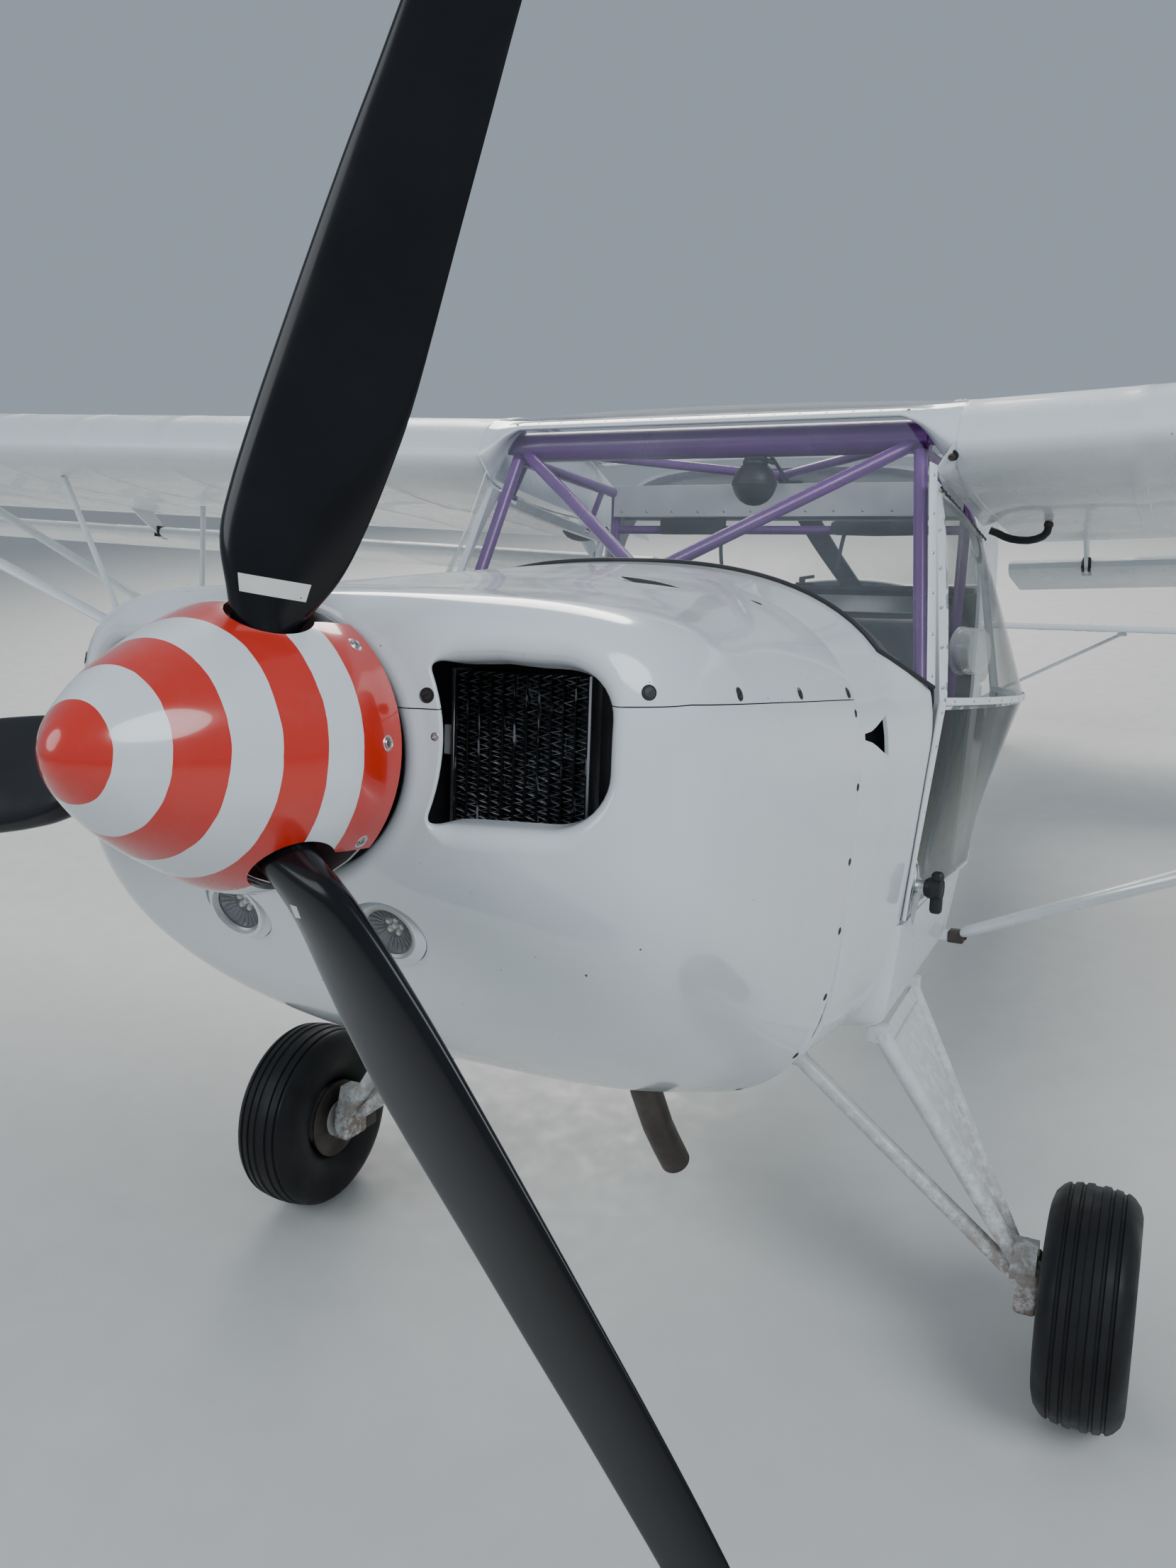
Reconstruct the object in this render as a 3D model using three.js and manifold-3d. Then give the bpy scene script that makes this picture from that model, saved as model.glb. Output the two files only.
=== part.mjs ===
// A two-seat, high-wing, strut-braced light aircraft with a tailwheel, parked on its three wheels.
//
// Everything is built in the aircraft's own axes, in millimetres: +X towards its left wing tip, +Y aft,
// +Z up, with the origin on the centre line behind the engine, 35 mm below the propeller shaft.
// At the end the whole aircraft is pitched nose-up onto its wheels and stood on the ground plane.
import * as THREE from 'three';
import { mergeVertices } from 'three/addons/utils/BufferGeometryUtils.js';
import Module from 'manifold-3d';

const wasm = await Module();
wasm.setup();
const rad = THREE.MathUtils.degToRad;

// Driving dimensions
const gap = 0.3;                    // clearance between pieces that touch
const deckAngle = rad(11.5);        // nose-up attitude on the tailwheel
const dihedral = Math.tan(rad(2.5));
const semiSpan = 4880;
const wingRootX = 480;
const skin = 8;                     // wall of the cowl and body panels
const glass = 4;                    // wall of the clear panels

const shaft = { x: -2.5, y: -905, z: 43.5, pitch: rad(3.1), yaw: rad(-0.4), radius: 20 };
const spinnerRadius = 157;
const spinnerLength = 307;
const propellerRadius = 930;
const bladeAngles = [69, -51, -171];    // degrees from the left wing, seen from ahead
const bladePlane = -87;                 // blade axis ahead of the spinner's rim

const firewallY = -190;
const postY = 125;                  // front door post at the sill
const cabinRearY = 865;
const tailPostY = 3925;

const mainTyre = { radius: 200, halfWidth: 74, bead: 78, segments: 36 };
const mainHub = { x: 818, y: 205, z: -945 };
const tailTyre = { radius: 76, halfWidth: 26, bead: 30, segments: 20 };
const tailHubY = 4190;
const axleRadius = 19;
const tailAxleRadius = 6;

const spar = { frontY: 420, rearY: 930 };
const strutFoot = { x: 440, y: 905, z: -507 };
const strutTopX = 2780;
const juryX = 1800;

const tailplane = { z: 205, thickness: 27, leadingRootY: 3330, hingeY: 3800, tipX: 1150 };
const rudderHingeY = 3944;
const flaperon = { pivotY: 1226, pivotZ: 336, innerX: 466, outerX: 4700, chord: 262, droop: rad(10) };

// Materials
const paint = (color, roughness, metalness = 0) => new THREE.MeshStandardMaterial({ color, roughness, metalness });
const look = {
  white: paint(0xdfe6ea, 0.25),
  red: paint(0xc22318, 0.25),
  black: paint(0x101113, 0.3),
  rubber: paint(0x17181a, 0.8),
  alloy: paint(0xb4b7ba, 0.4, 0.9),
  steel: paint(0x6b6560, 0.5, 0.8),
  purple: paint(0x5a2f63, 0.4),
  cloth: paint(0x2b2d31, 0.9),
  cream: paint(0xe4ddcb, 0.6),
  clear: new THREE.MeshStandardMaterial({ color: 0xcfd6d6, roughness: 0.05, transparent: true, opacity: 0.3 }),
};

// Geometry helpers

/** Triangles turned so that the faces of a closed mesh point outwards. */
function facingOut(pointAt, triangles) {
  let volume = 0;
  for (const [a, b, c] of triangles) {
    const [p, q, r] = [pointAt(a), pointAt(b), pointAt(c)];
    volume += p[0] * (q[1] * r[2] - q[2] * r[1])
      + p[1] * (q[2] * r[0] - q[0] * r[2])
      + p[2] * (q[0] * r[1] - q[1] * r[0]);
  }
  return volume > 0 ? triangles : triangles.map(([a, b, c]) => [a, c, b]);
}

/** A closed triangle mesh from points and triangles. */
function closed(points, triangles) {
  const outward = facingOut((i) => points[i], triangles);
  const geometry = new THREE.BufferGeometry();
  geometry.setAttribute('position', new THREE.Float32BufferAttribute(points.flat(), 3));
  geometry.setIndex(outward.flat());
  return geometry;
}

/** A body through rings of equally many points, closed by flat caps; flatAxis is the axis that the caps face. */
function loft(rings, flatAxis) {
  const count = rings[0].length;
  const points = rings.flat();
  const triangles = [];
  for (let i = 0; i + 1 < rings.length; i += 1) {
    for (let j = 0; j < count; j += 1) {
      const a = i * count + j;
      const b = i * count + (j + 1) % count;
      triangles.push([a, b, b + count], [a, b + count, a + count]);
    }
  }
  const [u, v] = [0, 1, 2].filter((axis) => axis !== flatAxis);
  const cap = (ring) => THREE.ShapeUtils.triangulateShape(ring.map((p) => new THREE.Vector2(p[u], p[v])), []);
  const turn = (ring) => Math.sign(THREE.ShapeUtils.area(ring.map((p) => new THREE.Vector2(p[u], p[v]))));
  const last = (rings.length - 1) * count;
  const sideTurn = turn(rings[0]);
  const faceSign = (triangle, ring) => turn(triangle.map((k) => ring[k])) * sideTurn;
  for (const t of cap(rings[0])) {
    triangles.push(faceSign(t, rings[0]) > 0 ? [t[0], t[2], t[1]] : t);
  }
  for (const t of cap(rings[rings.length - 1])) {
    const s = faceSign(t, rings[rings.length - 1]) > 0 ? t : [t[0], t[2], t[1]];
    triangles.push(s.map((k) => k + last));
  }
  return closed(points, triangles);
}

/** A curved sheet: a grid of outer points given a wall on the side that faces the inside point. */
function sheet(grid, wall, inside) {
  const rows = grid.length;
  const columns = grid[0].length;
  const at = (i, j) => new THREE.Vector3(...grid[Math.max(0, Math.min(rows - 1, i))][Math.max(0, Math.min(columns - 1, j))]);
  const centre = new THREE.Vector3(...inside);
  const outer = [];
  const inner = [];
  for (let i = 0; i < rows; i += 1) {
    for (let j = 0; j < columns; j += 1) {
      const along = at(i + 1, j).sub(at(i - 1, j));
      const across = at(i, j + 1).sub(at(i, j - 1));
      const normal = along.cross(across).normalize();
      if (normal.dot(centre.clone().sub(at(i, j))) < 0) normal.negate();
      outer.push(at(i, j).toArray());
      inner.push(at(i, j).addScaledVector(normal, wall).toArray());
    }
  }
  const size = rows * columns;
  const id = (i, j) => i * columns + j;
  const triangles = [];
  const quad = (a, b, c, d) => triangles.push([a, b, c], [a, c, d]);
  for (let i = 0; i + 1 < rows; i += 1) {
    for (let j = 0; j + 1 < columns; j += 1) {
      quad(id(i, j), id(i + 1, j), id(i + 1, j + 1), id(i, j + 1));
      quad(size + id(i, j), size + id(i, j + 1), size + id(i + 1, j + 1), size + id(i + 1, j));
    }
  }
  const border = [];
  for (let j = 0; j + 1 < columns; j += 1) border.push([id(0, j), id(0, j + 1)]);
  for (let i = 0; i + 1 < rows; i += 1) border.push([id(i, columns - 1), id(i + 1, columns - 1)]);
  for (let j = columns - 1; j > 0; j -= 1) border.push([id(rows - 1, j), id(rows - 1, j - 1)]);
  for (let i = rows - 1; i > 0; i -= 1) border.push([id(i, 0), id(i - 1, 0)]);
  for (const [a, b] of border) quad(a, b, size + b, size + a);
  return closed([...outer, ...inner], triangles);
}

/** A round or oval bar between two points; the second width lies along the aircraft's length. */
function bar(from, to, width, widthAft = width, sides = 10) {
  const start = new THREE.Vector3(...from);
  const end = new THREE.Vector3(...to);
  const direction = end.clone().sub(start);
  const length = direction.length();
  direction.normalize();
  const reference = Math.abs(direction.y) > 0.9 ? new THREE.Vector3(1, 0, 0) : new THREE.Vector3(0, 1, 0);
  const aft = reference.addScaledVector(direction, -reference.dot(direction)).normalize();
  const third = new THREE.Vector3().crossVectors(aft, direction);
  const geometry = new THREE.CylinderGeometry(0.5, 0.5, 1, sides);
  const place = new THREE.Matrix4().makeBasis(
    aft.multiplyScalar(widthAft), direction.multiplyScalar(length), third.multiplyScalar(width));
  place.setPosition(start.add(end).multiplyScalar(0.5));
  return geometry.applyMatrix4(place);
}

function box(x0, x1, y0, y1, z0, z1) {
  const geometry = new THREE.BoxGeometry(x1 - x0, y1 - y0, z1 - z0);
  return geometry.translate((x0 + x1) / 2, (y0 + y1) / 2, (z0 + z1) / 2);
}

const outline = (points) => new THREE.Shape(points.map(([a, b]) => new THREE.Vector2(a, b)));

/** Outlines pushed along one axis: (y, z) points along X, (x, z) points along Y, (x, y) points along Z. */
function prismX(points, x0, x1) {
  const geometry = new THREE.ExtrudeGeometry(outline(points), { depth: x1 - x0, bevelEnabled: false });
  const axes = new THREE.Matrix4().makeBasis(
    new THREE.Vector3(0, 1, 0), new THREE.Vector3(0, 0, 1), new THREE.Vector3(1, 0, 0));
  return geometry.applyMatrix4(axes).translate(x0, 0, 0);
}

function prismY(points, y0, y1) {
  const geometry = new THREE.ExtrudeGeometry(outline(points), { depth: y1 - y0, bevelEnabled: false });
  return geometry.rotateX(Math.PI / 2).translate(0, y1, 0);
}

function prismZ(points, z0, z1) {
  const geometry = new THREE.ExtrudeGeometry(outline(points), { depth: z1 - z0, bevelEnabled: false });
  return geometry.translate(0, 0, z0);
}

/** A profile of (radius, height) points turned about the Y axis. */
const turned = (profile, segments) => new THREE.LatheGeometry(profile.map(([r, h]) => new THREE.Vector2(r, h)), segments);
const alongX = (geometry) => geometry.rotateZ(-Math.PI / 2);

/** Geometry to solid and back, for cuts and joins. */
function solid(geometry) {
  const bare = geometry.clone();
  bare.deleteAttribute('normal');
  bare.deleteAttribute('uv');
  const merged = mergeVertices(bare, 1e-3);
  const index = merged.getIndex().array;
  const kept = [];
  for (let i = 0; i < index.length; i += 3) {
    const [a, b, c] = [index[i], index[i + 1], index[i + 2]];
    if (a !== b && b !== c && c !== a) kept.push([a, b, c]);
  }
  const positions = new Float32Array(merged.getAttribute('position').array);
  const pointAt = (i) => positions.subarray(3 * i, 3 * i + 3);
  return new wasm.Manifold(new wasm.Mesh({
    numProp: 3,
    vertProperties: positions,
    triVerts: new Uint32Array(facingOut(pointAt, kept).flat()),
  }));
}

const union = (...geometries) => geometries.map(solid).reduce((sum, next) => sum.add(next));

function fromSolid(body) {
  const mesh = body.getMesh();
  const geometry = new THREE.BufferGeometry();
  geometry.setAttribute('position', new THREE.Float32BufferAttribute(mesh.vertProperties, 3));
  geometry.setIndex(Array.from(mesh.triVerts));
  return geometry;
}

const aircraft = new THREE.Group();

/** Adds one named piece; shape is a geometry or a solid. */
function add(name, shape, material, parent = aircraft) {
  const geometry = shape.isBufferGeometry ? fromSolid(solid(shape)) : fromSolid(shape);
  const mesh = new THREE.Mesh(geometry, material);
  mesh.name = name;
  parent.add(mesh);
  return mesh;
}

const mirror = (points) => points.map(([x, ...rest]) => [-x, ...rest]);

/** A closed body section at one station: a rounded outline, fuller than an ellipse where round is above 2. */
function bodyRing(station, wall = 0, count = 32) {
  const { y, halfWidth, top, mid, bottom, roundTop, roundBottom, taper } = station;
  const ring = [];
  for (let i = 0; i < count; i += 1) {
    const angle = 2 * Math.PI * (i + 0.5) / count;
    const [c, s] = [Math.cos(angle), Math.sin(angle)];
    const power = 2 / (s > 0 ? roundTop : roundBottom);
    const height = s > 0 ? top - mid - wall : mid - bottom - wall;
    const rise = Math.sign(s) * Math.abs(s) ** power;
    const width = (halfWidth - wall) * (1 - taper * Math.max(0, -rise));
    ring.push([width * Math.sign(c) * Math.abs(c) ** power, y, mid + height * rise]);
  }
  return ring;
}

const named = (columns, rows) => rows.map((row) => Object.fromEntries(columns.map((key, i) => [key, row[i]])));
const bodyColumns = ['y', 'halfWidth', 'top', 'mid', 'bottom', 'roundTop', 'roundBottom', 'taper'];

// Engine cowl: blunt cheeks round the intakes, split along a nearly level line
const cowlStations = named(bodyColumns, [
  [-890, 172, 205, 38, -128, 2.0, 2.0, 0],
  [-877, 245, 209, 30, -142, 2.6, 2.4, 0],
  [-853, 330, 212, 20, -172, 3.4, 2.6, 0],
  [-815, 395, 214, 5, -226, 4.2, 2.8, 0],
  [-765, 424, 217, 0, -283, 4.2, 3.0, 0],
  [-680, 437, 222, -10, -345, 4.0, 3.2, 0.02],
  [-560, 446, 232, -15, -410, 3.4, 3.4, 0.03],
  [-400, 454, 248, -20, -485, 3.0, 3.8, 0.04],
  [firewallY, 463, 268, -30, -555, 2.6, 4.5, 0.05],
]);
const intake = { inner: 175, outer: 359, bottom: -25, top: 154, corner: 62 };
const cowlSplit = [[-1000, 90], [-885, 92], [-770, 105], [0, 80]];    // as (y, z)

/** The intake's outline seen from ahead, with round outer corners. */
function intakeOutline(grow = 0) {
  const { inner, outer, bottom, top, corner } = intake;
  const points = [[inner - grow, bottom - grow]];
  for (let i = 0; i <= 4; i += 1) {
    const angle = -Math.PI / 2 + (Math.PI / 2) * i / 4;
    points.push([outer - corner + (corner + grow) * Math.cos(angle), bottom + corner + (corner + grow) * Math.sin(angle)]);
  }
  for (let i = 0; i <= 4; i += 1) {
    const angle = (Math.PI / 2) * i / 4;
    points.push([outer - corner + (corner + grow) * Math.cos(angle), top - corner + (corner + grow) * Math.sin(angle)]);
  }
  points.push([inner - grow, top + grow]);
  return points;
}

function cowlShell() {
  const outer = loft(cowlStations.map((s) => bodyRing(s)), 1);
  const inner = loft(cowlStations.map((s, i) => {
    const behind = i === cowlStations.length - 1 ? s.y + 1 : s.y + skin;
    return bodyRing({ ...s, y: behind }, skin);
  }), 1);
  let shell = solid(outer).subtract(solid(inner));
  const nose = new THREE.CylinderGeometry(125, 125, 120, 20).translate(0, -880, 33);
  shell = shell.subtract(solid(nose));
  for (const side of [1, -1]) {
    const points = intakeOutline().map(([x, z]) => [side * x, z]);
    shell = shell.subtract(solid(prismY(points, -900, -640)));
  }
  return shell;
}

function addCowl() {
  const shell = cowlShell();
  const above = (rise, z) => prismX([...cowlSplit.map(([y, lineZ]) => [y, lineZ + rise]), [0, z], [-1000, z]], -600, 600);
  add('cowl_upper', shell.intersect(solid(above(gap / 2, 600))), look.white);
  let lower = shell.intersect(solid(above(-gap / 2, -700)));
  for (const side of [1, -1]) {
    const lampHole = new THREE.CylinderGeometry(lamp.flange + gap, lamp.flange + gap, 160, 16);
    lower = lower.subtract(solid(lampPlaced(lampHole, side)));
  }
  lower = lower.subtract(solid(box(120, 205, -285, firewallY + 10, -700, -300)));
  add('cowl_lower', lower, look.white);
}

// Landing lights under the spinner
const lamp = { x: 106, y: -852, z: -160, radius: 33, flange: 46, tilt: rad(22) };
const lampPlaced = (geometry, side) => geometry.rotateX(lamp.tilt).translate(side * lamp.x, lamp.y, lamp.z);

function addLamps() {
  for (const [side, name] of [[1, 'left'], [-1, 'right']]) {
    const { radius, flange } = lamp;
    const body = turned([[0, -2], [radius - 4, -2], [radius, -12], [flange, -8], [flange, 24], [radius, 28], [0, 28]], 16);
    add(`landing_light_${name}`, lampPlaced(body, side), look.alloy);
  }
}

/** The propeller's own axes: its Y runs aft along the shaft from the spinner's rim. */
function shaftPlace() {
  const turn = new THREE.Euler(-shaft.pitch, 0, shaft.yaw);
  return new THREE.Matrix4().makeRotationFromEuler(turn).setPosition(shaft.x, shaft.y, shaft.z);
}

function addEngine() {
  const block = box(-165, 165, -655, -270, -190, 125);
  const gearbox = new THREE.CylinderGeometry(62, 70, 235, 12).translate(0, -772, 36);
  const arms = [];
  for (const side of [1, -1]) {
    for (const [z, wallZ] of [[80, 160], [-150, -250]]) {
      arms.push(bar([side * 150, -300, z], [side * 260, firewallY - gap - 8, wallZ], 24));
      arms.push(box(side * 260 - 22, side * 260 + 22, firewallY - gap - 8, firewallY - gap, wallZ - 22, wallZ + 22));
    }
  }
  const between = solid(box(-500, 500, -883, firewallY - gap, -600, 600));
  const stub = new THREE.CylinderGeometry(shaft.radius, shaft.radius, 60, 16).translate(0, 20, 0);
  const body = union(block, gearbox, ...arms).intersect(between);
  add('engine', body.add(solid(stub.applyMatrix4(shaftPlace()))), look.steel);
}

function addRadiators() {
  for (const [side, name] of [[1, 'left'], [-1, 'right']]) {
    const x0 = Math.min(side * 108, side * 280);
    const core = box(x0, x0 + 172, -735, -697, -58, 126);
    const lug = box(Math.min(side * 112, side * 150), Math.max(side * 112, side * 150), -698, -655 - gap, 0, 60);
    add(`radiator_${name}`, union(core, lug), look.black);
  }
}

function addExhaust() {
  const pipe = bar([160, -246, -500], [178, -120, -702], 50, 50, 10);
  const bore = bar([173, -152, -650], [178.6, -114, -711], 43, 43, 10);
  const elbow = bar([148, -300, -188], [161, -244, -515], 50, 50, 10);
  const clear = solid(box(-175, 175, -660, -268, -191, 130));
  add('exhaust_pipe', union(pipe, elbow).subtract(solid(bore)).subtract(clear), look.steel);
}

// Body panels from the firewall to the door post, with the arch that carries the windscreen
const bootStations = named(bodyColumns, [
  [firewallY + gap, 463, 268, -30, -500, 2.6, 7, 0.05],
  [-95, 472, 277, -25, -500, 2.5, 8, 0.06],
  [0, 482, 285, -20, -500, 2.5, 8, 0.07],
  [postY, 504, 300, 10, -500, 2.5, 9, 0.1],
]);

function addBootCowl() {
  const outer = loft(bootStations.map((s) => bodyRing(s)), 1);
  const inner = loft(bootStations.map((s, i) => {
    const y = i === 0 ? s.y + 12 : s.y + (i === 3 ? 1 : 0);
    return bodyRing({ ...s, y }, skin);
  }), 1);
  const aboveGlassLine = prismX([[0, 150.5], [postY + 5, 85.5], [postY + 5, 700], [0, 700]], -700, 700);
  const shell = solid(outer).subtract(solid(inner)).subtract(solid(aboveGlassLine));
  add('boot_cowl', shell, look.white);
}

// Windscreen: one sheet bent round the arch, from the body to the wing's leading edge
const arch = { y: 0, halfWidth: 482, top: 285, mid: -20, round: 2.5 };
const screenTop = { x: 386, y: 295, z: 556 };
const postTop = { x: 449, y: 283, z: 470 };
const screenFoot = { x: 500, y: postY - 2, z: 92 };

const mix = (a, b, t) => a.map((value, i) => value + (b[i] - value) * t);

function archPoint(t) {
  const startAngle = Math.asin(((152 - arch.mid) / (arch.top - arch.mid)) ** (arch.round / 2));
  const angle = Math.PI / 2 + (startAngle - Math.PI / 2) * t;
  const power = 2 / arch.round;
  return [arch.halfWidth * Math.cos(angle) ** power, arch.y + gap, arch.mid + (arch.top - arch.mid) * Math.sin(angle) ** power];
}

function windscreenGrid() {
  const halfTop = [];
  const halfBase = [];
  const frontSteps = 7;
  const sideSteps = 3;
  for (let i = 0; i <= frontSteps; i += 1) {
    const t = i / frontSteps;
    halfBase.push(archPoint(t));
    halfTop.push([screenTop.x * t, screenTop.y, screenTop.z]);
  }
  const archEnd = archPoint(1);
  for (let i = 1; i <= sideSteps; i += 1) {
    const t = i / sideSteps;
    halfBase.push(mix(archEnd, [screenFoot.x, screenFoot.y, screenFoot.z], t));
    halfTop.push(mix([screenTop.x, screenTop.y, screenTop.z], [postTop.x, postTop.y, postTop.z], t));
  }
  const base = [...mirror(halfBase.slice(1)).reverse(), ...halfBase];
  const top = [...mirror(halfTop.slice(1)).reverse(), ...halfTop];
  const rows = 3;
  const grid = [];
  for (let i = 0; i <= rows; i += 1) grid.push(base.map((point, j) => mix(point, top[j], i / rows)));
  return grid;
}

function addWindscreen() {
  const screen = solid(sheet(windscreenGrid(), glass, [0, 700, -100]));
  add('windscreen', screen.subtract(leadingEdgeSolid(gap)), look.clear);
}

// Wing section at the root, as (y, z) points from the nose over the top to the trailing edge and back
const wingSection = [
  [300, 512], [306, 535], [322, 560], [352, 582], [420, 601], [520, 608], [650, 600], [800, 571], [950, 522],
  [1090, 464], [1212, 404], [1212, 397], [1090, 407], [950, 415], [800, 420], [650, 424], [520, 432],
  [420, 445], [352, 462], [318, 482], [304, 497],
];

/** Leading edge strip over the windscreen, swelling at each end into the wing root's nose. */
function leadingEdgeSolid(grow = 0) {
  const root = [[300, 512], [306, 535], [322, 560], [352, 582], [380, 590], [380, 560], [362, 520], [345, 466],
    [318, 482], [304, 497]];
  const strip = [[291, 559], [297, 566], [312, 573], [345, 581], [352, 582], [352, 570], [336, 566], [322, 563],
    [306, 559], [298, 556]];
  const centreOf = (ring) => ring.reduce((sum, p) => [sum[0] + p[0] / ring.length, sum[1] + p[1] / ring.length], [0, 0]);
  const place = (ring, x) => {
    const [cy, cz] = centreOf(ring);
    return ring.map(([y, z]) => {
      const reach = Math.hypot(y - cy, z - cz);
      const scale = 1 + 1.6 * grow / reach;
      return [x, cy + (y - cy) * scale, cz + (z - cz) * scale];
    });
  };
  const between = (t) => root.map((p, i) => mix(strip[i], p, t));
  const end = wingRootX - gap + grow;
  const rings = [
    [-end, 1], [-452, 0.72], [-420, 0.3], [-392, 0.06], [-380, 0], [380, 0], [392, 0.06], [420, 0.3], [452, 0.72], [end, 1],
  ].map(([x, t]) => place(between(t), x));
  return solid(loft(rings, 0));
}

function addRoof() {
  add('roof_leading_edge', leadingEdgeSolid(), look.white);
  const line = [[353, 583], [420, 600], [520, 607], [650, 600], [760, 578], [cabinRearY - gap, 551]];
  const columns = [-478, -320, -160, 0, 160, 320, 478];
  const grid = line.map(([y, z]) => columns.map((x) => [x, y, z + 10 * (1 - (x / 478) ** 2)]));
  add('roof_glass', solid(sheet(grid, glass, [0, 600, -2000])).subtract(leadingEdgeSolid(gap)), look.clear);
}

// Wings, lofted with the same section to a short rounded tip
function wingRings(side) {
  const stations = named(['x', 'chord', 'thickness'], [
    [wingRootX, 1, 1], [4560, 1, 1], [4700, 0.985, 0.95], [4800, 0.95, 0.78], [4855, 0.89, 0.5], [semiSpan, 0.82, 0.2],
  ]);
  return stations.map(({ x, chord, thickness }) => {
    const rise = (x - wingRootX) * dihedral;
    return wingSection.map(([y, z]) => [
      side * x, 700 + (y - 700) * chord, 440 + (z - 440) * thickness + rise,
    ]);
  });
}

const hangerXs = [640, 2250, 3860];
const plateHalf = 4;
const pinRadius = 6;
const hingeAt = (x) => flaperon.pivotZ + (x - wingRootX) * dihedral;

/** A round eye on a plate that stands across the X axis, at (y, z). */
function eyeX(x, half, y, z, radius) {
  return alongX(new THREE.CylinderGeometry(radius, radius, 2 * half, 12)).translate(x, y, z);
}

function addWings() {
  for (const [side, name] of [[1, 'left'], [-1, 'right']]) {
    let wing = solid(loft(wingRings(side), 0));
    for (const x of hangerXs) {
      const rise = (x - wingRootX) * dihedral;
      const z = hingeAt(x);
      const arm = [[1050, 430 + rise], [1180, 425 + rise], [1186, 398 + rise], [1233, z + 10], [1229, z - 13],
        [1214, z - 10], [1120, 385 + rise]];
      const plate = prismX(arm, side * x - plateHalf, side * x + plateHalf);
      wing = wing.add(solid(plate)).add(solid(eyeX(side * x, plateHalf, flaperon.pivotY, z, 14)));
      wing = wing.subtract(solid(eyeX(side * x, 3 * plateHalf, flaperon.pivotY, z, pinRadius + gap)));
    }
    add(`wing_${name}`, wing, look.white);
  }
}

function addFlaperons() {
  const section = [[-26, 2], [-22, 12], [-6, 19], [40, 20], [120, 14], [flaperon.chord - 26, 1.5],
    [flaperon.chord - 26, -1.5], [120, -9], [40, -14], [-6, -14], [-22, -9]];
  for (const [side, name] of [[1, 'left'], [-1, 'right']]) {
    const [c, s] = [Math.cos(flaperon.droop), Math.sin(flaperon.droop)];
    const rings = [flaperon.innerX, flaperon.outerX].map((x) => section.map(([a, b]) => [
      side * x, flaperon.pivotY + a * c + b * s, hingeAt(x) - a * s + b * c,
    ]));
    let body = solid(loft(rings, 0));
    for (const x of hangerXs) {
      const z = hingeAt(x);
      const slot = [[-60, -40], [-60, 60], [22, 60], [22, -40]].map(([a, b]) => [flaperon.pivotY + a, z + b]);
      body = body.subtract(solid(prismX(slot, side * x - plateHalf - 6, side * x + plateHalf + 6)));
      body = body.add(solid(eyeX(side * x, plateHalf + 8, flaperon.pivotY, z, pinRadius)));
    }
    add(`flaperon_${name}`, body, look.white);
  }
}

// Lift struts: two oval tubes to one foot, with jury struts, cut off against the wing
function addLiftStruts() {
  for (const [side, name] of [[1, 'left'], [-1, 'right']]) {
    const at = (x, y, z) => [side * x, y, z];
    const under = (x, y) => (y < 600 ? 446 : 415) + (x - wingRootX) * dihedral;
    const foot = at(strutFoot.x + 12, strutFoot.y, strutFoot.z + 4);
    const frontTop = at(strutTopX, spar.frontY, under(strutTopX, spar.frontY) + 12);
    const rearTop = at(strutTopX, spar.rearY, under(strutTopX, spar.rearY) + 12);
    const along = (top) => mix(foot, top, (juryX - Math.abs(foot[0])) / (strutTopX - Math.abs(foot[0])));
    const front = along(frontTop);
    const rear = along(rearTop);
    const frontWing = at(juryX, spar.frontY, under(juryX, spar.frontY) + 12);
    const rearWing = at(juryX, spar.rearY, under(juryX, spar.rearY) + 12);
    const pieces = [
      bar(foot, frontTop, 24, 56, 12),
      bar(foot, rearTop, 22, 48, 12),
      bar(front, frontWing, 16, 16, 8),
      bar(rear, rearWing, 16, 16, 8),
      bar(front, rear, 14, 14, 8),
      box(side > 0 ? strutFoot.x - 8 : -strutFoot.x - 30, side > 0 ? strutFoot.x + 30 : -strutFoot.x + 8,
        strutFoot.y - 24, strutFoot.y + 24, strutFoot.z - 16, strutFoot.z + 16),
    ];
    const wing = loft(wingRings(side), 0).translate(0, 0, -gap);
    const body = solid(fuselageLoft(0).scale(1 + 2 * gap / 440, 1, 1).translate(0, 0, -gap));
    add(`lift_struts_${name}`, union(...pieces).subtract(solid(wing)).subtract(body), look.white);
  }
}

// Fabric-covered rear body: hollow behind the seats, with the rounded deck over the two upper rails
const bodyStations = named(bodyColumns, [
  [cabinRearY, 456, 549, 65, -513, 5, 12, 0.055],
  [1000, 444, 492, 68, -515, 3.6, 12, 0.05],
  [1250, 409, 404, 77, -477, 2.6, 12, 0.05],
  [1600, 360, 302, 90, -424, 2.3, 12, 0.045],
  [1900, 318, 276, 100, -377, 2.2, 12, 0.04],
  [2700, 206, 243, 128, -255, 2.1, 12, 0.03],
  [3300, 122, 214, 148, -164, 2.1, 12, 0.02],
  [3322, 119, 189, 149, -161, 3.5, 12, 0.02],
  [tailPostY, 34, 189, 172, -70, 3.5, 12, 0],
]);

const rearRing = (station, wall) => bodyRing(station, wall, 26);
const fuselageLoft = (wall) => loft(bodyStations.map((s) => rearRing(s, wall)), 1);

/** The space of the clear window that wraps over the deck behind the wings; inset moves its edges inwards. */
const rearWindowRoom = (inset) => prismX([[928 + inset, 286 + inset], [1548 - inset, 300 + inset],
  [1490 - inset, 700], [928 + inset, 700]], -600, 600);

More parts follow.
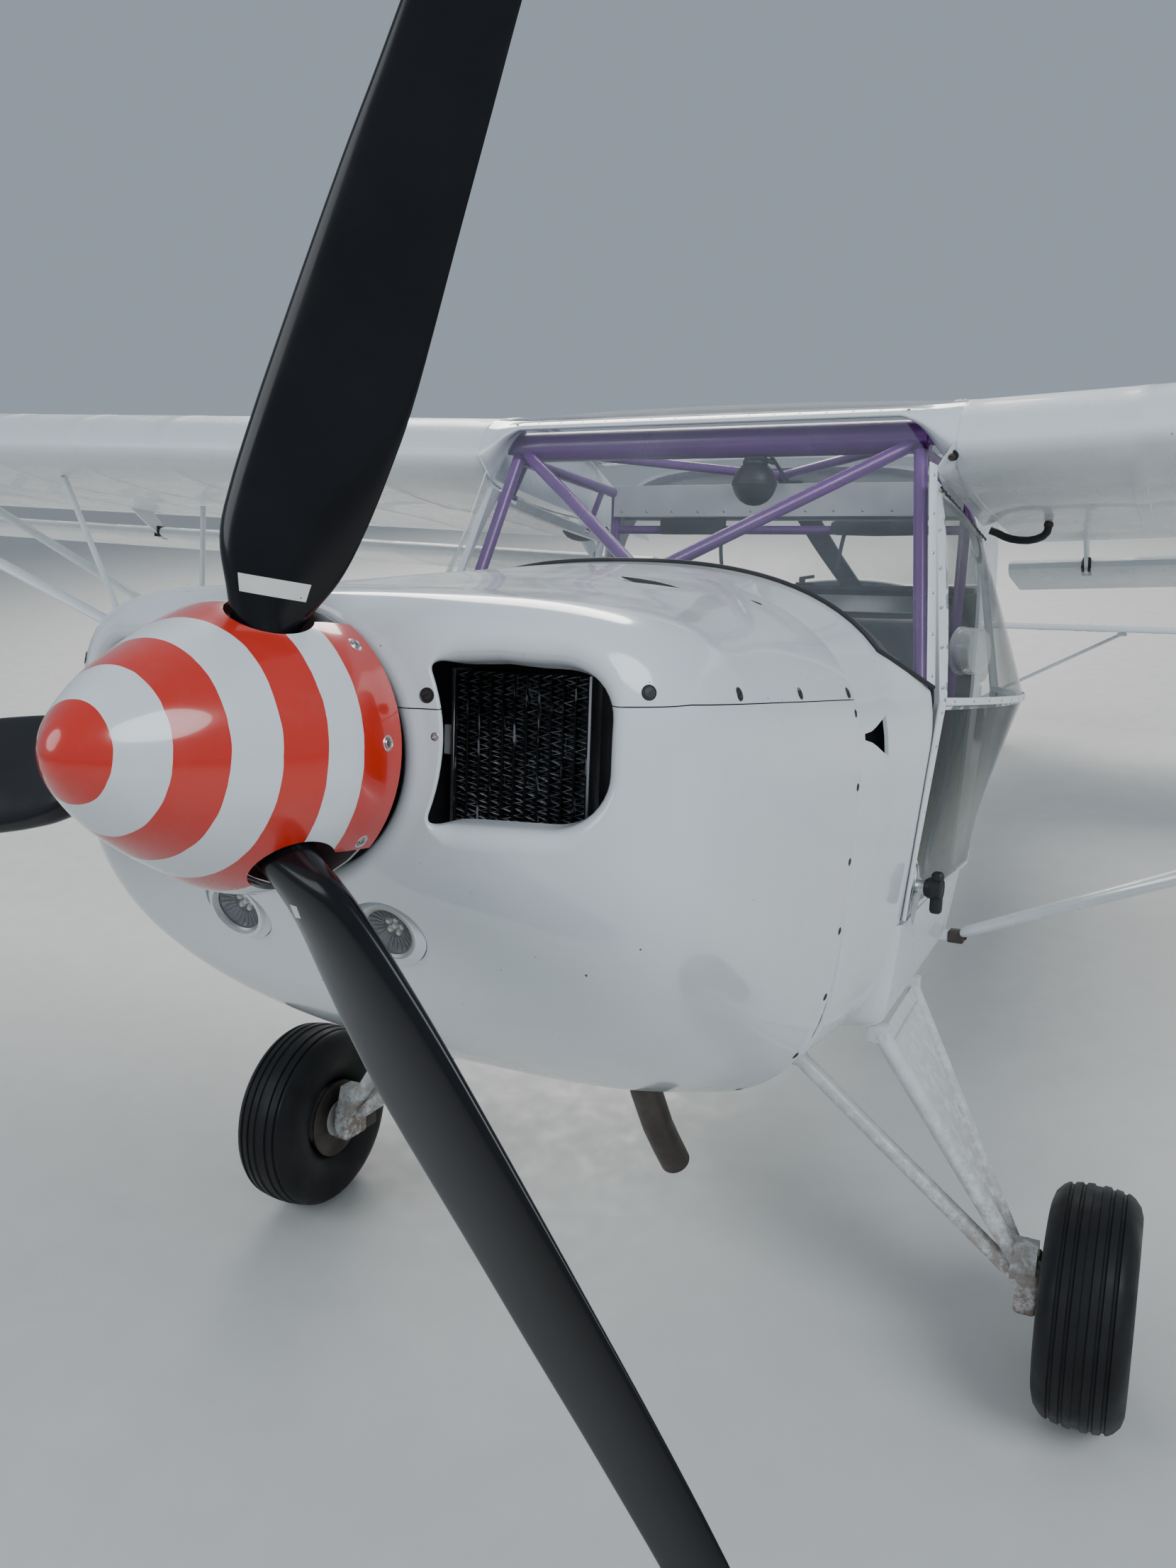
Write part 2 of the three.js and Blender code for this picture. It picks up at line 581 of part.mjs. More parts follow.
function addRearBody() {
  const hollowStations = bodyStations.slice(0, 5).map((s, i) => ({ ...s, y: i === 0 ? s.y - 1 : s.y }));
  const hollow = loft(hollowStations.map((s) => rearRing(s, 10)), 1);
  let body = solid(fuselageLoft(0)).subtract(solid(hollow)).subtract(solid(rearWindowRoom(0)));
  const lug = prismZ([[-14, tailPostY - 4], [14, tailPostY - 4], [14, rudderHingeY], [-14, rudderHingeY]], -4, 4);
  const eye = new THREE.CylinderGeometry(14, 14, 8, 12).rotateX(Math.PI / 2).translate(0, rudderHingeY, 0);
  const hole = new THREE.CylinderGeometry(pinRadius + gap, pinRadius + gap, 20, 12).rotateX(Math.PI / 2);
  body = body.add(solid(lug)).add(solid(eye)).subtract(solid(hole.translate(0, rudderHingeY, 0)));
  add('fuselage_rear', body, look.white);

  const pane = solid(fuselageLoft(0)).subtract(solid(fuselageLoft(glass))).intersect(solid(rearWindowRoom(gap)));
  add('rear_window', pane, look.clear);

  // The header behind the seats with the spine under the window, and the shelf below the window
  const beam = solid(box(-460, 460, 884, 915, 425, 600));
  const room = solid(loft(hollowStations.map((s) => rearRing(s, 10 + gap)), 1));
  const spine = solid(fuselageLoft(11)).subtract(solid(fuselageLoft(17))).intersect(solid(box(-28, 28, 914, 1575, 270, 600)));
  add('rear_roof_panel', beam.intersect(room).add(spine), look.white);
  add('parcel_shelf', solid(box(-460, 460, 884, 1500, 270, 278)).intersect(room), look.white);
}

// Lower cabin: floor and side skirts up to the door sill
function addCabinTub() {
  const rows = named(['y', 'sill', 'sillZ', 'corner', 'bottom'], [
    [postY + gap, 477, -312, 458, -500], [cabinRearY - gap, 457, -331, 432, -513],
  ]);
  const rings = rows.map(({ y, sill, sillZ, corner, bottom }) => {
    const half = [[sill, sillZ], [corner + 4, bottom + 45], [corner - 6, bottom + 14], [corner - 34, bottom]];
    const inner = [[corner - 38, bottom + 10], [corner - 16, bottom + 22], [corner - 7, bottom + 48], [sill - 10, sillZ]];
    const ring = [...half, ...mirror(half).reverse(), ...mirror(inner).reverse(), ...inner];
    return ring.map(([x, z]) => [x, y, z]);
  });
  add('cabin_tub', loft(rings, 1), look.white);
}

// Doors: a bulged clear panel in two panes, hinged along its top edge under the wing
const doorEdge = {
  front: [[132, -303], [138, 70], [292, 446]],
  rear: [[852, 392], [858, 60], [828, -322]],
};
const doorHinge = { from: [446, 300, 442], to: [448, 845, 389] };
const railZ = 62;

/** A point of the door's surface; level runs 0 at the sill, 1 at the rail and 2 at the hinge, t from front to rear. */
function doorPoint(level, t) {
  const at = (lower, upper) => mix(lower, upper, level <= 1 ? level : level - 1);
  const [front, rear] = level <= 1
    ? [at(doorEdge.front[0], doorEdge.front[1]), at(doorEdge.rear[2], doorEdge.rear[1])]
    : [at(doorEdge.front[1], doorEdge.front[2]), at(doorEdge.rear[1], doorEdge.rear[0])];
  const [y, z] = mix(front, rear, t);
  const away = Math.abs(level - 1);
  const edgeX = level <= 1 ? 476 : 452;
  const lean = level <= 1 ? 1 - away : (1 - away) ** 0.7;
  const bulge = 92 * Math.sin(Math.PI * t) ** 0.75 * lean;
  return [510 + (edgeX - 510) * away + bulge - 8 * t * (1 - away), y, z];
}

function doorGrid(side) {
  const levels = [0, 0.4, 0.75, 1, 1.2, 1.55, 2];
  const columns = 8;
  return levels.map((level) => {
    const row = [];
    for (let j = 0; j <= columns; j += 1) {
      const [x, y, z] = doorPoint(level, j / columns);
      row.push([side * x, y, z]);
    }
    return row;
  });
}

/** The outline of one pane in the side view; inset moves it inwards. */
function paneOutline(part, inset) {
  const rim = 26 + inset;
  const [bottomFront, railFront, topFront] = doorEdge.front;
  const [topRear, railRear, bottomRear] = doorEdge.rear;
  if (part === 'lower') {
    return [[bottomFront[0] + rim, bottomFront[1] + rim + 82], [bottomFront[0] + rim + 92, bottomFront[1] + rim],
      [bottomRear[0] - rim, bottomRear[1] + rim],
      [railRear[0] - rim, railZ - 11 - inset], [railFront[0] + rim, railZ - 11 - inset]];
  }
  return [[railFront[0] + rim, railZ + 11 + inset], [railRear[0] - rim, railZ + 11 + inset],
    [topRear[0] - rim, topRear[1] - rim], [topFront[0] + rim + 14, topFront[1] - rim - 4]];
}

function hingeSegment(side, t0, t1, width) {
  const place = (t) => {
    const [x, y, z] = mix(doorHinge.from, doorHinge.to, t);
    return [side * x, y, z];
  };
  return bar(place(t0), place(t1), width, width, 12);
}

const knuckles = [[0.12, 0.18], [0.82, 0.88]];
const latch = { y: 190, z: -255 };
const vent = { x: 527.5, y: 236, z: 153, radius: 40, height: 30, turn: rad(20) };

/** A drum that stands on the door's window round the vent, between two heights above the sheet. */
function ventPart(side, radius, low, high) {
  const drum = alongX(new THREE.CylinderGeometry(radius, radius, high - low, 12)).translate((high + low) / 2, 0, 0);
  drum.rotateZ(-vent.turn).translate(vent.x, vent.y, vent.z);
  return solid(side > 0 ? drum : drum.applyMatrix4(new THREE.Matrix4().makeScale(-1, 1, 1)));
}

function addDoors() {
  for (const [side, name] of [[1, 'left'], [-1, 'right']]) {
    const inside = [0, 480, 60];
    const thick = solid(sheet(doorGrid(side), 14, inside));
    const thin = solid(sheet(doorGrid(side), glass, inside));
    const prism = (part, inset) => solid(prismX(paneOutline(part, inset), side > 0 ? 300 : -800, side > 0 ? 800 : -300));
    let frame = thick.subtract(prism('upper', 0)).subtract(prism('lower', 0));
    for (const [t0, t1] of knuckles) {
      frame = frame.subtract(solid(hingeSegment(side, t0 - 0.008, t1 + 0.008, 26)));
      frame = frame.add(solid(hingeSegment(side, t0 - 0.06, t0 - 0.0008, 12)));
      frame = frame.add(solid(hingeSegment(side, t1 + 0.0008, t1 + 0.06, 12)));
    }
    const { y, z } = latch;
    const stem = alongX(new THREE.CylinderGeometry(9, 9, 45, 10)).translate(side * 501, y, z);
    frame = frame.add(solid(stem)).add(solid(box(side * 521 - 9, side * 521 + 9, y - 7, y + 7, z - 36, z + 20)));
    add(`door_frame_${name}`, frame, look.alloy);
    const window = thin.intersect(prism('upper', gap));
    add(`door_window_${name}`, window.add(ventPart(side, vent.radius, -3, vent.height))
      .subtract(ventPart(side, vent.radius - 4, -20, vent.height - 3)), look.clear);
    add(`door_pane_${name}`, thin.intersect(prism('lower', gap)), look.clear);
  }
}

// Welded steel tube frame of the cabin, seen through the glass
function addCabinFrame() {
  const tube = 24;
  const pieces = [];
  const both = (a, b, width = tube) => {
    const over = 6 / Math.hypot(b[0] - a[0], b[1] - a[1], b[2] - a[2]);
    const [from, to] = [mix(a, b, -over), mix(b, a, -over)];
    const other = ([x, y, z]) => [-x, y, z];
    pieces.push(bar(from, to, width, width, 6), bar(other(from), other(to), width, width, 6));
  };
  const corner = [418, 372, 532];
  const apex = [0, 60, 262];
  const postFoot = [424, 162, -462];
  const postBelt = [472, 172, 62];
  const postHead = [410, 345, 506];
  const rearHead = [416, 850, 486];
  const rearFoot = [400, 850, -474];
  both(corner, apex);
  both(postFoot, postBelt);
  both(postBelt, postHead);
  both(postHead, rearHead);
  both(rearHead, rearFoot);
  both(postFoot, rearFoot);
  both(postHead, corner);
  both(corner, [0, 840, 520], 20);
  both(postBelt, apex, 20);
  pieces.push(bar([-420, 372, 532], [420, 372, 532], 60, 60, 10));
  pieces.push(bar([-416, 850, 486], [416, 850, 486], 26, 26, 6));
  pieces.push(bar([-416, 850, 400], [416, 850, 400], 20, 20, 6));
  pieces.push(bar([-400, 850, -474], [400, 850, -474], tube, tube, 6));
  pieces.push(bar([-424, 162, -462], [424, 162, -462], tube, tube, 6));
  pieces.push(bar([-408, 850, -60], [408, 850, -60], tube, tube, 6));
  for (const side of [1, -1]) {
    pieces.push(box(side * 380 - 12, side * 380 + 12, 150, 174, -490.5 + gap, -462));
    pieces.push(box(side * 404 - 14, side * 404 + 14, 846, cabinRearY - gap, -200, -160));
    pieces.push(box(side * 404 - 14, side * 404 + 14, 846, cabinRearY - gap, 440, 496));
    pieces.push(box(side * 424 - 14, side * 424 + 14, 346, 376, 516, 577));
    for (const [t0, t1] of knuckles) {
      pieces.push(hingeSegment(side, t0, t1, 12));
      const middle = mix(doorHinge.from, doorHinge.to, (t0 + t1) / 2);
      pieces.push(bar([side * middle[0], middle[1], middle[2]], [side * 411, middle[1], 508 - 0.04 * (middle[1] - 345)], 10, 26, 8));
    }
  }
  add('cabin_frame', union(...pieces).subtract(leadingEdgeSolid(gap)), look.purple);
}

/** The body station at any length, between the listed ones. */
function stationAt(stations, y) {
  const after = stations.findIndex((s) => s.y >= y);
  const [from, to] = [stations[after - 1], stations[after]];
  const t = (y - from.y) / (to.y - from.y);
  return Object.fromEntries(bodyColumns.map((key) => [key, from[key] + (to[key] - from[key]) * t]));
}

function addInstrumentPanel() {
  const rings = [-46, -4].map((y) => bodyRing(stationAt(bootStations, y), skin + gap));
  const block = solid(loft(rings, 1)).intersect(solid(box(-600, 600, -60, 60, -30, 600)));
  add('instrument_panel', block, look.black);
}

const floorZ = (y) => -490 - (y - postY) * 13 / (cabinRearY - postY);

function addSeats() {
  const profile = [[380, floorZ(380) + gap], [372, -262], [402, -236], [690, -262], [752, 60], [776, 232], [800, 244],
    [824, 226], [812, 50], [770, -330], [762, floorZ(762) + gap]];
  for (const [side, name] of [[1, 'left'], [-1, 'right']]) {
    add(`seat_${name}`, prismX(profile, side > 0 ? 18 : -388, side > 0 ? 388 : -18), look.cloth);
  }
}

function addSticks() {
  const pieces = [bar([-230, 330, -462], [230, 330, -462], 24)];
  for (const side of [1, -1]) {
    pieces.push(bar([side * 213, 330, -462], [side * 213, 300, -190], 22));
    pieces.push(bar([side * 213, 300, -192], [side * 213, 292, -80], 34, 38));
    pieces.push(box(side * 120 - 12, side * 120 + 12, 315, 345, -495, -455));
  }
  const floor = solid(box(-600, 600, 0, 1000, -700, floorZ(320) + gap));
  add('control_sticks', union(...pieces).subtract(floor), look.black);
}

function addCompass() {
  const ball = new THREE.SphereGeometry(42, 10, 7).translate(95, 366, 452);
  const stem = box(73, 117, 356, 376, 460, 520);
  const tubeRoom = solid(bar([-420, 372, 532], [420, 372, 532], 60 + 4 * gap, 60 + 4 * gap, 10));
  add('compass', union(ball, stem).subtract(tubeRoom), look.black);
}

// Tail surfaces: flat fabric panels on tube edges
function addTailplane() {
  const { z, thickness, leadingRootY, hingeY, tipX } = tailplane;
  const half = [[0, leadingRootY], [430, leadingRootY + 40], [980, leadingRootY + 150], [1090, leadingRootY + 210],
    [tipX, leadingRootY + 320], [tipX, hingeY - 18]];
  const points = [...half, ...mirror(half.slice(1)).reverse()];
  let body = solid(prismZ(points, z - thickness / 2, z + thickness / 2));
  for (const x of elevatorHinges) {
    for (const side of [1, -1]) {
      body = body.add(solid(box(side * x - plateHalf, side * x + plateHalf, hingeY - 30, hingeY, z - 12, z + 12)));
      body = body.add(solid(eyeX(side * x, plateHalf, hingeY, z, 12)));
      body = body.subtract(solid(eyeX(side * x, 3 * plateHalf, hingeY, z, pinRadius + gap)));
    }
  }
  add('tailplane', body, look.white);
}

const elevatorHinges = [330, 930];

function addElevator() {
  const { z, hingeY, tipX } = tailplane;
  const outlinePoints = [[52, 0], [tipX, 0], [tipX, 240], [1090, 300], [980, 330], [190, 345], [150, 320], [52, 80]];
  let body = null;
  for (const side of [1, -1]) {
    const panel = prismZ(outlinePoints.map(([x, a]) => [side * x, hingeY + a]), z - 11, z + 11);
    const nose = alongX(new THREE.CylinderGeometry(13, 13, tipX - 52, 8)).translate(side * (tipX + 52) / 2, hingeY, z);
    const half = solid(panel).add(solid(nose));
    body = body ? body.add(half) : half;
  }
  body = body.add(solid(alongX(new THREE.CylinderGeometry(11, 11, 130, 8)).translate(0, hingeY, z)));
  for (const x of elevatorHinges) {
    for (const side of [1, -1]) {
      body = body.subtract(solid(box(side * x - plateHalf - 6, side * x + plateHalf + 6, hingeY - 40, hingeY + 22, z - 40, z + 40)));
      body = body.add(solid(eyeX(side * x, plateHalf + 8, hingeY, z, pinRadius)));
    }
  }
  add('elevator', body, look.white);
}

const rudderHinges = [0, 560];

function addFin() {
  const top = tailplane.z + tailplane.thickness / 2 + gap;
  const points = [[3150, 214], [3300, 210], [3326, 217], [3326, top], [3778, top], [3778, 236], [3832, 236],
    [3832, 189 + gap], [tailPostY, 189 + gap], [tailPostY, 800], [3905, 826], [3860, 838], [3810, 832], [3760, 806],
    [3640, 640], [3450, 400], [3330, 300]];
  let body = solid(prismX(points, -13, 13)).subtract(solid(fuselageLoft(0).translate(0, 0, gap)));
  const z = rudderHinges[1];
  const lug = box(-12, 12, tailPostY - 5, rudderHingeY, z - 4, z + 4);
  const eye = new THREE.CylinderGeometry(13, 13, 8, 12).rotateX(Math.PI / 2).translate(0, rudderHingeY, z);
  const hole = new THREE.CylinderGeometry(pinRadius + gap, pinRadius + gap, 20, 12).rotateX(Math.PI / 2);
  body = body.add(solid(lug)).add(solid(eye)).subtract(solid(hole.translate(0, rudderHingeY, z)));
  add('fin', body, look.white);
}

function addRudder() {
  const y = rudderHingeY;
  const points = [[y, -75], [y + 300, -60], [y + 400, -20], [y + 440, 60], [y + 440, 330], [y + 400, 560], [y + 320, 720],
    [y + 200, 810], [y + 70, 840], [y, 842]];
  const panel = prismX(points, -11, 11);
  const nose = new THREE.CylinderGeometry(13, 13, 917, 8).rotateX(Math.PI / 2).translate(0, y, 383.5);
  let body = solid(panel).add(solid(nose));
  for (const z of rudderHinges) {
    body = body.subtract(solid(box(-40, 40, y - 40, y + 22, z - 10, z + 10)));
    const pin = new THREE.CylinderGeometry(pinRadius, pinRadius, 24, 12).rotateX(Math.PI / 2);
    body = body.add(solid(pin.translate(0, y, z)));
  }
  add('rudder', body, look.white);
}

function addTailBraces() {
  const under = tailplane.z - tailplane.thickness / 2 - gap;
  const pieces = [box(-70, 70, 3690, 3714, -124, -116)];
  for (const side of [1, -1]) {
    pieces.push(bar([side * 62, 3702, -120], [side * 640, 3640, under + 10], 14, 26, 8));
    pieces.push(box(side * 64 - 8, side * 64 + 8, 3690, 3714, -124, -60));
  }
  const above = solid(box(-1200, 1200, 3000, 4200, under, 400));
  const body = solid(fuselageLoft(0).scale(1 + gap / 30, 1, 1).translate(0, 0, -gap));
  add('tail_braces', union(...pieces).subtract(above).subtract(body), look.white);
}

// Main gear: two legs and a fabric web to an axle, with a shock strut to the belly on each side
function addGearLegs() {
  for (const [side, name] of [[1, 'left'], [-1, 'right']]) {
    const at = (x, y, z) => [side * x, y, z];
    const frontTop = at(446, 153, -512);
    const rearTop = at(430, 515, -518);
    const knee = at(724, 205, -930);
    const web = [[446, 153, -520], [724, 190, -930], [724, 215, -930], [430, 515, -520]];
    const webLow = web.map(([x, y, z]) => [side * (x - 5), y, z - 4]);
    const webHigh = web.map(([x, y, z]) => [side * (x + 3), y, z + 4]);
    const spread = (x0, x1) => [Math.min(side * x0, side * x1), Math.max(side * x0, side * x1)];
    const pieces = [
      bar(frontTop, knee, 30, 38, 12),
      bar(rearTop, knee, 24, 28, 10),
      loft([webLow, webHigh], 2),
      box(...spread(424, 462), 132, 174, -530, -502),
      box(...spread(408, 446), 496, 534, -536, -508),
      box(...spread(700, 738), 170, 240, -975, -905),
      alongX(new THREE.CylinderGeometry(axleRadius, axleRadius, 150, 20)).translate(side * (mainHub.x - 15), mainHub.y, mainHub.z),
      box(...spread(708, 734), mainHub.y + 20, mainHub.y + 92, mainHub.z - 30, mainHub.z + 40),
    ];
    const body = union(...pieces);
    const belly = solid(prismZ([[-600, 0], [600, 0], [600, 1000], [-600, 1000]], -508, 0));
    const floorRoom = solid(cabinFloorRoom());
    add(`gear_leg_${name}`, body.subtract(floorRoom).subtract(belly.intersect(floorRoom)), look.white);
  }
}

/** The space of the lower cabin, grown by the usual clearance, which the gear's fittings leave free. */
function cabinFloorRoom() {
  const rows = named(['y', 'sill', 'corner', 'bottom'], [
    [0, 477, 458, -500], [postY + 1, 477, 458, -500], [cabinRearY, 457, 432, -513],
  ]);
  return loft(rows.map(({ y, sill, corner, bottom }) => {
    const half = [[sill, 0], [sill, -320], [corner + 4, bottom + 45], [corner - 6, bottom + 14], [corner - 34, bottom]]
      .map(([x, z]) => [x + gap, z - gap]);
    return [...half, ...mirror(half).reverse()].map(([x, z]) => [x, y, z]);
  }), 1);
}

function addShockStruts() {
  const pieces = [bar([-215, 205, -530], [215, 205, -530], 30)];
  for (const side of [1, -1]) {
    pieces.push(bar([side * 195, 205, -530], [side * 698, 205, -922], 30));
    pieces.push(bar([side * 205, 205, -538], [side * 400, 205, -690], 46, 46, 10));
    pieces.push(box(side * 120 - 14, side * 120 + 14, 190, 220, -532, -495));
  }
  let body = union(...pieces).subtract(solid(cabinFloorRoom()));
  for (const side of [1, -1]) {
    const knee = [side * 724, 205, -930];
    body = body.subtract(solid(box(Math.min(side * (700 - gap), side * 760), Math.max(side * (700 - gap), side * 760), 100, 300, -1000, -850)));
    body = body.subtract(solid(bar([side * 446, 153, -512], knee, 31.5, 39.5, 12)));
    body = body.subtract(solid(bar([side * 430, 515, -518], knee, 25.5, 29.5, 10)));
  }
  add('shock_struts', body, look.white);
}

// Wheels: the tyre's flat facet lies level with the ground
function tyreProfile({ radius, halfWidth, bead }) {
  const shoulder = halfWidth * 0.62;
  return [[bead, -halfWidth * 0.55], [bead + (radius - bead) * 0.25, -halfWidth * 0.86], [bead + (radius - bead) * 0.5, -halfWidth],
    [bead + (radius - bead) * 0.78, -halfWidth * 0.93], [radius * 0.972, -shoulder], [radius, -halfWidth * 0.2],
    [radius, halfWidth * 0.2], [radius * 0.972, shoulder], [bead + (radius - bead) * 0.78, halfWidth * 0.93],
    [bead + (radius - bead) * 0.5, halfWidth], [bead + (radius - bead) * 0.25, halfWidth * 0.86], [bead, halfWidth * 0.55],
    [bead, -halfWidth * 0.55]];
}

/** Turns a wheel that was spun about Y onto the X axis, with a facet at the bottom once the nose is raised. */
function wheelGeometry(profile, segments) {
  const geometry = turned(profile, segments).rotateY(Math.PI / segments);
  return alongX(geometry).rotateX(deckAngle);
}

function addWheels() {
  for (const [side, name] of [[1, 'left'], [-1, 'right']]) {
    const wheel = new THREE.Group();
    wheel.position.set(side * mainHub.x, mainHub.y, mainHub.z);
    aircraft.add(wheel);
    add(`tyre_${name}`, wheelGeometry(tyreProfile(mainTyre), mainTyre.segments), look.rubber, wheel);
    const rim = mainTyre.bead - gap;
    const bore = axleRadius + gap;
    const wide = mainTyre.halfWidth * 0.55;
    const profile = [[bore, -66], [40, -66], [40, -18], [rim - 10, -14], [rim - 10, -wide + 6], [rim, -wide], [rim, wide],
      [rim - 10, wide - 6], [rim - 10, 14], [40, 18], [40, 44], [bore, 44], [bore, -66]];
    const hub = wheelGeometry(profile, 18);
    const disc = wheelGeometry([[38, -60], [84, -60], [84, -65], [38, -65], [38, -60]], 18);
    const rimSolid = solid(hub).add(solid(disc));
    const geometry = fromSolid(rimSolid);
    if (side < 0) geometry.rotateY(Math.PI).rotateX(2 * deckAngle);
    add(`rim_${name}`, geometry, look.alloy, wheel);
  }
}

// Tailwheel on a leaf spring; the fork swivels on an upright that is vertical when the aircraft stands
const effective = ({ radius, segments }) => radius * Math.cos(Math.PI / segments);
const groundZ = (y, z) => -y * Math.sin(deckAngle) + z * Math.cos(deckAngle);
const groundLevel = groundZ(mainHub.y, mainHub.z) - effective(mainTyre);
const tailHubZ = (groundLevel + effective(tailTyre) + tailHubY * Math.sin(deckAngle)) / Math.cos(deckAngle);

function addTailwheel() {
  const upright = new THREE.Group();
  upright.position.set(0, tailHubY, tailHubZ);
  upright.rotation.x = deckAngle;
  aircraft.add(upright);
  const trail = 58;
  const head = 104;
  const fork = union(
    box(-38, -32, -trail - 4, 20, -14, head), box(32, 38, -trail - 4, 20, -14, head),
    box(-38, 38, -trail - 22, 20, head - 8, head),
    new THREE.CylinderGeometry(9, 9, 60, 20).rotateX(Math.PI / 2).translate(0, -trail, head + 22),
    new THREE.CylinderGeometry(12, 12, 8, 20).rotateX(Math.PI / 2).translate(0, -trail, head + 48),
    alongX(new THREE.CylinderGeometry(tailAxleRadius, tailAxleRadius, 74, 16)),
  );
  add('tail_fork', fork, look.alloy, upright);
  const tyre = turned(tyreProfile(tailTyre), tailTyre.segments).rotateY(Math.PI / tailTyre.segments);
  const hub = turned([[tailAxleRadius + gap, -22], [16, -22], [16, -10], [31, -10], [31, 10], [16, 10], [16, 22],
    [tailAxleRadius + gap, 22], [tailAxleRadius + gap, -22]], tailTyre.segments).rotateY(Math.PI / tailTyre.segments);
  add('tail_wheel', solid(alongX(tyre)).add(solid(alongX(hub))), look.rubber, upright);

  const bush = new THREE.CylinderGeometry(20, 20, 43, 20).rotateX(Math.PI / 2).translate(0, -trail, head + 22);
  const bore = new THREE.CylinderGeometry(9 + gap, 9 + gap, 80, 20).rotateX(Math.PI / 2).translate(0, -trail, head + 22);
  const place = new THREE.Matrix4().makeRotationX(deckAngle).setPosition(0, tailHubY, tailHubZ);
  bush.applyMatrix4(place);
  bore.applyMatrix4(place);
  const end = new THREE.Vector3(0, -trail, head + 22).applyMatrix4(place);
  const leaf = [[3700, -112], [3860, -92], [3980, -96], [end.y, end.z + 8]];
  const upper = leaf.map(([y, z]) => [y, z + 5]);
  const lower = leaf.map(([y, z]) => [y, z - 5]).reverse();
  const spring = prismX([...upper, ...lower], -18, 18);
  const pad = box(-18, 18, 3705, 3790, -118, -60);
  const body = solid(fuselageLoft(0).translate(0, 0, -gap));
  const braceRoom = solid(box(-80, 80, 3689, 3715, -140, -112.5));
  add('tail_spring', union(bush, spring, pad).subtract(solid(bore)).subtract(body).subtract(braceRoom), look.steel);
}

// Propeller: striped spinner, hub with its back plate, and three blades set in the hub
function addPropeller() {
  const propeller = new THREE.Group();
  propeller.applyMatrix4(shaftPlace());
  aircraft.add(propeller);

  const nosePoints = (wall) => {
    const rows = [[0, 157], [-61, 155.5], [-104, 146], [-148, 127], [-193, 105], [-237, 79], [-277, 47.5], [-297, 24]];
    return rows.map(([h, r]) => [Math.max(r - wall, 0.01), h + (h < -200 ? wall * 0.8 : 0)]);
  };
  const outer = [...nosePoints(0), [0, -spinnerLength]];
  const inner = [...nosePoints(5), [0, -spinnerLength + 9]].reverse();
  let spinner = solid(turned([...outer, ...inner, outer[0]], 24));
  const hubRadius = 58;
  const cut = (angle) => {
    const slot = union(
      new THREE.CylinderGeometry(44, 44, 260, 12).rotateX(Math.PI / 2).translate(0, bladePlane, 160),
      box(-32, 32, bladePlane, 20, 60, 260),
    );
    return solid(fromSolid(slot).rotateY(angle));
  };
  const turns = bladeAngles.map((degrees) => rad(90 - degrees));
  for (const angle of turns) spinner = spinner.subtract(cut(angle));
  add('spinner', spinner, look.red, propeller);

  const plate = new THREE.CylinderGeometry(spinnerRadius - 6 - gap, spinnerRadius - 6 - gap, 5, 36).translate(0, 2.5 - 5, 0);
  const core = new THREE.CylinderGeometry(hubRadius, hubRadius, 138, 24).translate(0, -69, 0);
  const flange = new THREE.CylinderGeometry(50, 50, 18, 16).translate(0, 7, 0);
  const bore = new THREE.CylinderGeometry(shaft.radius + 0.8, shaft.radius + 0.8, 40, 16).translate(0, 8, 0);
  add('propeller_hub', union(plate, core, flange).subtract(solid(bore)), look.alloy, propeller);

  const stations = named(['r', 'chord', 'thickness', 'pitch', 'point', 'sweep'], [
    [40, 66, 66, 40, 0, 0], [118, 66, 64, 40, 0, 0], [150, 80, 52, 36, 0.1, 0.05], [200, 122, 40, 31, 0.3, 0.06],
    [250, 137, 32, 27, 0.4, 0.05], [320, 143, 27, 24, 0.45, 0.04], [400, 142, 23, 22, 0.45, 0.04],
    [560, 125, 18, 20.5, 0.45, 0.08], [650, 114, 15, 19, 0.45, 0.1], [750, 102, 13, 18, 0.45, 0.13],
    [850, 90, 10, 17, 0.45, 0.14], [905, 78, 8, 16, 0.4, 0.12], [propellerRadius, 38, 5, 16, 0.3, 0.1],
  ]);
  const blade = () => {
    const count = 14;
    const rings = stations.map(({ r, chord, thickness, pitch, point, sweep }) => {
      const [c, s] = [Math.cos(rad(pitch)), Math.sin(rad(pitch))];
      const ring = [];
      for (let i = 0; i < count; i += 1) {
        const angle = 2 * Math.PI * i / count;
        const lead = chord * (0.5 * Math.cos(angle) + sweep);
        const depth = 0.5 * thickness * Math.sin(angle) * (1 + point * Math.cos(angle));
        ring.push([-lead * c - depth * s, bladePlane - lead * s + depth * c, r]);
      }
      return ring;
    });
    return loft(rings, 2);
  };
  const hubRoom = solid(new THREE.CylinderGeometry(hubRadius + 1, hubRadius + 1, 200, 24).translate(0, bladePlane, 0));
  const plateRoom = solid(box(-200, 200, -5.5 - gap, 100, -1000, 1000));
  turns.forEach((angle, i) => {
    const body = solid(blade().rotateY(angle)).subtract(hubRoom).subtract(plateRoom);
    add(`blade_${i + 1}`, body, look.black, propeller);
  });
}

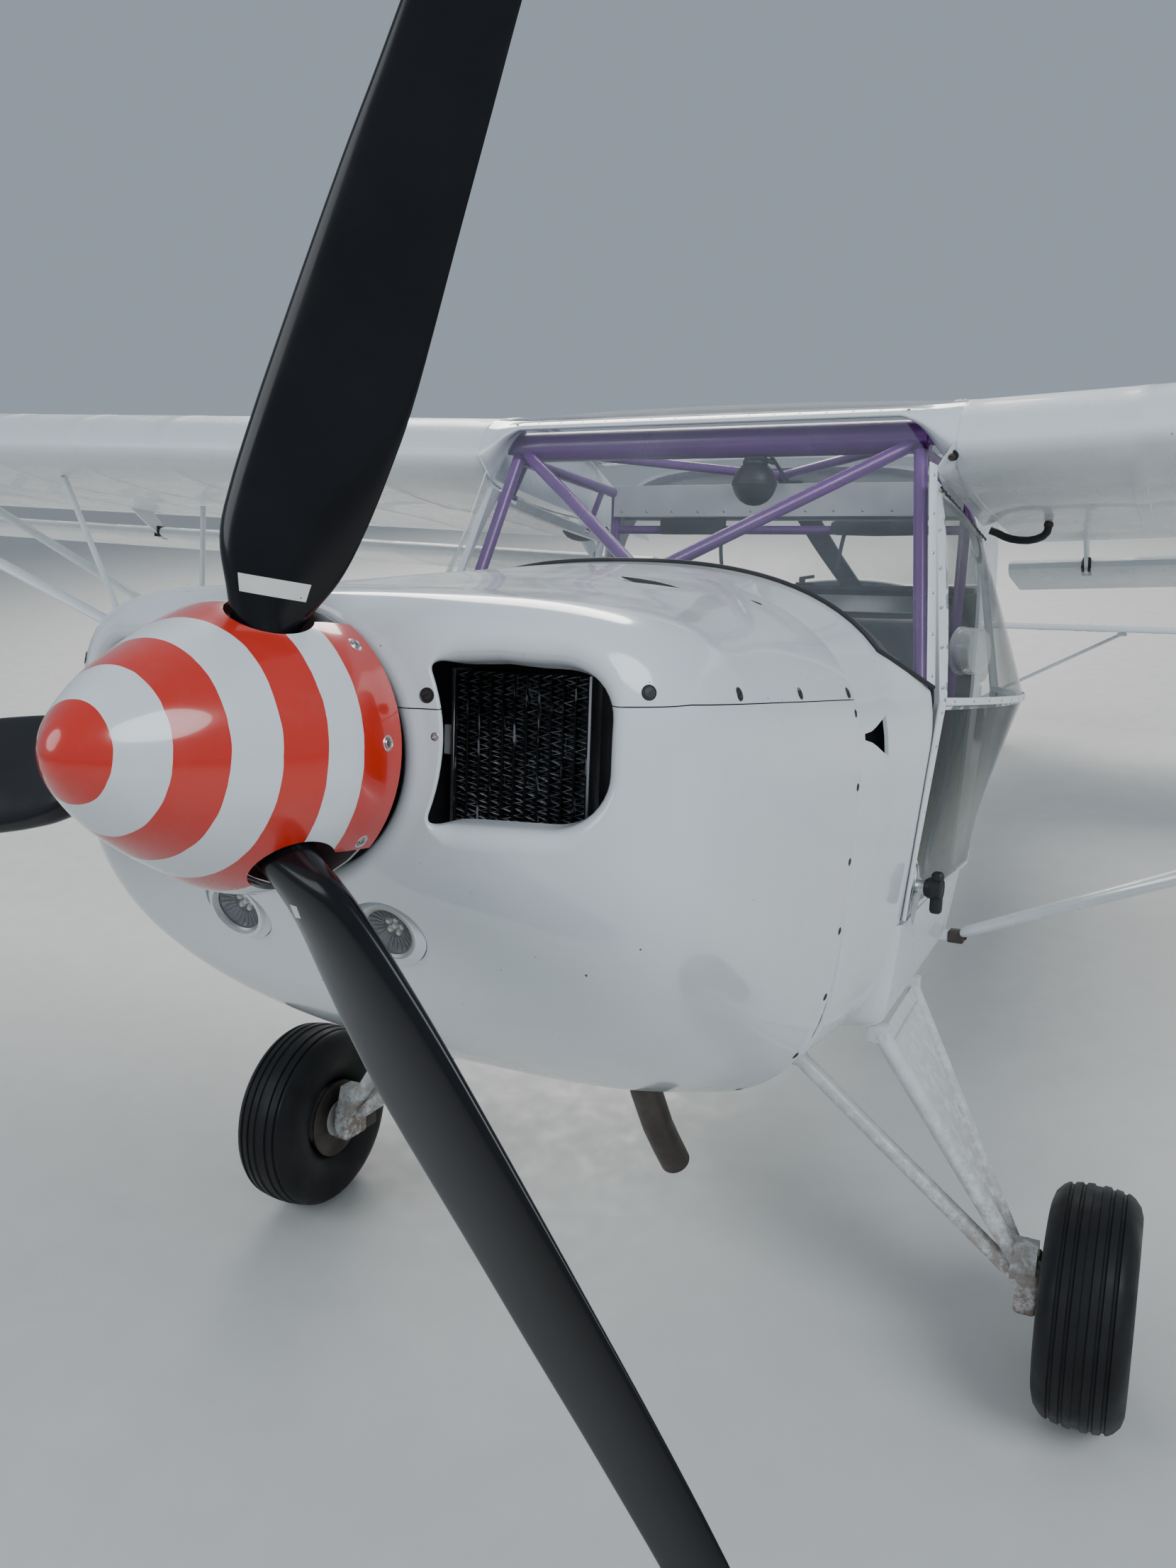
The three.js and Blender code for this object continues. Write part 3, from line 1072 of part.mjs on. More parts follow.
// Short fuel hoses from the wing roots into the cabin
function addFuelHoses() {
  for (const [side, name] of [[1, 'left'], [-1, 'right']]) {
    const route = [[580, 900, 420.5], [580, 902, 405], [566, 905, 390], [540, 906, 383], [508, 905, 385], [482, 902, 396], [458.5, 900, 404]];
    const curve = new THREE.CatmullRomCurve3(route.map(([x, y, z]) => new THREE.Vector3(side * x, y, z)));
    const section = new THREE.Shape().absarc(0, 0, 8, 0, 2 * Math.PI);
    const geometry = new THREE.ExtrudeGeometry(section, { steps: 8, curveSegments: 4, extrudePath: curve });
    const wing = loft(wingRings(side), 0).translate(0, 0, -gap);
    const body = solid(fuselageLoft(0).scale(1 + 2 * gap / 440, 1, 1));
    add(`fuel_hose_${name}`, solid(geometry).subtract(solid(wing)).subtract(body), look.rubber);
  }
}

addCowl();
addLamps();
addEngine();
addRadiators();
addExhaust();
addBootCowl();
addWindscreen();
addRoof();
addCabinFrame();
addInstrumentPanel();
addSeats();
addSticks();
addCompass();
addCabinTub();
addDoors();
addRearBody();
addFin();
addTailplane();
addTailBraces();
addTailwheel();
addWings();
addLiftStruts();
addGearLegs();
addShockStruts();
addFuelHoses();
addPropeller();
addWheels();
addRudder();
addElevator();
addFlaperons();

// Stand the aircraft on its wheels: nose up, centred over the origin, wheels on the ground plane
const parked = new THREE.Group();
parked.add(aircraft);
aircraft.rotation.x = -deckAngle;
parked.updateMatrixWorld(true);
const bounds = new THREE.Box3().setFromObject(parked, true);
aircraft.position.set(0, -(bounds.min.y + bounds.max.y) / 2, -bounds.min.z);
parked.updateMatrixWorld(true);

export default parked;
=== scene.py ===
"""A light aircraft on its wheels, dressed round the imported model. Shapes are made in the aircraft's own axes,
in millimetres, as in the part's source: +X towards the left wing tip, +Y aft, +Z up. STAND puts them in the
row frame, in metres."""
import math

import bmesh
import bpy
from mathutils import Matrix, Vector
from mathutils.bvhtree import BVHTree


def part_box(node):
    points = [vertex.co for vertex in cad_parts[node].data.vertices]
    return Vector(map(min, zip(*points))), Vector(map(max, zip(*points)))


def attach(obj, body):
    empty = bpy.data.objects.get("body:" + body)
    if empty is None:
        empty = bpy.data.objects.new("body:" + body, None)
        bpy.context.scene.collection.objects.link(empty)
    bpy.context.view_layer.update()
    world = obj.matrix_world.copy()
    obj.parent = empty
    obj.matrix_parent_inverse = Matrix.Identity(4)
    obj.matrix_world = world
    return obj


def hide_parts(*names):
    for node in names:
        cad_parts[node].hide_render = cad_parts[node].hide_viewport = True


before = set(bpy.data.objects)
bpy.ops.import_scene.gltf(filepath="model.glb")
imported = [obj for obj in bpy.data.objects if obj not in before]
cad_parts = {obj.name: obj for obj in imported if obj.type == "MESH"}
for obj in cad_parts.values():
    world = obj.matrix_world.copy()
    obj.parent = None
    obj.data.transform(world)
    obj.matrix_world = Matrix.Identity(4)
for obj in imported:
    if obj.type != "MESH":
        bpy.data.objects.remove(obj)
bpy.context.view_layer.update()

DECK_ANGLE = math.radians(11.5)
MAIN_HUB = Vector((818, 205, -945))
tyre_low, tyre_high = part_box("tyre_left")
LEAN = Matrix.Rotation(-DECK_ANGLE, 4, "X") @ Matrix.Scale(0.001, 4)
STAND = Matrix.Translation((tyre_low + tyre_high) / 2 - LEAN @ MAIN_HUB) @ LEAN
SIDES = ((1, "left"), (-1, "right"))
DIHEDRAL = math.tan(math.radians(2.5))
FIREWALL_Y, POST_Y, CABIN_REAR_Y = -190, 125, 865
RAY_START_Y = -1200  # ahead of the nose
SEAT_MIDDLE = 213
MERGE = 0.002  # points nearer than this are one point
QUARTER = math.pi / 2


# Ways to make a mesh

def only(piece):
    bpy.ops.object.select_all(action="DESELECT")
    piece.select_set(True)
    bpy.context.view_layer.objects.active = piece
    return piece


def new_piece(name):
    piece = bpy.context.object
    piece.name = piece.data.name = name
    return only(piece)


def in_edit_mode(piece, *steps):
    """Runs operators on the whole mesh in edit mode; a step is an operator and its settings."""
    only(piece)
    bpy.ops.object.mode_set(mode="EDIT")
    bpy.ops.mesh.select_all(action="SELECT")
    for operator, settings in steps:
        operator(**settings)
    bpy.ops.object.mode_set(mode="OBJECT")
    return piece


def outward(piece, inside=None):
    """Turns the faces away from a point inside, or away from the middle."""
    faces = piece.data.polygons
    if inside is None:
        inside = sum((f.center for f in faces), Vector()) / len(faces)
    if sum(f.normal.dot(f.center - inside) * f.area for f in faces) < 0:
        piece.data.flip_normals()
    return piece


def sealed(piece):
    """Merges the points that meet and turns every face outwards."""
    return in_edit_mode(piece, (bpy.ops.mesh.remove_doubles, {"threshold": MERGE}),
                        (bpy.ops.mesh.normals_make_consistent, {"inside": False}))


def lofted(name, rings, capped=True):
    """A circle extruded once for each ring to a straight tube, each ring then shaped and put in its place."""
    sides = len(rings[0])
    bpy.ops.object.select_all(action="DESELECT")
    bpy.ops.mesh.primitive_circle_add(vertices=sides, radius=1)
    piece = new_piece(name)
    extrude = bpy.ops.mesh.extrude_region_move if capped else bpy.ops.mesh.extrude_edges_move
    extrusions = [(extrude, {"TRANSFORM_OT_translate": {"value": (0, 0, 1)}})] * (len(rings) - 1)
    in_edit_mode(piece, *([(bpy.ops.mesh.edge_face_add, {})] if capped else []), *extrusions)
    first = piece.data.vertices[0].co.copy()
    start, step = math.atan2(first.y, first.x), 2 * math.pi / sides
    for vertex in piece.data.vertices:
        column = round((math.atan2(vertex.co.y, vertex.co.x) - start) / step) % sides
        vertex.co = rings[round(vertex.co.z)][column]
    piece.data.update()
    return sealed(piece) if capped else outward(piece)


def gridded(name, rows, wall, inside=(0, 300, 0)):
    """A grid whose points are put in rows, with a wall on the side that faces the inside point."""
    count, length = len(rows), len(rows[0])
    bpy.ops.object.select_all(action="DESELECT")
    bpy.ops.mesh.primitive_grid_add(x_subdivisions=length - 1, y_subdivisions=count - 1, size=2)
    piece = new_piece(name)
    for vertex in piece.data.vertices:
        row = round((vertex.co.y + 1) / 2 * (count - 1))
        column = round((vertex.co.x + 1) / 2 * (length - 1))
        vertex.co = rows[row][column]
    piece.data.update()
    outward(piece, Vector(inside))
    return modified(piece, "SOLIDIFY", thickness=wall, offset=-1)


def modified(piece, kind, **settings):
    only(piece)
    modifier = piece.modifiers.new(kind.title(), kind)
    for key, value in settings.items():
        setattr(modifier, key, value)
    bpy.ops.object.modifier_apply(modifier=modifier.name)
    return piece


def combined(piece, tool, operation="DIFFERENCE"):
    modified(piece, "BOOLEAN", object=tool, operation=operation, solver="EXACT")
    bpy.data.objects.remove(tool)
    return piece


def prism(axis, outline, low, high):
    """An outline pushed along an axis: (y, z) points along x, (x, z) along y and (x, y) along z."""
    at = "xyz".index(axis)
    return lofted("prism", [[(*point[:at], w, *point[at:]) for point in outline] for w in (low, high)])


def block(name, low, high, bevel, segments=2):
    """A cube at its size and place, with its edges rounded."""
    low, high = [Vector(map(f, low, high)) for f in (min, max)]
    bpy.ops.object.select_all(action="DESELECT")
    bpy.ops.mesh.primitive_cube_add(size=1, location=(low + high) / 2, scale=high - low)
    piece = new_piece(name)
    bpy.ops.object.transform_apply()
    if bevel:
        in_edit_mode(piece, (bpy.ops.mesh.bevel, {"offset": bevel, "segments": segments}))
    return piece


def turned(name, profile, sides, place=Matrix()):
    """A profile of (radius, height) points turned about an upright axis, then put in its place."""
    rings = [[(r * math.cos(a), r * math.sin(a), h) for a in (2 * math.pi * i / sides for i in range(sides))]
             for r, h in profile]
    piece = sealed(lofted(name, rings, capped=False))
    piece.data.transform(place)
    return piece


def placed(x, y, z, turn=0.0, axis="Y"):
    """A place, turned about one axis; a quarter turn about Y lays an upright axis across the aircraft."""
    return Matrix.Translation((x, y, z)) @ Matrix.Rotation(turn, 4, axis)


def rod(name, radius, low, high, sides, place=Matrix()):
    """A plain round rod between two heights on its own axis."""
    return turned(name, [(0, low), (radius, low), (radius, high), (0, high)], sides, place)


def washer(inner, outer, low, high):
    """The closed profile of a flat ring or bush."""
    return [(inner, low), (outer, low), (outer, high), (inner, high), (inner, low)]


def tube(name, points, width, depth=None, sides=14, widths=None):
    """A round tube along points; depth is its size along the aircraft where the tube is oval."""
    points = [Vector(p) for p in points]
    rings = []
    aft = Vector((0, 1, 0)) if abs((points[-1] - points[0]).normalized().y) < 0.9 else Vector((1, 0, 0))
    for i, point in enumerate(points):
        along = (points[min(i + 1, len(points) - 1)] - points[max(i - 1, 0)]).normalized()
        aft = (aft - along * aft.dot(along)).normalized()
        across = along.cross(aft)
        half = (widths[i] if widths else 1) / 2
        u, v = across * width * half, aft * (depth or width) * half
        rings.append([point + u * math.cos(a) + v * math.sin(a)
                      for a in (2 * math.pi * k / sides for k in range(sides))])
    return lofted(name, rings)


def bar(name, start, end, width, depth=None, sides=16):
    """A straight tube with slightly rounded ends."""
    start, end = Vector(start), Vector(end)
    step = (end - start).normalized() * width * 0.175
    return tube(name, [start, start + step * 0.3, start + step, end - step, end - step * 0.3, end],
                width, depth, sides, widths=(0.7, 0.9, 1, 1, 0.9, 0.7))


def eased(table, steps):
    """More rows between the rows of a table, on a smooth curve through all of them."""
    rows, last = [], len(table) - 1
    for i in range(last):
        a, b, c, d = (table[max(0, min(last, i + k))] for k in (-1, 0, 1, 2))
        for t in (step / steps for step in range(steps)):
            rows.append([0.5 * (2 * q + (r - p) * t + (2 * p - 5 * q + 4 * r - s) * t * t
                                + (3 * q - p - 3 * r + s) * t ** 3) for p, q, r, s in zip(a, b, c, d)])
    return rows + [list(table[-1])]


def between(start, end, steps):
    """Points at even steps from one point to another."""
    return [Vector(start).lerp(Vector(end), k / steps) for k in range(steps + 1)]


def ruled(first, last, steps):
    """Rows of points at even steps from one edge to another."""
    return [[Vector(a).lerp(Vector(b), k / steps) for a, b in zip(first, last)] for k in range(steps + 1)]


def sided(side, points):
    """Points given for the left side, as they are there or mirrored on the right."""
    return [Vector((side * x, y, z)) for x, y, z in points]


def evenly(loop, count):
    """Points at even steps round a closed loop, from its first point."""
    loop = [Vector(p) for p in loop]
    loop.append(loop[0])
    reach = [0.0]
    for a, b in zip(loop, loop[1:]):
        reach.append(reach[-1] + (b - a).length)
    points, k = [], 0
    for i in range(count):
        goal = reach[-1] * i / count
        while reach[k + 1] < goal:
            k += 1
        points.append(loop[k].lerp(loop[k + 1], (goal - reach[k]) / max(reach[k + 1] - reach[k], 1e-9)))
    return points


def joined(name, pieces):
    only(pieces[0])
    for piece in pieces[1:]:
        piece.select_set(True)
    bpy.ops.object.join()
    return new_piece(name)


def copied(piece, name, matrix=Matrix()):
    """A copy with its own mesh, moved, turned or mirrored in the mesh."""
    copy = bpy.data.objects.new(name, piece.data.copy())
    bpy.context.scene.collection.objects.link(copy)
    copy.data.transform(matrix)
    if matrix.determinant() < 0:
        copy.data.flip_normals()
    return copy


MIRROR = Matrix.Scale(-1, 4, (1, 0, 0))


def scattered(name, pattern, places):
    """Copies of a small piece that stands on +Z, one on each point and turned to its normal, as one mesh."""
    shape = bmesh.new()
    for point, normal in places:
        copy = pattern.data.copy()
        turn = Vector(normal).to_track_quat("Z", "Y").to_matrix().to_4x4()
        copy.transform(Matrix.Translation(Vector(point)) @ turn)
        shape.from_mesh(copy)
        bpy.data.meshes.remove(copy)
    piece = copied(pattern, name)
    shape.to_mesh(piece.data)
    shape.free()
    bpy.data.objects.remove(pattern)
    return piece


def finished(piece, look, stands_for="", body="airframe", slot="", angle=38):
    """Stands a piece on the ground with the aircraft, paints and smooths it, and lets it ride on its body."""
    piece.data.materials.clear()
    piece.data.materials.append(look)
    piece.data.transform(STAND)
    only(piece)
    bpy.ops.object.shade_smooth_by_angle(angle=math.radians(angle))
    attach(piece, body)
    slot or SLOTS[look.name]
    if stands_for:
        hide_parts(stands_for)
    return piece


def skin_of(piece):
    tree = BVHTree.FromPolygons([v.co for v in piece.data.vertices],
                                [p.vertices for p in piece.data.polygons])

    def hit(origin, direction):
        point, normal, _, _ = tree.ray_cast(Vector(origin), Vector(direction).normalized())
        return point, normal if normal is None or normal.dot(Vector(direction)) < 0 else -normal
    return hit


# Materials

class Look:
    """One finish, made of shader nodes that read Object coordinates."""

    def __init__(self, name, colour, roughness, **sockets):
        self.material = bpy.data.materials.new(name)
        self.material.use_nodes = True
        self.tree = self.material.node_tree
        self.shader = self.tree.nodes["Principled BSDF"]
        self.place = self.tree.nodes.new("ShaderNodeTexCoord").outputs["Object"]
        self.set("Base Color", colour)
        self.set("Roughness", roughness)
        for key, value in sockets.items():
            self.set(key.replace("_", " ").title().replace("Ior", "IOR"), value)

    def set(self, socket, value):
        target = self.shader.inputs[socket]
        if isinstance(value, bpy.types.NodeSocket):
            self.tree.links.new(value, target)
        else:
            target.default_value = (*value, 1) if isinstance(value, tuple) and len(value) == 3 else value
        return self

    def node(self, kind, inputs, output=0, **settings):
        made = self.tree.nodes.new("ShaderNode" + kind)
        for key, value in settings.items():
            setattr(made, key, value)
        for key, value in inputs.items():
            if isinstance(value, bpy.types.NodeSocket):
                self.tree.links.new(value, made.inputs[key])
            else:
                made.inputs[key].default_value = value
        return made.outputs[output]

    def stretched(self, scale):
        return self.node("Mapping", {"Vector": self.place, "Scale": scale})

    def noise(self, scale, detail, place=None, rough=0.5):
        return self.node("TexNoise", {"Vector": place or self.place, "Scale": scale, "Detail": detail,
                                      "Roughness": rough})

    def steps(self, factor, *stops, kind="LINEAR"):
        """A colour ramp; a stop is a place and a grey or a colour."""
        made = self.tree.nodes.new("ShaderNodeValToRGB")
        made.color_ramp.interpolation = kind
        elements = made.color_ramp.elements
        while len(elements) < len(stops):
            elements.new(1)
        for element, (position, colour) in zip(elements, stops):
            element.position = position
            element.color = (*colour, 1) if isinstance(colour, tuple) else (colour, colour, colour, 1)
        self.tree.links.new(factor, made.inputs["Fac"])
        return made.outputs["Color"]

    def mixed(self, factor, first, second):
        made = self.tree.nodes.new("ShaderNodeMix")
        made.data_type = "RGBA"
        for socket, value in zip((made.inputs[0], made.inputs[6], made.inputs[7]), (factor, first, second)):
            if isinstance(value, bpy.types.NodeSocket):
                self.tree.links.new(value, socket)
            else:
                socket.default_value = (*value, 1) if isinstance(value, tuple) else value
        return made.outputs[2]

    def maths(self, operation, first, second):
        return self.node("Math", {0: first, 1: second}, operation=operation)

    def specks(self, scale, size, share):
        """Small dots in a share of the cells of a grid with no order."""
        cells = self.tree.nodes.new("ShaderNodeTexVoronoi")
        cells.inputs["Scale"].default_value = scale
        shift = self.node("VectorMath", {0: self.coloured_noise(scale * 3), 1: (0.4 / scale,) * 3},
                          operation="MULTIPLY")
        self.tree.links.new(self.node("VectorMath", {0: self.place, 1: shift}), cells.inputs["Vector"])
        dot = self.maths("LESS_THAN", cells.outputs["Distance"], size)
        chosen = self.maths("LESS_THAN", self.node("SeparateColor", {0: cells.outputs["Color"]}), share)
        return self.maths("MULTIPLY", dot, chosen)

    def coloured_noise(self, scale):
        return self.node("TexNoise", {"Vector": self.place, "Scale": scale, "Detail": 2}, output=1)

    def bumped(self, height, distance, strength):
        self.set("Normal", self.node("Bump", {"Height": height, "Distance": distance, "Strength": strength}))
        return self


def white_paint(name, roughness, coat, dirt=0.05, weave=0.0):
    """Glossy white paint: faint colour drift, tiny specks of dirt and insects, and orange peel or weave."""
    look = Look(name, (0.74, 0.78, 0.80), roughness, coat_weight=coat, coat_roughness=0.04)
    drift = look.steps(look.noise(1.7, 4), (0.3, (0.70, 0.755, 0.785)), (0.7, (0.78, 0.81, 0.82)))
    smudged = look.mixed(look.steps(look.noise(9, 6, rough=0.65), (0.58, 0.0), (0.8, 0.22)), drift,
                         (0.56, 0.56, 0.52))
    spotted = look.mixed(look.specks(34, 0.045, dirt * 3), smudged, (0.06, 0.05, 0.045))
    look.set("Base Color", look.mixed(look.specks(90, 0.07, dirt), spotted, (0.10, 0.08, 0.06)))
    look.set("Roughness", look.steps(look.noise(12, 4), (0.35, roughness * 0.8), (0.75, roughness * 1.5)))
    if weave:
        wave = [look.node("TexWave", {"Vector": look.place, "Scale": weave, "Distortion": 0.4}, output=1,
                          bands_direction=axis) for axis in "XY"]
        look.bumped(look.maths("ADD", *wave), 0.0002, 0.35)
    else:
        look.bumped(look.noise(260, 2), 0.0002, 0.12)
    return look.material


COWL_WHITE = white_paint("cowl_white_paint", 0.16, 0.6)
FABRIC_WHITE = white_paint("painted_fabric_white", 0.3, 0.25, 0.02, 500)
TRIM_WHITE = white_paint("trim_white_paint", 0.28, 0.3)


def gear_paint():
    """White paint with mud specks, thick and rusty near the axle and sparse higher up."""
    look = Look("gear_white_paint", (0.72, 0.74, 0.74), 0.32, coat_weight=0.2)
    height = look.node("SeparateXYZ", {0: look.place}, output=2)
    low = look.steps(height, (0.15, 1.0), (0.34, 0.35), (0.62, 0.08))
    mud = look.maths("MULTIPLY", look.steps(look.noise(38, 8, rough=0.7), (0.38, 0.0), (0.54, 1.0)), low)
    specks = look.maths("MULTIPLY", look.specks(210, 0.16, 0.55), look.steps(height, (0.2, 1.0), (0.7, 0.25)))
    stained = look.mixed(mud, (0.72, 0.745, 0.75), (0.20, 0.12, 0.065))
    look.set("Base Color", look.mixed(specks, stained, (0.10, 0.07, 0.05)))
    look.set("Roughness", look.steps(mud, (0.0, 0.28), (0.6, 0.85)))
    return look.bumped(mud, 0.0006, 0.5).material


GEAR_WHITE = gear_paint()

# The propeller's axes: its Y runs aft along the shaft from the spinner's rim
SHAFT = {"x": -2.5, "y": -905, "z": 43.5, "pitch": math.radians(3.1), "yaw": math.radians(-0.4)}
SPINNER_PROFILE = [(0, 157), (-61, 155.5), (-104, 146), (-148, 127), (-193, 105), (-237, 79), (-277, 47.5),
                   (-297, 24), (-307, 0.0)]
SHAFT_PLACE = (placed(SHAFT["x"], SHAFT["y"], SHAFT["z"], -SHAFT["pitch"], "X")
               @ Matrix.Rotation(SHAFT["yaw"], 4, "Z"))
BLADE_ANGLES = (69, -51, -171)
BLADE_PLANE = -87
RED, RING_WHITE = (0.60, 0.025, 0.012), (0.72, 0.76, 0.78)


def spinner_paint():
    """Red and white rings round the shaft, with edges as uneven as masking tape leaves them."""
    look = Look("spinner_rings", RED, 0.18, coat_weight=0.7, coat_roughness=0.03)
    rim = STAND @ SHAFT_PLACE @ Vector((0, 0, 0))
    tip = STAND @ SHAFT_PLACE @ Vector((0, -307, 0))
    ahead = (tip - rim).normalized()
    from_rim = look.node("VectorMath", {0: look.place, 1: rim}, operation="SUBTRACT")
    along = look.node("VectorMath", {0: from_rim, 1: ahead}, output=1, operation="DOT_PRODUCT")
    wavy = look.maths("ADD", look.maths("MULTIPLY", along, 1 / 0.307),
                      look.maths("MULTIPLY", look.noise(26, 2), 0.012))
    rings = [(0.0, RED), (0.205, RING_WHITE), (0.345, RED), (0.488, RING_WHITE), (0.635, RED),
             (0.778, RING_WHITE), (0.908, RED)]
    colour = look.steps(wavy, *rings, kind="CONSTANT")
    dulled = look.mixed(look.steps(look.noise(14, 6, rough=0.7), (0.5, 0.0), (0.85, 0.18)), colour,
                        (0.28, 0.22, 0.2))
    look.set("Base Color", look.mixed(look.specks(60, 0.05, 0.08), dulled, (0.07, 0.05, 0.04)))
    look.set("Roughness", look.steps(look.noise(20, 4), (0.3, 0.14), (0.8, 0.3)))
    return look.bumped(look.noise(300, 2), 0.0002, 0.12).material


SPINNER_RINGS = spinner_paint()


def plain(name, colour, roughness, grain, spread=0.25, stretch=(1, 1, 1), **sockets):
    """A finish whose colour and gloss drift a little, with a grain of a scale, a depth and a strength."""
    look = Look(name, colour, roughness, **sockets)
    place = look.stretched(stretch)
    darker, lighter = (tuple(min(1.0, c * k) for c in colour) for k in (1 - spread, 1 + spread))
    look.set("Base Color", look.steps(look.noise(7, 5, place, 0.6), (0.3, darker), (0.7, lighter)))
    look.set("Roughness", look.steps(look.noise(16, 4, place), (0.3, roughness * 0.75),
                                     (0.75, min(1, roughness * 1.3))))
    return look.bumped(look.noise(grain[0], 3, place), grain[1], grain[2]).material


BLADE_BLACK = plain("blade_black", (0.006, 0.006, 0.0075), 0.2, (40, 0.0002, 0.1), specular_ior_level=0.25,
                    coat_weight=0.12, coat_roughness=0.06)
TYRE_RUBBER = plain("tyre_rubber", (0.011, 0.011, 0.012), 0.5, (240, 0.0004, 0.4), 0.4,
                    specular_ior_level=0.25)
SOFT_RUBBER = plain("seal_rubber", (0.02, 0.02, 0.022), 0.55, (300, 0.0002, 0.3))
BLACK_PLASTIC = plain("black_plastic", (0.018, 0.018, 0.02), 0.5, (420, 0.0003, 0.4))
ALLOY = plain("bare_alloy", (0.58, 0.59, 0.60), 0.34, (160, 0.0001, 0.2), 0.12, (1, 6, 1), metallic=1.0)
ZINC = plain("zinc_screws", (0.40, 0.39, 0.37), 0.34, (200, 0.0002, 0.3), metallic=1.0)
STEEL = plain("exhaust_steel", (0.10, 0.085, 0.075), 0.55, (120, 0.0005, 0.5), 0.5, metallic=0.9)
PURPLE = plain("purple_tube_paint", (0.15, 0.035, 0.23), 0.33, (180, 0.0002, 0.2), 0.15, coat_weight=0.3)
DARK_CLOTH = plain("dark_seat_cloth", (0.028, 0.03, 0.036), 0.9, (700, 0.0006, 0.6), 0.3, sheen_weight=0.3)
FIN_BLACK = plain("radiator_fins", (0.05, 0.05, 0.052), 0.42, (900, 0.0004, 0.6), 0.9, (3, 1, 0.35),
                  metallic=0.7)


def painted_glints(name, dark, glint_colour, scale, low, high, stretch=(1, 1, 1)):
    """Dark metal with bare edges and painted highlights: its colour turns bright in patches where those edges
    would glint.
    """
    look = Look(name, dark, 0.35, metallic=0.25)
    patches = look.steps(look.noise(38, 5, rough=0.7), (0.40, 0.4), (0.60, 1.0))
    glint_spots = look.steps(look.noise(scale, 3, look.stretched(stretch)), (low, 0.0), (high, 1.0))
    look.set("Base Color", look.mixed(look.maths("MULTIPLY", patches, glint_spots), dark, glint_colour))
    look.set("Roughness", look.steps(glint_spots, (0.0, 0.6), (1.0, 0.28)))
    return look.bumped(look.noise(600, 2), 0.0002, 0.4).material


# Painted highlights: bright bluish patches in the colour of the radiator's fin and tube edges stand for their
# glints
FIN_EDGE_GLINTS = painted_glints("radiator_fin_edge_glints", (0.035, 0.035, 0.04), (0.95, 0.97, 1.0), 170, 0.36, 0.56)
TUBE_EDGE_GLINTS = painted_glints("radiator_tube_edge_glints", (0.012, 0.012, 0.014), (0.5, 0.53, 0.58), 90, 0.60, 0.66,
                     (1, 1, 0.3))
LAMP_DARK = plain("lamp_reflector", (0.13, 0.14, 0.15), 0.25, (300, 0.0001, 0.2), 0.3, metallic=0.9)
LAMP_BULB = plain("lamp_bulbs", (0.75, 0.76, 0.70), 0.12, (300, 0.0001, 0.1), 0.1)
GREY_PANEL = plain("grey_sheet_panel", (0.55, 0.57, 0.59), 0.5, (200, 0.0002, 0.2), 0.12)
RIM_WHITE = plain("rim_paint", (0.52, 0.53, 0.52), 0.42, (120, 0.0004, 0.4), 0.35)
LABEL = plain("blank_label", (0.72, 0.72, 0.68), 0.4, (200, 0.0001, 0.2), 0.1)
RED_TAPE = plain("red_tape", (0.55, 0.06, 0.05), 0.45, (200, 0.0001, 0.2), 0.2)


def clear_sheet(name, tint, thin, edge):
    """Clear plastic that turns pale and glossy where it is seen at a low angle."""
    look = Look(name, tint, 0.04, specular_ior_level=0.8)
    facing = look.node("LayerWeight", {"Blend": 0.4}, output=1)
    haze = look.steps(look.noise(5, 5, rough=0.65), (0.45, 0.0), (0.85, 0.05))
    look.set("Alpha", look.maths("ADD", look.steps(facing, (0.0, thin), (0.55, thin * 1.5), (1.0, edge)),
                                 haze))
    look.set("Roughness", look.steps(look.noise(18, 5), (0.3, 0.03), (0.8, 0.12)))
    return look.bumped(look.noise(3.0, 1), 0.002, 0.15).material


LAMP_GLASS = clear_sheet("lamp_glass", (0.6, 0.62, 0.64), 0.08, 0.5)
WINDSCREEN_CLEAR = clear_sheet("windscreen_sheet", (0.46, 0.50, 0.55), 0.05, 0.62)
DOOR_CLEAR = clear_sheet("door_window_sheet", (0.16, 0.18, 0.17), 0.12, 0.6)
PANE_CLEAR = clear_sheet("door_pane_sheet", (0.03, 0.045, 0.04), 0.42, 0.75)
VENT_CLEAR = clear_sheet("vent_cup", (0.62, 0.65, 0.62), 0.17, 1.0)

# The slot named for each finish; some pieces name another
SLOTS = {look.name: slot for slot, looks in {
    "white_paint": (COWL_WHITE, FABRIC_WHITE, TRIM_WHITE, GEAR_WHITE, GREY_PANEL, LABEL),
    "bare_alloy": (ALLOY, ZINC, RIM_WHITE, FIN_EDGE_GLINTS, LAMP_DARK),
    "black_plastic": (BLACK_PLASTIC, FIN_BLACK, TUBE_EDGE_GLINTS),
    "clear_sheet": (LAMP_BULB, LAMP_GLASS, WINDSCREEN_CLEAR, DOOR_CLEAR, PANE_CLEAR, VENT_CLEAR),
    "red_white_spinner": (SPINNER_RINGS, RED_TAPE),
    "rubber": (SOFT_RUBBER,),
    "steel": (STEEL,),
    "dark_cloth": (DARK_CLOTH,),
    "purple_tube": (PURPLE,),
    "black_blade": (BLADE_BLACK,),
    "tyre": (TYRE_RUBBER,),
}.items() for look in looks}


# Engine cowl

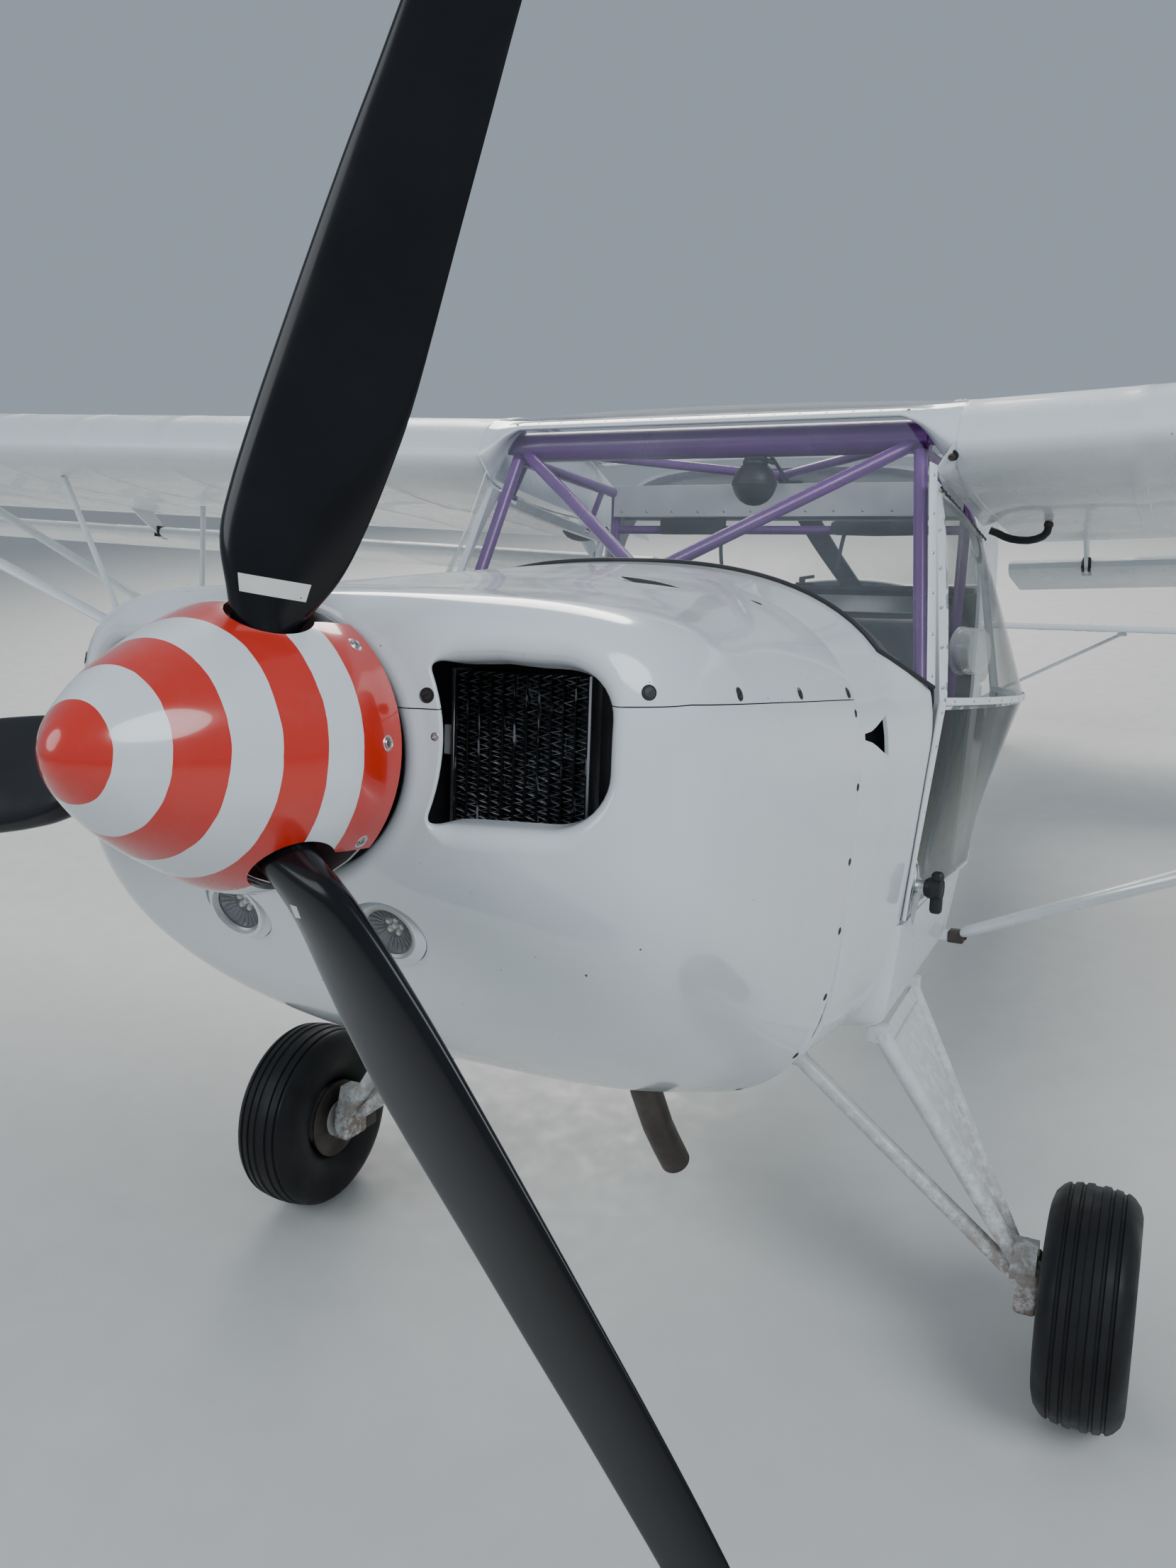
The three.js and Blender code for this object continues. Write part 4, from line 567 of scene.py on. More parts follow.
# The body's sections as place along it, half width, top, middle, bottom, roundness above and below, taper
COWL = [
    (-890, 172, 205, 38, -128, 2.0, 2.0, 0), (-877, 245, 209, 30, -142, 2.6, 2.4, 0),
    (-853, 330, 212, 20, -172, 3.4, 2.6, 0), (-815, 395, 214, 5, -226, 4.2, 2.8, 0),
    (-765, 424, 217, 0, -283, 4.2, 3.0, 0), (-680, 437, 222, -10, -345, 4.0, 3.2, 0.02),
    (-560, 446, 232, -15, -410, 3.4, 3.4, 0.03), (-400, 454, 248, -20, -485, 3.0, 3.8, 0.04),
    (FIREWALL_Y, 463, 268, -30, -555, 2.6, 4.5, 0.05),
]
BOOT = [
    (-189.7, 463, 268, -30, -500, 2.6, 7, 0.05), (-95, 472, 277, -25, -500, 2.5, 8, 0.06),
    (0, 482, 285, -20, -500, 2.5, 8, 0.07), (POST_Y, 504, 300, 10, -500, 2.5, 9, 0.1),
]
REAR_BODY = [
    (865, 456, 549, 65, -513, 5, 12, 0.055), (1000, 444, 492, 68, -515, 3.6, 12, 0.05),
    (1250, 409, 404, 77, -477, 2.6, 12, 0.05), (1600, 360, 302, 90, -424, 2.3, 12, 0.045),
    (1900, 318, 276, 100, -377, 2.2, 12, 0.04), (2700, 206, 243, 128, -255, 2.1, 12, 0.03),
    (3300, 122, 214, 148, -164, 2.1, 12, 0.02), (3322, 119, 189, 149, -161, 3.5, 12, 0.02),
    (3925, 34, 189, 172, -70, 3.5, 12, 0),
]
CABIN_ROWS = eased(REAR_BODY[:4], 6)
REAR_WINDOW = [(928, 286), (1548, 300), (1490, 700), (928, 700)]
SPLIT_LINE = [(-1000, 90), (-885, 92), (-858, 97), (-830, 103), (-770, 105), (-480, 95), (FIREWALL_Y, 85),
              (0, 80)]


def body_ring(station, wall=0.0, count=112):
    """A rounded section of the body, from the top round, in even steps."""
    y, half_width, top, middle, bottom, round_top, round_bottom, taper = station
    dense = []
    for i in range(count * 5):
        angle = QUARTER + 2 * math.pi * i / (count * 5)
        c, s = math.cos(angle), math.sin(angle)
        power = 2 / (round_top if s > 0 else round_bottom)
        rise = math.copysign(abs(s) ** power, s)
        height = (top - middle - wall) if s > 0 else (middle - bottom - wall)
        width = (half_width - wall) * (1 - taper * max(0, -rise))
        dense.append((width * math.copysign(abs(c) ** power, c), y, middle + height * rise))
    return evenly(dense, count)


# How the cowl turns in at its front, as a share of the first section and a place along the aircraft
NOSE_ROLL = ((0.82, -870), (0.84, -886), (0.875, -892), (0.92, -894), (0.965, -893))


def body_layer(name, rows, outer, inner):
    """A shell inside the body's skin, between two distances from it."""
    layer = lofted(name, [body_ring(row, outer) for row in rows])
    return combined(layer, lofted("hollow", [body_ring(row, inner) for row in rows]))


def cowl_skin():
    rings = [body_ring(row) for row in eased(COWL, 6)]
    front = rings[0]
    roll = [[(p.x * k, y, 36 + (p.z - 36) * k) for p in front] for k, y in NOSE_ROLL]
    return lofted("cowl", roll + rings, capped=False)


INTAKE = {"inner": 169, "outer": 360, "bottom": -31, "top": 152, "corner": 64, "tight": 14, "bulge": 21,
          "dip": 10}


def intake_outline(count=12):
    """The intake's throat seen from ahead, with the way out of it and the lip's radius at each point.
    Its inner side follows the round nose, and its lip is wide above and below and tight at the sides."""
    inner, outer, bottom, top = (INTAKE[key] for key in ("inner", "outer", "bottom", "top"))
    corner, tight = INTAKE["corner"], INTAKE["tight"]
    corners = [(inner + tight, bottom + tight, tight, 180), (outer - corner, bottom + corner, corner, 270),
               (outer - corner, top - corner, corner, 0), (inner + tight, top - tight, tight, 90)]
    points = []
    for i, (x, z, radius, start) in enumerate(corners):
        for k in range(count):
            a = math.radians(start + 90 * k / (count - 1))
            out = Vector((math.cos(a), math.sin(a)))
            points.append((Vector((x, z)) + out * radius, out))
        x2, z2, radius2, start2 = corners[(i + 1) % 4]
        a2 = math.radians(start2)
        ahead = Vector((x2, z2)) + Vector((math.cos(a2), math.sin(a2))) * radius2
        for k in range(1, count):
            points.append((points[-1][0].lerp(ahead, 1 / (count - k + 1)), points[-1][1]))
    outline, middle, reach = [], (bottom + top) / 2, (top - bottom) / 2
    for point, out in points:
        share = min(1, max(0, (point.x - inner - 2) / 26))
        radius = 3 + 19 * share * share * (3 - 2 * share) * (1 - 0.5 * max(0, out.x) ** 2)
        nearby = max(0, 1 - (point.x - inner) / 40)
        bulge = INTAKE["bulge"] * nearby * (1 - min(1, abs(point.y - middle) / reach) ** 2)
        dip = INTAKE["dip"] * max(0, 1 - (point.x - inner) / 70) * max(0, point.y - middle) / reach
        outline.append((point + Vector((bulge, -dip)), out, radius))
    return outline


def smoothed(vectors):
    """Directions round a loop, each drawn half way to its two neighbours."""
    return [(vectors[i - 1] + vector * 2 + vectors[(i + 1) % len(vectors)]).normalized()
            for i, vector in enumerate(vectors)]


def intake_lip(side, hit):
    """The rolled lip of one intake and the wall behind it, which is shallow where the lip is tight."""
    rings = [[] for _ in range(11)]
    outline = intake_outline()
    def ahead(p, out, reach):
        x, z = p + out * reach
        return hit((side * x, RAY_START_Y, z), (0, 1, 0))

    places = [ahead(p, out, radius) for p, out, radius in outline]
    near = smoothed(smoothed([normal for _, normal in places]))
    far = smoothed(smoothed(smoothed(smoothed(near))))
    for (p, out, radius), (surface, _), own, even in zip(outline, places, near, far):
        skirt, under = ahead(p, out, radius + 3 + radius / 3)
        rings[0].append(skirt - under * 0.35)
        for k in range(8):
            a = QUARTER * k / 7
            normal = own.lerp(even, min(1, k / 4)).normalized()
            inward = -Vector((side * out.x, 0, out.y))
            inward = (inward - normal * inward.dot(normal)).normalized()
            rings[k + 1].append(surface + inward * radius * math.sin(a) - normal * radius * (1 - math.cos(a)))
        back = (Vector((0, 1, 0)) - normal).normalized()
        depth = (radius - 3) / 19
        rings[9].append(rings[8][-1] + back * (0.6 + 11 * depth))
        rings[10].append(rings[8][-1] + back * (1.2 + 28 * depth))
    piece = lofted("lip", rings, capped=False)
    middle = Vector((side * 265, -1600, 65))
    faces = piece.data.polygons
    if sum(f.normal.dot(middle - f.center) * f.area for f in faces) < 0:
        piece.data.flip_normals()
    return modified(piece, "SOLIDIFY", thickness=2.5, offset=-1)


LAMP = {"x": 106, "y": -852, "z": -160, "radius": 33, "flange": 46, "tilt": math.radians(22)}


def lamp_place(side):
    return (placed(side * LAMP["x"], LAMP["y"], LAMP["z"], LAMP["tilt"], "X")
            @ Matrix.Rotation(QUARTER, 4, "X"))


def split(shell, upper):
    """The part of a shell above or below the level line along the cowl, with a fine gap between the two."""
    line = [(y, z + (0.7 if upper else -0.7)) for y, z in SPLIT_LINE]
    far = 700 if upper else -900
    return combined(shell, prism("x", [*line, (0, far), (-1000, far)], -700, 700), "INTERSECT")


# The cowl's louvres in plan: one end, the other end, and how far the front edge bows out
LOUVRES = (((143, -352), (255, -388), 62), ((299, -262), (319, -242), 16))


def louvre_edge(louvre, t, k):
    """A point in plan of a louvre: t runs along it, k from its rounded front edge to its open rear edge."""
    start, end, reach = Vector(louvre[0]), Vector(louvre[1]), louvre[2]
    forward = Vector((end.y - start.y, start.x - end.x)).normalized()
    bow = (-1 if forward.y > 0 else 1) * math.sin(math.pi * t) * reach
    return start.lerp(end, t) + forward * bow * (1 - 1.14 * k)


def louvre_inside(louvre, hit):
    """The ramp that sinks towards a louvre's rear edge, and a dark sheet under that edge as painted shade in
    the opening.
    """
    def under(t, k, depth, shift=0.0):
        point = louvre_edge(louvre, t, k)
        surface, normal = hit((point.x, point.y - shift, 600), (0, 0, -1))
        return surface - normal * depth

    spread = [0.03 + 0.94 * i / 14 for i in range(15)]
    ramp = gridded("ramp", [[under(t, k / 6, 0.8 + 10 * k / 6 * math.sin(math.pi * t)) for t in spread]
                            for k in range(7)], 1.5)
    # Painted shade: a dark sheet just under the louvre's rear edge
    lining = gridded("lining", [[under(t, 1, depth, 0.8) for t in spread] for depth in (0.6, 13)], 1.0,
                     (0, -900, 100))
    return ramp, lining


def make_cowl():
    skin = cowl_skin()
    hit = skin_of(skin)
    shell = modified(skin, "SOLIDIFY", thickness=6, offset=-1)
    for side, _ in SIDES:
        outline = [(side * (p + out * r).x, (p + out * r).y) for p, out, r in intake_outline()]
        combined(shell, prism("y", outline, -1000, -640))
        hole = rod("hole", LAMP["flange"] + 1, -80, 80, 40, lamp_place(side))
        combined(shell, hole)
    combined(shell, block("notch", (122, -285, -700), (203, FIREWALL_Y + 10, -300), 0))
    ramps, shade_sheets = [], []
    for louvre in LOUVRES:
        outline = [louvre_edge(louvre, i / 14, 0) for i in range(15)]
        outline += [louvre_edge(louvre, i / 14, 1) for i in range(13, 0, -1)]
        combined(shell, prism("z", outline, 100, 400))
        ramp, lining = louvre_inside(louvre, hit)
        ramps.append(ramp)
        shade_sheets.append(lining)
    finished(joined("louvre_ramps", ramps), COWL_WHITE)
    # Painted shade: a black sheet under each louvre's rear edge darkens the slot
    finished(joined("louvre_shade_sheets", shade_sheets), BLACK_PLASTIC)
    lips = [intake_lip(side, hit) for side, _ in SIDES]
    halves = []
    for upper, node in ((True, "cowl_upper"), (False, "cowl_lower")):
        parts = [split(copied(part, "half"), upper) for part in (shell, *lips)]
        halves.append(finished(joined(node + "_skin", parts), COWL_WHITE, node))
    for part in (shell, *lips):
        bpy.data.objects.remove(part)
    return hit


cowl_hit = make_cowl()


# Fasteners

def cup_screw(radius):
    """A countersunk cup washer and its cross-headed screw, standing on +Z."""
    cup = turned("cup_washer", [(0, -1), (radius, -1), (radius, 0.4), (radius * 0.82, 1.6),
                                (radius * 0.6, 0.2), (0, 0.2)], 20)
    return cup, cross_screw(radius * 0.55, 0.9)


def cross_screw(radius, lift=0.0):
    head = turned("screw_head", [(0, -1), (radius, -1), (radius, lift), (radius * 0.8, lift + 0.9),
                                 (0, lift + 1.3)], 14)
    for turn in (0.4, 0.4 + QUARTER):
        cut = block("cross", (-radius * 0.62, -radius * 0.14, lift + 0.2),
                    (radius * 0.62, radius * 0.14, lift + 3), 0)
        cut.data.transform(Matrix.Rotation(turn, 4, "Z"))
        combined(head, cut)
    return head


def quarter_turn():
    """A dark quarter-turn fastener with a slotted head in a dished collar."""
    piece = turned("quarter_turn", [(0, -1), (8.2, -1), (8.2, 0.5), (7.6, 1.1), (6.6, 0.3), (5.6, 0.3),
                                    (5.2, 1.2), (0, 1.5)], 24)
    cut = block("slot", (-4.6, -0.8, 0.6), (4.6, 0.8, 3), 0)
    cut.data.transform(Matrix.Rotation(0.5, 4, "Z"))
    return combined(piece, cut)


def on_skin(hit, points):
    """Places on a surface, each found by a ray from outside the body towards its middle line."""
    found = []
    for x, y, z in points:
        ahead = y < -860
        origin = (x, RAY_START_Y, z) if ahead else (x * 2.2, y, z + (z - 40) * 1.2)
        direction = (0, 1, 0) if ahead else (-x * 1.2, 0, -(z - 40) * 1.2)
        point, normal = hit(origin, direction)
        if point:
            found.append((point - normal * 0.2, normal))
    return found


# Fasteners on the left half of the cowl
QUARTER_TURNS = [(172, -887, 106), (388, -814, 118), (429, -654, 112), (438, -440, 104), (445, -217, 96)]
COWL_SCREWS = [(182.5, -888, 64)]
REAR_FASTENERS = [(453, -203, 66), (462, -200, -40), (457, -200, -150), (449, -206, -252), (430, -206, -351),
                  (385, -206, -440), (300, -206, -505)]


def fasten_cowl():
    """The cowl's three kinds of fastener, each in its places on the left and mirrored on the right."""
    kinds = (("cowl_quarter_turns", quarter_turn(), QUARTER_TURNS, BLACK_PLASTIC),
             ("cowl_screws", cross_screw(4.8), COWL_SCREWS, ZINC),
             ("cowl_rear_fasteners", cross_screw(6.4), REAR_FASTENERS, BLACK_PLASTIC))
    for name, pattern, table, look in kinds:
        points = [point for side, _ in SIDES for point in sided(side, table)]
        finished(scattered(name, pattern, on_skin(cowl_hit, points)), look)


fasten_cowl()


# Radiators behind the intakes

def make_radiators():
    """Flat tubes with a folded fin between each pair, and an alloy plate at each side with a tab on one."""
    left, right, low, high, front, rear = 113, 283, -60, 124, -735, -699
    columns, folds = 11, 56
    pitch = (right - left) / columns
    for side, name in SIDES:
        core = block(f"radiator_{name}_core", (side * left, front + 14, low), (side * right, rear, high), 1)
        finished(core, FIN_BLACK, f"radiator_{name}")
        tubes, fins = [], []
        for i in range(columns + 1):
            x = side * (left + i * pitch)
            tubes.append(block("flat_tube", (x - 1.1, front + 0.5, low), (x + 1.1, front + 15, high), 0.5, 1))
        for i in range(columns):
            x0 = left + i * pitch + 1.3
            rows = [[(side * (x0 + (pitch - 2.6) * (0.5 + 0.5 * math.cos(math.pi * k))),
                      y + 1.6 * math.sin(k * 1.7 + i * 2.1),
                      low + (high - low) * (k + 0.3 * math.sin(k * 0.9 + i)) / folds)
                     for k in range(folds + 1)] for y in (front + 2.5, front + 13)]
            fins.append(gridded("fin", rows, 0.9, (side * 200, -600, 40)))
        # The tubes and fins carry painted glints in their colour
        finished(joined(f"radiator_{name}_tubes", tubes), TUBE_EDGE_GLINTS)
        finished(joined(f"radiator_{name}_fins", fins), FIN_EDGE_GLINTS)
        plates = [block("plate", (side * (x - 2), front - 1, low - 3),
                        (side * (x + 2), rear, high + 3), 0.6, 1) for x in (left - 3, right + 3)]
        tab = block("tab", (side * 96, front + 3, 26), (side * 111, front + 6, 61), 0.6, 1)
        finished(joined(f"radiator_{name}_plates", plates), ALLOY)
        tab.name = f"radiator_{name}_tab"
        finished(tab, RIM_WHITE)
        # Rubber baffles at the radiator's sides; their dark sheets are also painted shade in the gaps behind
        # the intake
        shade_baffles = [block("baffle", (side * 291, -716, -66), (side * 402, -713, 148), 0.5, 1),
                   block("baffle", (side * 30, -716, -66), (side * 107, -713, 148), 0.5, 1)]
        finished(joined(f"radiator_{name}_baffles", shade_baffles), SOFT_RUBBER)


make_radiators()


# Landing lights

def make_lamps():
    for side, name in SIDES:
        radius, flange = LAMP["radius"], LAMP["flange"]
        pad = turned("pad", [(radius - 2, -14), (radius + 1, -14), (flange, -7), (flange, 0.4),
                             (flange - 2, 2.2), (radius + 5, 3), (radius + 4, 9 if side < 0 else 4),
                             (radius, 9.5 if side < 0 else 4.5), (radius - 2, 3), (radius - 2, -14)], 56)
        cup = turned("cup", [(0, -13), (20, -12.5), (radius - 3, 0), (radius - 1, 0), (radius - 1, -15),
                             (0, -15), (0, -13)], 56)
        parts = [cup]
        for k in range(24):
            rib = block("rib", (13, -0.7, -12.5), (radius - 3.5, 0.7, -6.5), 0)
            for vertex in rib.data.vertices:
                if vertex.co.x > 20 and vertex.co.z > -10:
                    vertex.co.z += 6
            rib.data.transform(Matrix.Rotation(2 * math.pi * k / 24, 4, "Z"))
            parts.append(rib)
        bezel = turned("bezel", [(radius - 4, 0.5), (radius - 1, 0.5), (radius + 1.6, 2.4),
                                 (radius + 1.4, 4.6), (radius - 1, 5), (radius - 4, 3), (radius - 4, 0.5)],
                       56)
        bumps = []
        for k in range(6):
            a, r = 2 * math.pi * k / 5, 0 if k == 5 else 9.5
            dome = turned("dome", [(0, -13), (4.2, -13), (4, -10.5), (2.6, -8.4), (0, -7.8)], 14,
                          placed(r * math.cos(a), r * math.sin(a), 0))
            bumps.append(dome)
        lens = turned("lens", [(0, 1), (radius - 4, 1), (radius - 4, 2.6), (14, 3.6), (0, 3.8)], 48)
        for piece, word, look, node in ((pad, "pad", COWL_WHITE, f"landing_light_{name}"),
                                        (joined("cup", parts), "reflector", LAMP_DARK, ""),
                                        (bezel, "bezel", ZINC, ""),
                                        (joined("bumps", bumps), "bulbs", LAMP_BULB, ""),
                                        (lens, "lens", LAMP_GLASS, "")):
            piece.data.transform(lamp_place(side))
            piece.name = piece.data.name = f"landing_light_{name}_{word}"
            finished(piece, look, node)


make_lamps()


# Propeller

def make_spinner():
    profile = [(r, h) for h, r in eased(SPINNER_PROFILE[:-1], 6)] + [(12, -303), (0, -305)]
    wall = [(max(r - 4, 0), h + (4 if h < -230 else 0)) for r, h in reversed(profile[:-2])]
    shell = turned("spinner_shell", [(0, -298), *wall, (154, 1), *profile], 96,
                   Matrix.Rotation(-QUARTER, 4, "X"))
    for angle in BLADE_ANGLES:
        turn = Matrix.Rotation(math.radians(90 - angle), 4, "Y")
        hole = rod("hole", 44, 40, 260, 48)
        hole.data.transform(turn @ Matrix.Translation((0, BLADE_PLANE, 0)))
        combined(shell, hole)
        slot = block("slot", (-32, BLADE_PLANE, 60), (32, 30, 260), 0)
        slot.data.transform(turn)
        combined(shell, slot)
    shell.data.transform(SHAFT_PLACE)
    finished(shell, SPINNER_RINGS, "spinner", body="propeller", angle=30)
    cup, head = cup_screw(8.5)
    places = []
    for blade in BLADE_ANGLES:
        for step in (24, 64, 104):
            a = math.radians(blade - step)
            out = Vector((math.cos(a), -0.04, math.sin(a)))
            point = SHAFT_PLACE @ (out * 156.2 + Vector((0, -24 - 156.2 * -0.04, 0)))
            places.append((point, SHAFT_PLACE.to_3x3() @ out))
    finished(scattered("spinner_washers", cup, places), ALLOY, body="propeller")
    finished(scattered("spinner_screws", head, places), ZINC, body="propeller")


# A blade's sections as distance from the shaft, chord, thickness, pitch, point and sweep
BLADE = [
    (40, 66, 66, 40, 0, 0), (118, 66, 64, 40, 0, 0), (150, 80, 52, 36, 0.1, 0.05),
    (200, 122, 40, 31, 0.3, 0.06), (250, 137, 32, 27, 0.4, 0.05), (320, 143, 27, 24, 0.45, 0.04),
    (400, 142, 23, 22, 0.45, 0.04), (560, 125, 18, 20.5, 0.45, 0.08), (650, 114, 15, 19, 0.45, 0.1),
    (750, 102, 13, 18, 0.45, 0.13), (850, 90, 10, 17, 0.45, 0.14), (905, 78, 8, 16, 0.4, 0.12),
    (930, 38, 5, 16, 0.3, 0.1),
]


def blade_point(row, angle):
    reach, chord, thickness, pitch, point, sweep = row
    c, s = math.cos(math.radians(pitch)), math.sin(math.radians(pitch))
    lead = chord * (0.5 * math.cos(angle) + sweep)
    depth = 0.5 * thickness * math.sin(angle) * (1 + point * math.cos(angle))
    return Vector((-lead * c - depth * s, BLADE_PLANE - lead * s + depth * c, reach))


def blade_sticker(hit, corners):
    """A thin blank sticker on the blade's front face, between four corners given as (across, along)."""
    a, b, c, d = (Vector((x, -400, z)) for x, z in corners)
    rows = []
    for j in range(4):
        left, right = a.lerp(d, j / 3), b.lerp(c, j / 3)
        rows.append([hit(left.lerp(right, i / 8), (0, 1, 0))[0] + Vector((0, -0.35, 0)) for i in range(9)])
    return gridded("sticker", rows, 0.3, (0, 200, 180))


# Blank stickers by blade, as corners from the shaft along the blade
STICKERS = {0: [(-21, 177), (33, 190), (33, 172), (-14, 161)], 1: [(9, 181), (-2, 189), (6, 199), (18, 192)]}


def make_blades():
    sides = 48
    rows = eased(BLADE, 5)
    rings = [[blade_point(row, 2 * math.pi * i / sides) for i in range(sides)] for row in rows]
    master = lofted("blade", rings)
    hub_room = rod("hub_room", 59, -120, 60, 48, Matrix.Rotation(QUARTER, 4, "X"))
    hub_room.data.transform(Matrix.Translation((0, BLADE_PLANE, 0)))
    combined(master, hub_room)
    hit = skin_of(master)
    stickers = []
    for i, angle in enumerate(BLADE_ANGLES):
        place = SHAFT_PLACE @ Matrix.Rotation(math.radians(90 - angle), 4, "Y")
        finished(copied(master, f"blade_{i + 1}_laminated", place), BLADE_BLACK, f"blade_{i + 1}",
                 body="propeller", angle=50)
        if i in STICKERS:
            stickers.append(blade_sticker(hit, STICKERS[i]))
            stickers[-1].data.transform(place)
    finished(joined("blade_stickers", stickers), LABEL, body="propeller")
    bpy.data.objects.remove(master)


make_spinner()
make_blades()


# Body panels, windscreen and rear body

# The side duct's edge on the boot cowl, as (y, z); its narrow end points forward
DUCT = [(-172, 35), (-140, 37), (-118, 42), (-96, 49), (-68, 57), (-66, 26), (-64, -6), (-92, 3), (-118, 13),
        (-140, 20), (-172, 26)]


def make_boot_cowl():
    rings = [body_ring(row) for row in eased(BOOT, 5)]
    shell = modified(lofted("boot", rings, capped=False), "SOLIDIFY", thickness=6, offset=-1)
    combined(shell, prism("x", [(0, 150.5), (POST_Y + 5, 85.5), (POST_Y + 5, 700), (0, 700)], -700, 700))
    for side, _ in SIDES:
        combined(shell, prism("x", DUCT, side * 430, side * 560))
    finished(shell, COWL_WHITE, "boot_cowl")
    for side, name in SIDES:
        rows = []
        for k in range(9):
            t = k / 8
            y = DUCT[0][0] - 3 + (DUCT[-1][0] + 4 - DUCT[0][0]) * t
            half = 5 + 27 * t * t
            depth = 463 - 3 - 26 * t
            rows.append([(side * (depth - 3 * abs(j) / 4), y, 30 - 7 * t + half * j / 4)
                         for j in range(-4, 5)])
        ramp = gridded(f"duct_ramp_{name}", rows, 2, (0, -120, 25))
        finished(ramp, COWL_WHITE)


def arch_point(t):
    """The windscreen's base along the body's arch, from the middle to where the side panel starts."""
    start = math.asin(((152 + 20) / (285 + 20)) ** 1.25)
    angle = QUARTER + (start - QUARTER) * t
    return Vector((482 * math.cos(angle) ** 0.8, 0.3, -20 + 305 * math.sin(angle) ** 0.8))


SCREEN_TOP, POST_TOP, SCREEN_FOOT = Vector((386, 295, 556)), Vector((449, 283, 470)), Vector((500, 123, 92))


def screen_edges(front=24, side=8):
    """The windscreen's base and top edges from the middle to the left post, point for point."""
    base = [arch_point(i / front) for i in range(front + 1)]
    top = [Vector((SCREEN_TOP.x * i / front, SCREEN_TOP.y, SCREEN_TOP.z)) for i in range(front + 1)]
    for i in range(1, side + 1):
        base.append(base[front].lerp(SCREEN_FOOT, i / side))
        top.append(SCREEN_TOP.lerp(POST_TOP, i / side))
    both = lambda half: [Vector((-p.x, p.y, p.z)) for p in reversed(half[1:])] + half
    return both(base), both(top)


def make_windscreen():
    sheet = gridded("windscreen_sheet", ruled(*screen_edges(), 16), 3, (0, 700, -100))
    finished(sheet, WINDSCREEN_CLEAR, "windscreen")


def moved_out(points, distance):
    """Points of the windscreen's base moved away from the body's middle line."""
    return [p + Vector((p.x, 0, p.z + 20)).normalized() * distance for p in points]


def strip_along(name, points, normals, width, thick, lift=0.0):
    """A flat strip with rounded edges laid along points, standing off a surface by lift."""
    rings = []
    for i, (point, normal) in enumerate(zip(points, normals)):
        along = (points[min(i + 1, len(points) - 1)] - points[max(i - 1, 0)]).normalized()
        out = (normal - along * normal.dot(along)).normalized()
        across = along.cross(out)
        ring = []
        for u, v in ((-0.5, 0), (-0.5, 0.55), (-0.42, 1), (0.42, 1), (0.5, 0.55), (0.5, 0)):
            ring.append(point + across * width * u + out * (lift + thick * v))
        rings.append(ring)
    return lofted(name, rings)


def along_line(points, count, ends=0.04):
    """Even places along a line of points."""
    reach = [0.0]
    for a, b in zip(points, points[1:]):
        reach.append(reach[-1] + (b - a).length)
    places = []
    for i in range(count):
        goal = reach[-1] * (ends + (1 - 2 * ends) * i / (count - 1))
        k = max(j for j in range(len(points) - 1) if reach[j] <= goal)
        places.append(points[k].lerp(points[k + 1], (goal - reach[k]) / (reach[k + 1] - reach[k])))
    return places


def rivet(radius):
    return turned("rivet", [(0, -0.6), (radius, -0.6), (radius, 0.1), (radius * 0.8, 0.75),
                            (radius * 0.4, 1.1), (0, 1.2)], 10)


def make_windscreen_trim():
    base, _ = screen_edges()
    seal = tube("windscreen_seal", [p + Vector((0, -2, 1)) for p in moved_out(base, 1.5)], 8, sides=10)
    finished(seal, SOFT_RUBBER)
    shield_rows = [[p + Vector((0, y, 0)) for p in moved_out(base[6:-6], -reach)]
                   for y, reach in ((4, 5), (45, 6), (95, 10), (150, 18))]
    finished(gridded("glare_shield", shield_rows, 2.5, (0, 60, 700)), BLACK_PLASTIC)
    strip_screws = [((x, 304, 569.4), (0, -0.42, 0.9)) for x in (-392 + 784 * i / 16 for i in range(17))]
    finished(scattered("roof_strip_screws", rivet(3.4), strip_screws), ZINC)
    for side, name in SIDES:
        out = Vector((side * 0.82, -0.57, 0.06))
        points = [p + Vector((side * -6, -5, 0)) for p in between(*sided(side, (SCREEN_FOOT, POST_TOP)), 12)]
        strip = strip_along(f"post_strip_{name}", points, [out] * 13, 19, 2.2, 4.5)
        finished(strip, TRIM_WHITE)
        places = [(p + out * 6.6, out) for p in along_line(points, 6, 0.05)]
        finished(scattered(f"post_rivets_{name}", rivet(3.4), places), ALLOY)


def make_rear_body():
    shell = lofted("fuselage_fabric", [body_ring(row) for row in eased(REAR_BODY[:7], 6) + REAR_BODY[7:]])
    hollow = [body_ring(row, 7) for row in CABIN_ROWS]
    hollow[0] = [p - Vector((0, 1, 0)) for p in hollow[0]]
    combined(shell, lofted("hollow", hollow))
    combined(shell, prism("x", REAR_WINDOW, -600, 600))
    finished(shell, FABRIC_WHITE, "fuselage_rear", angle=30)
    sheet = body_layer("rear_window_sheet", CABIN_ROWS, 1, 3.5)
    inside_edge = [(y + (3 if y < 1000 else -3), z + (3 if z < 600 else 0)) for y, z in REAR_WINDOW]
    combined(sheet, prism("x", inside_edge, -600, 600), "INTERSECT")
    finished(sheet, WINDSCREEN_CLEAR, "rear_window")


make_boot_cowl()
make_windscreen()
make_windscreen_trim()
make_rear_body()


# Cabin: welded tubes, header behind the seats, compass, controls

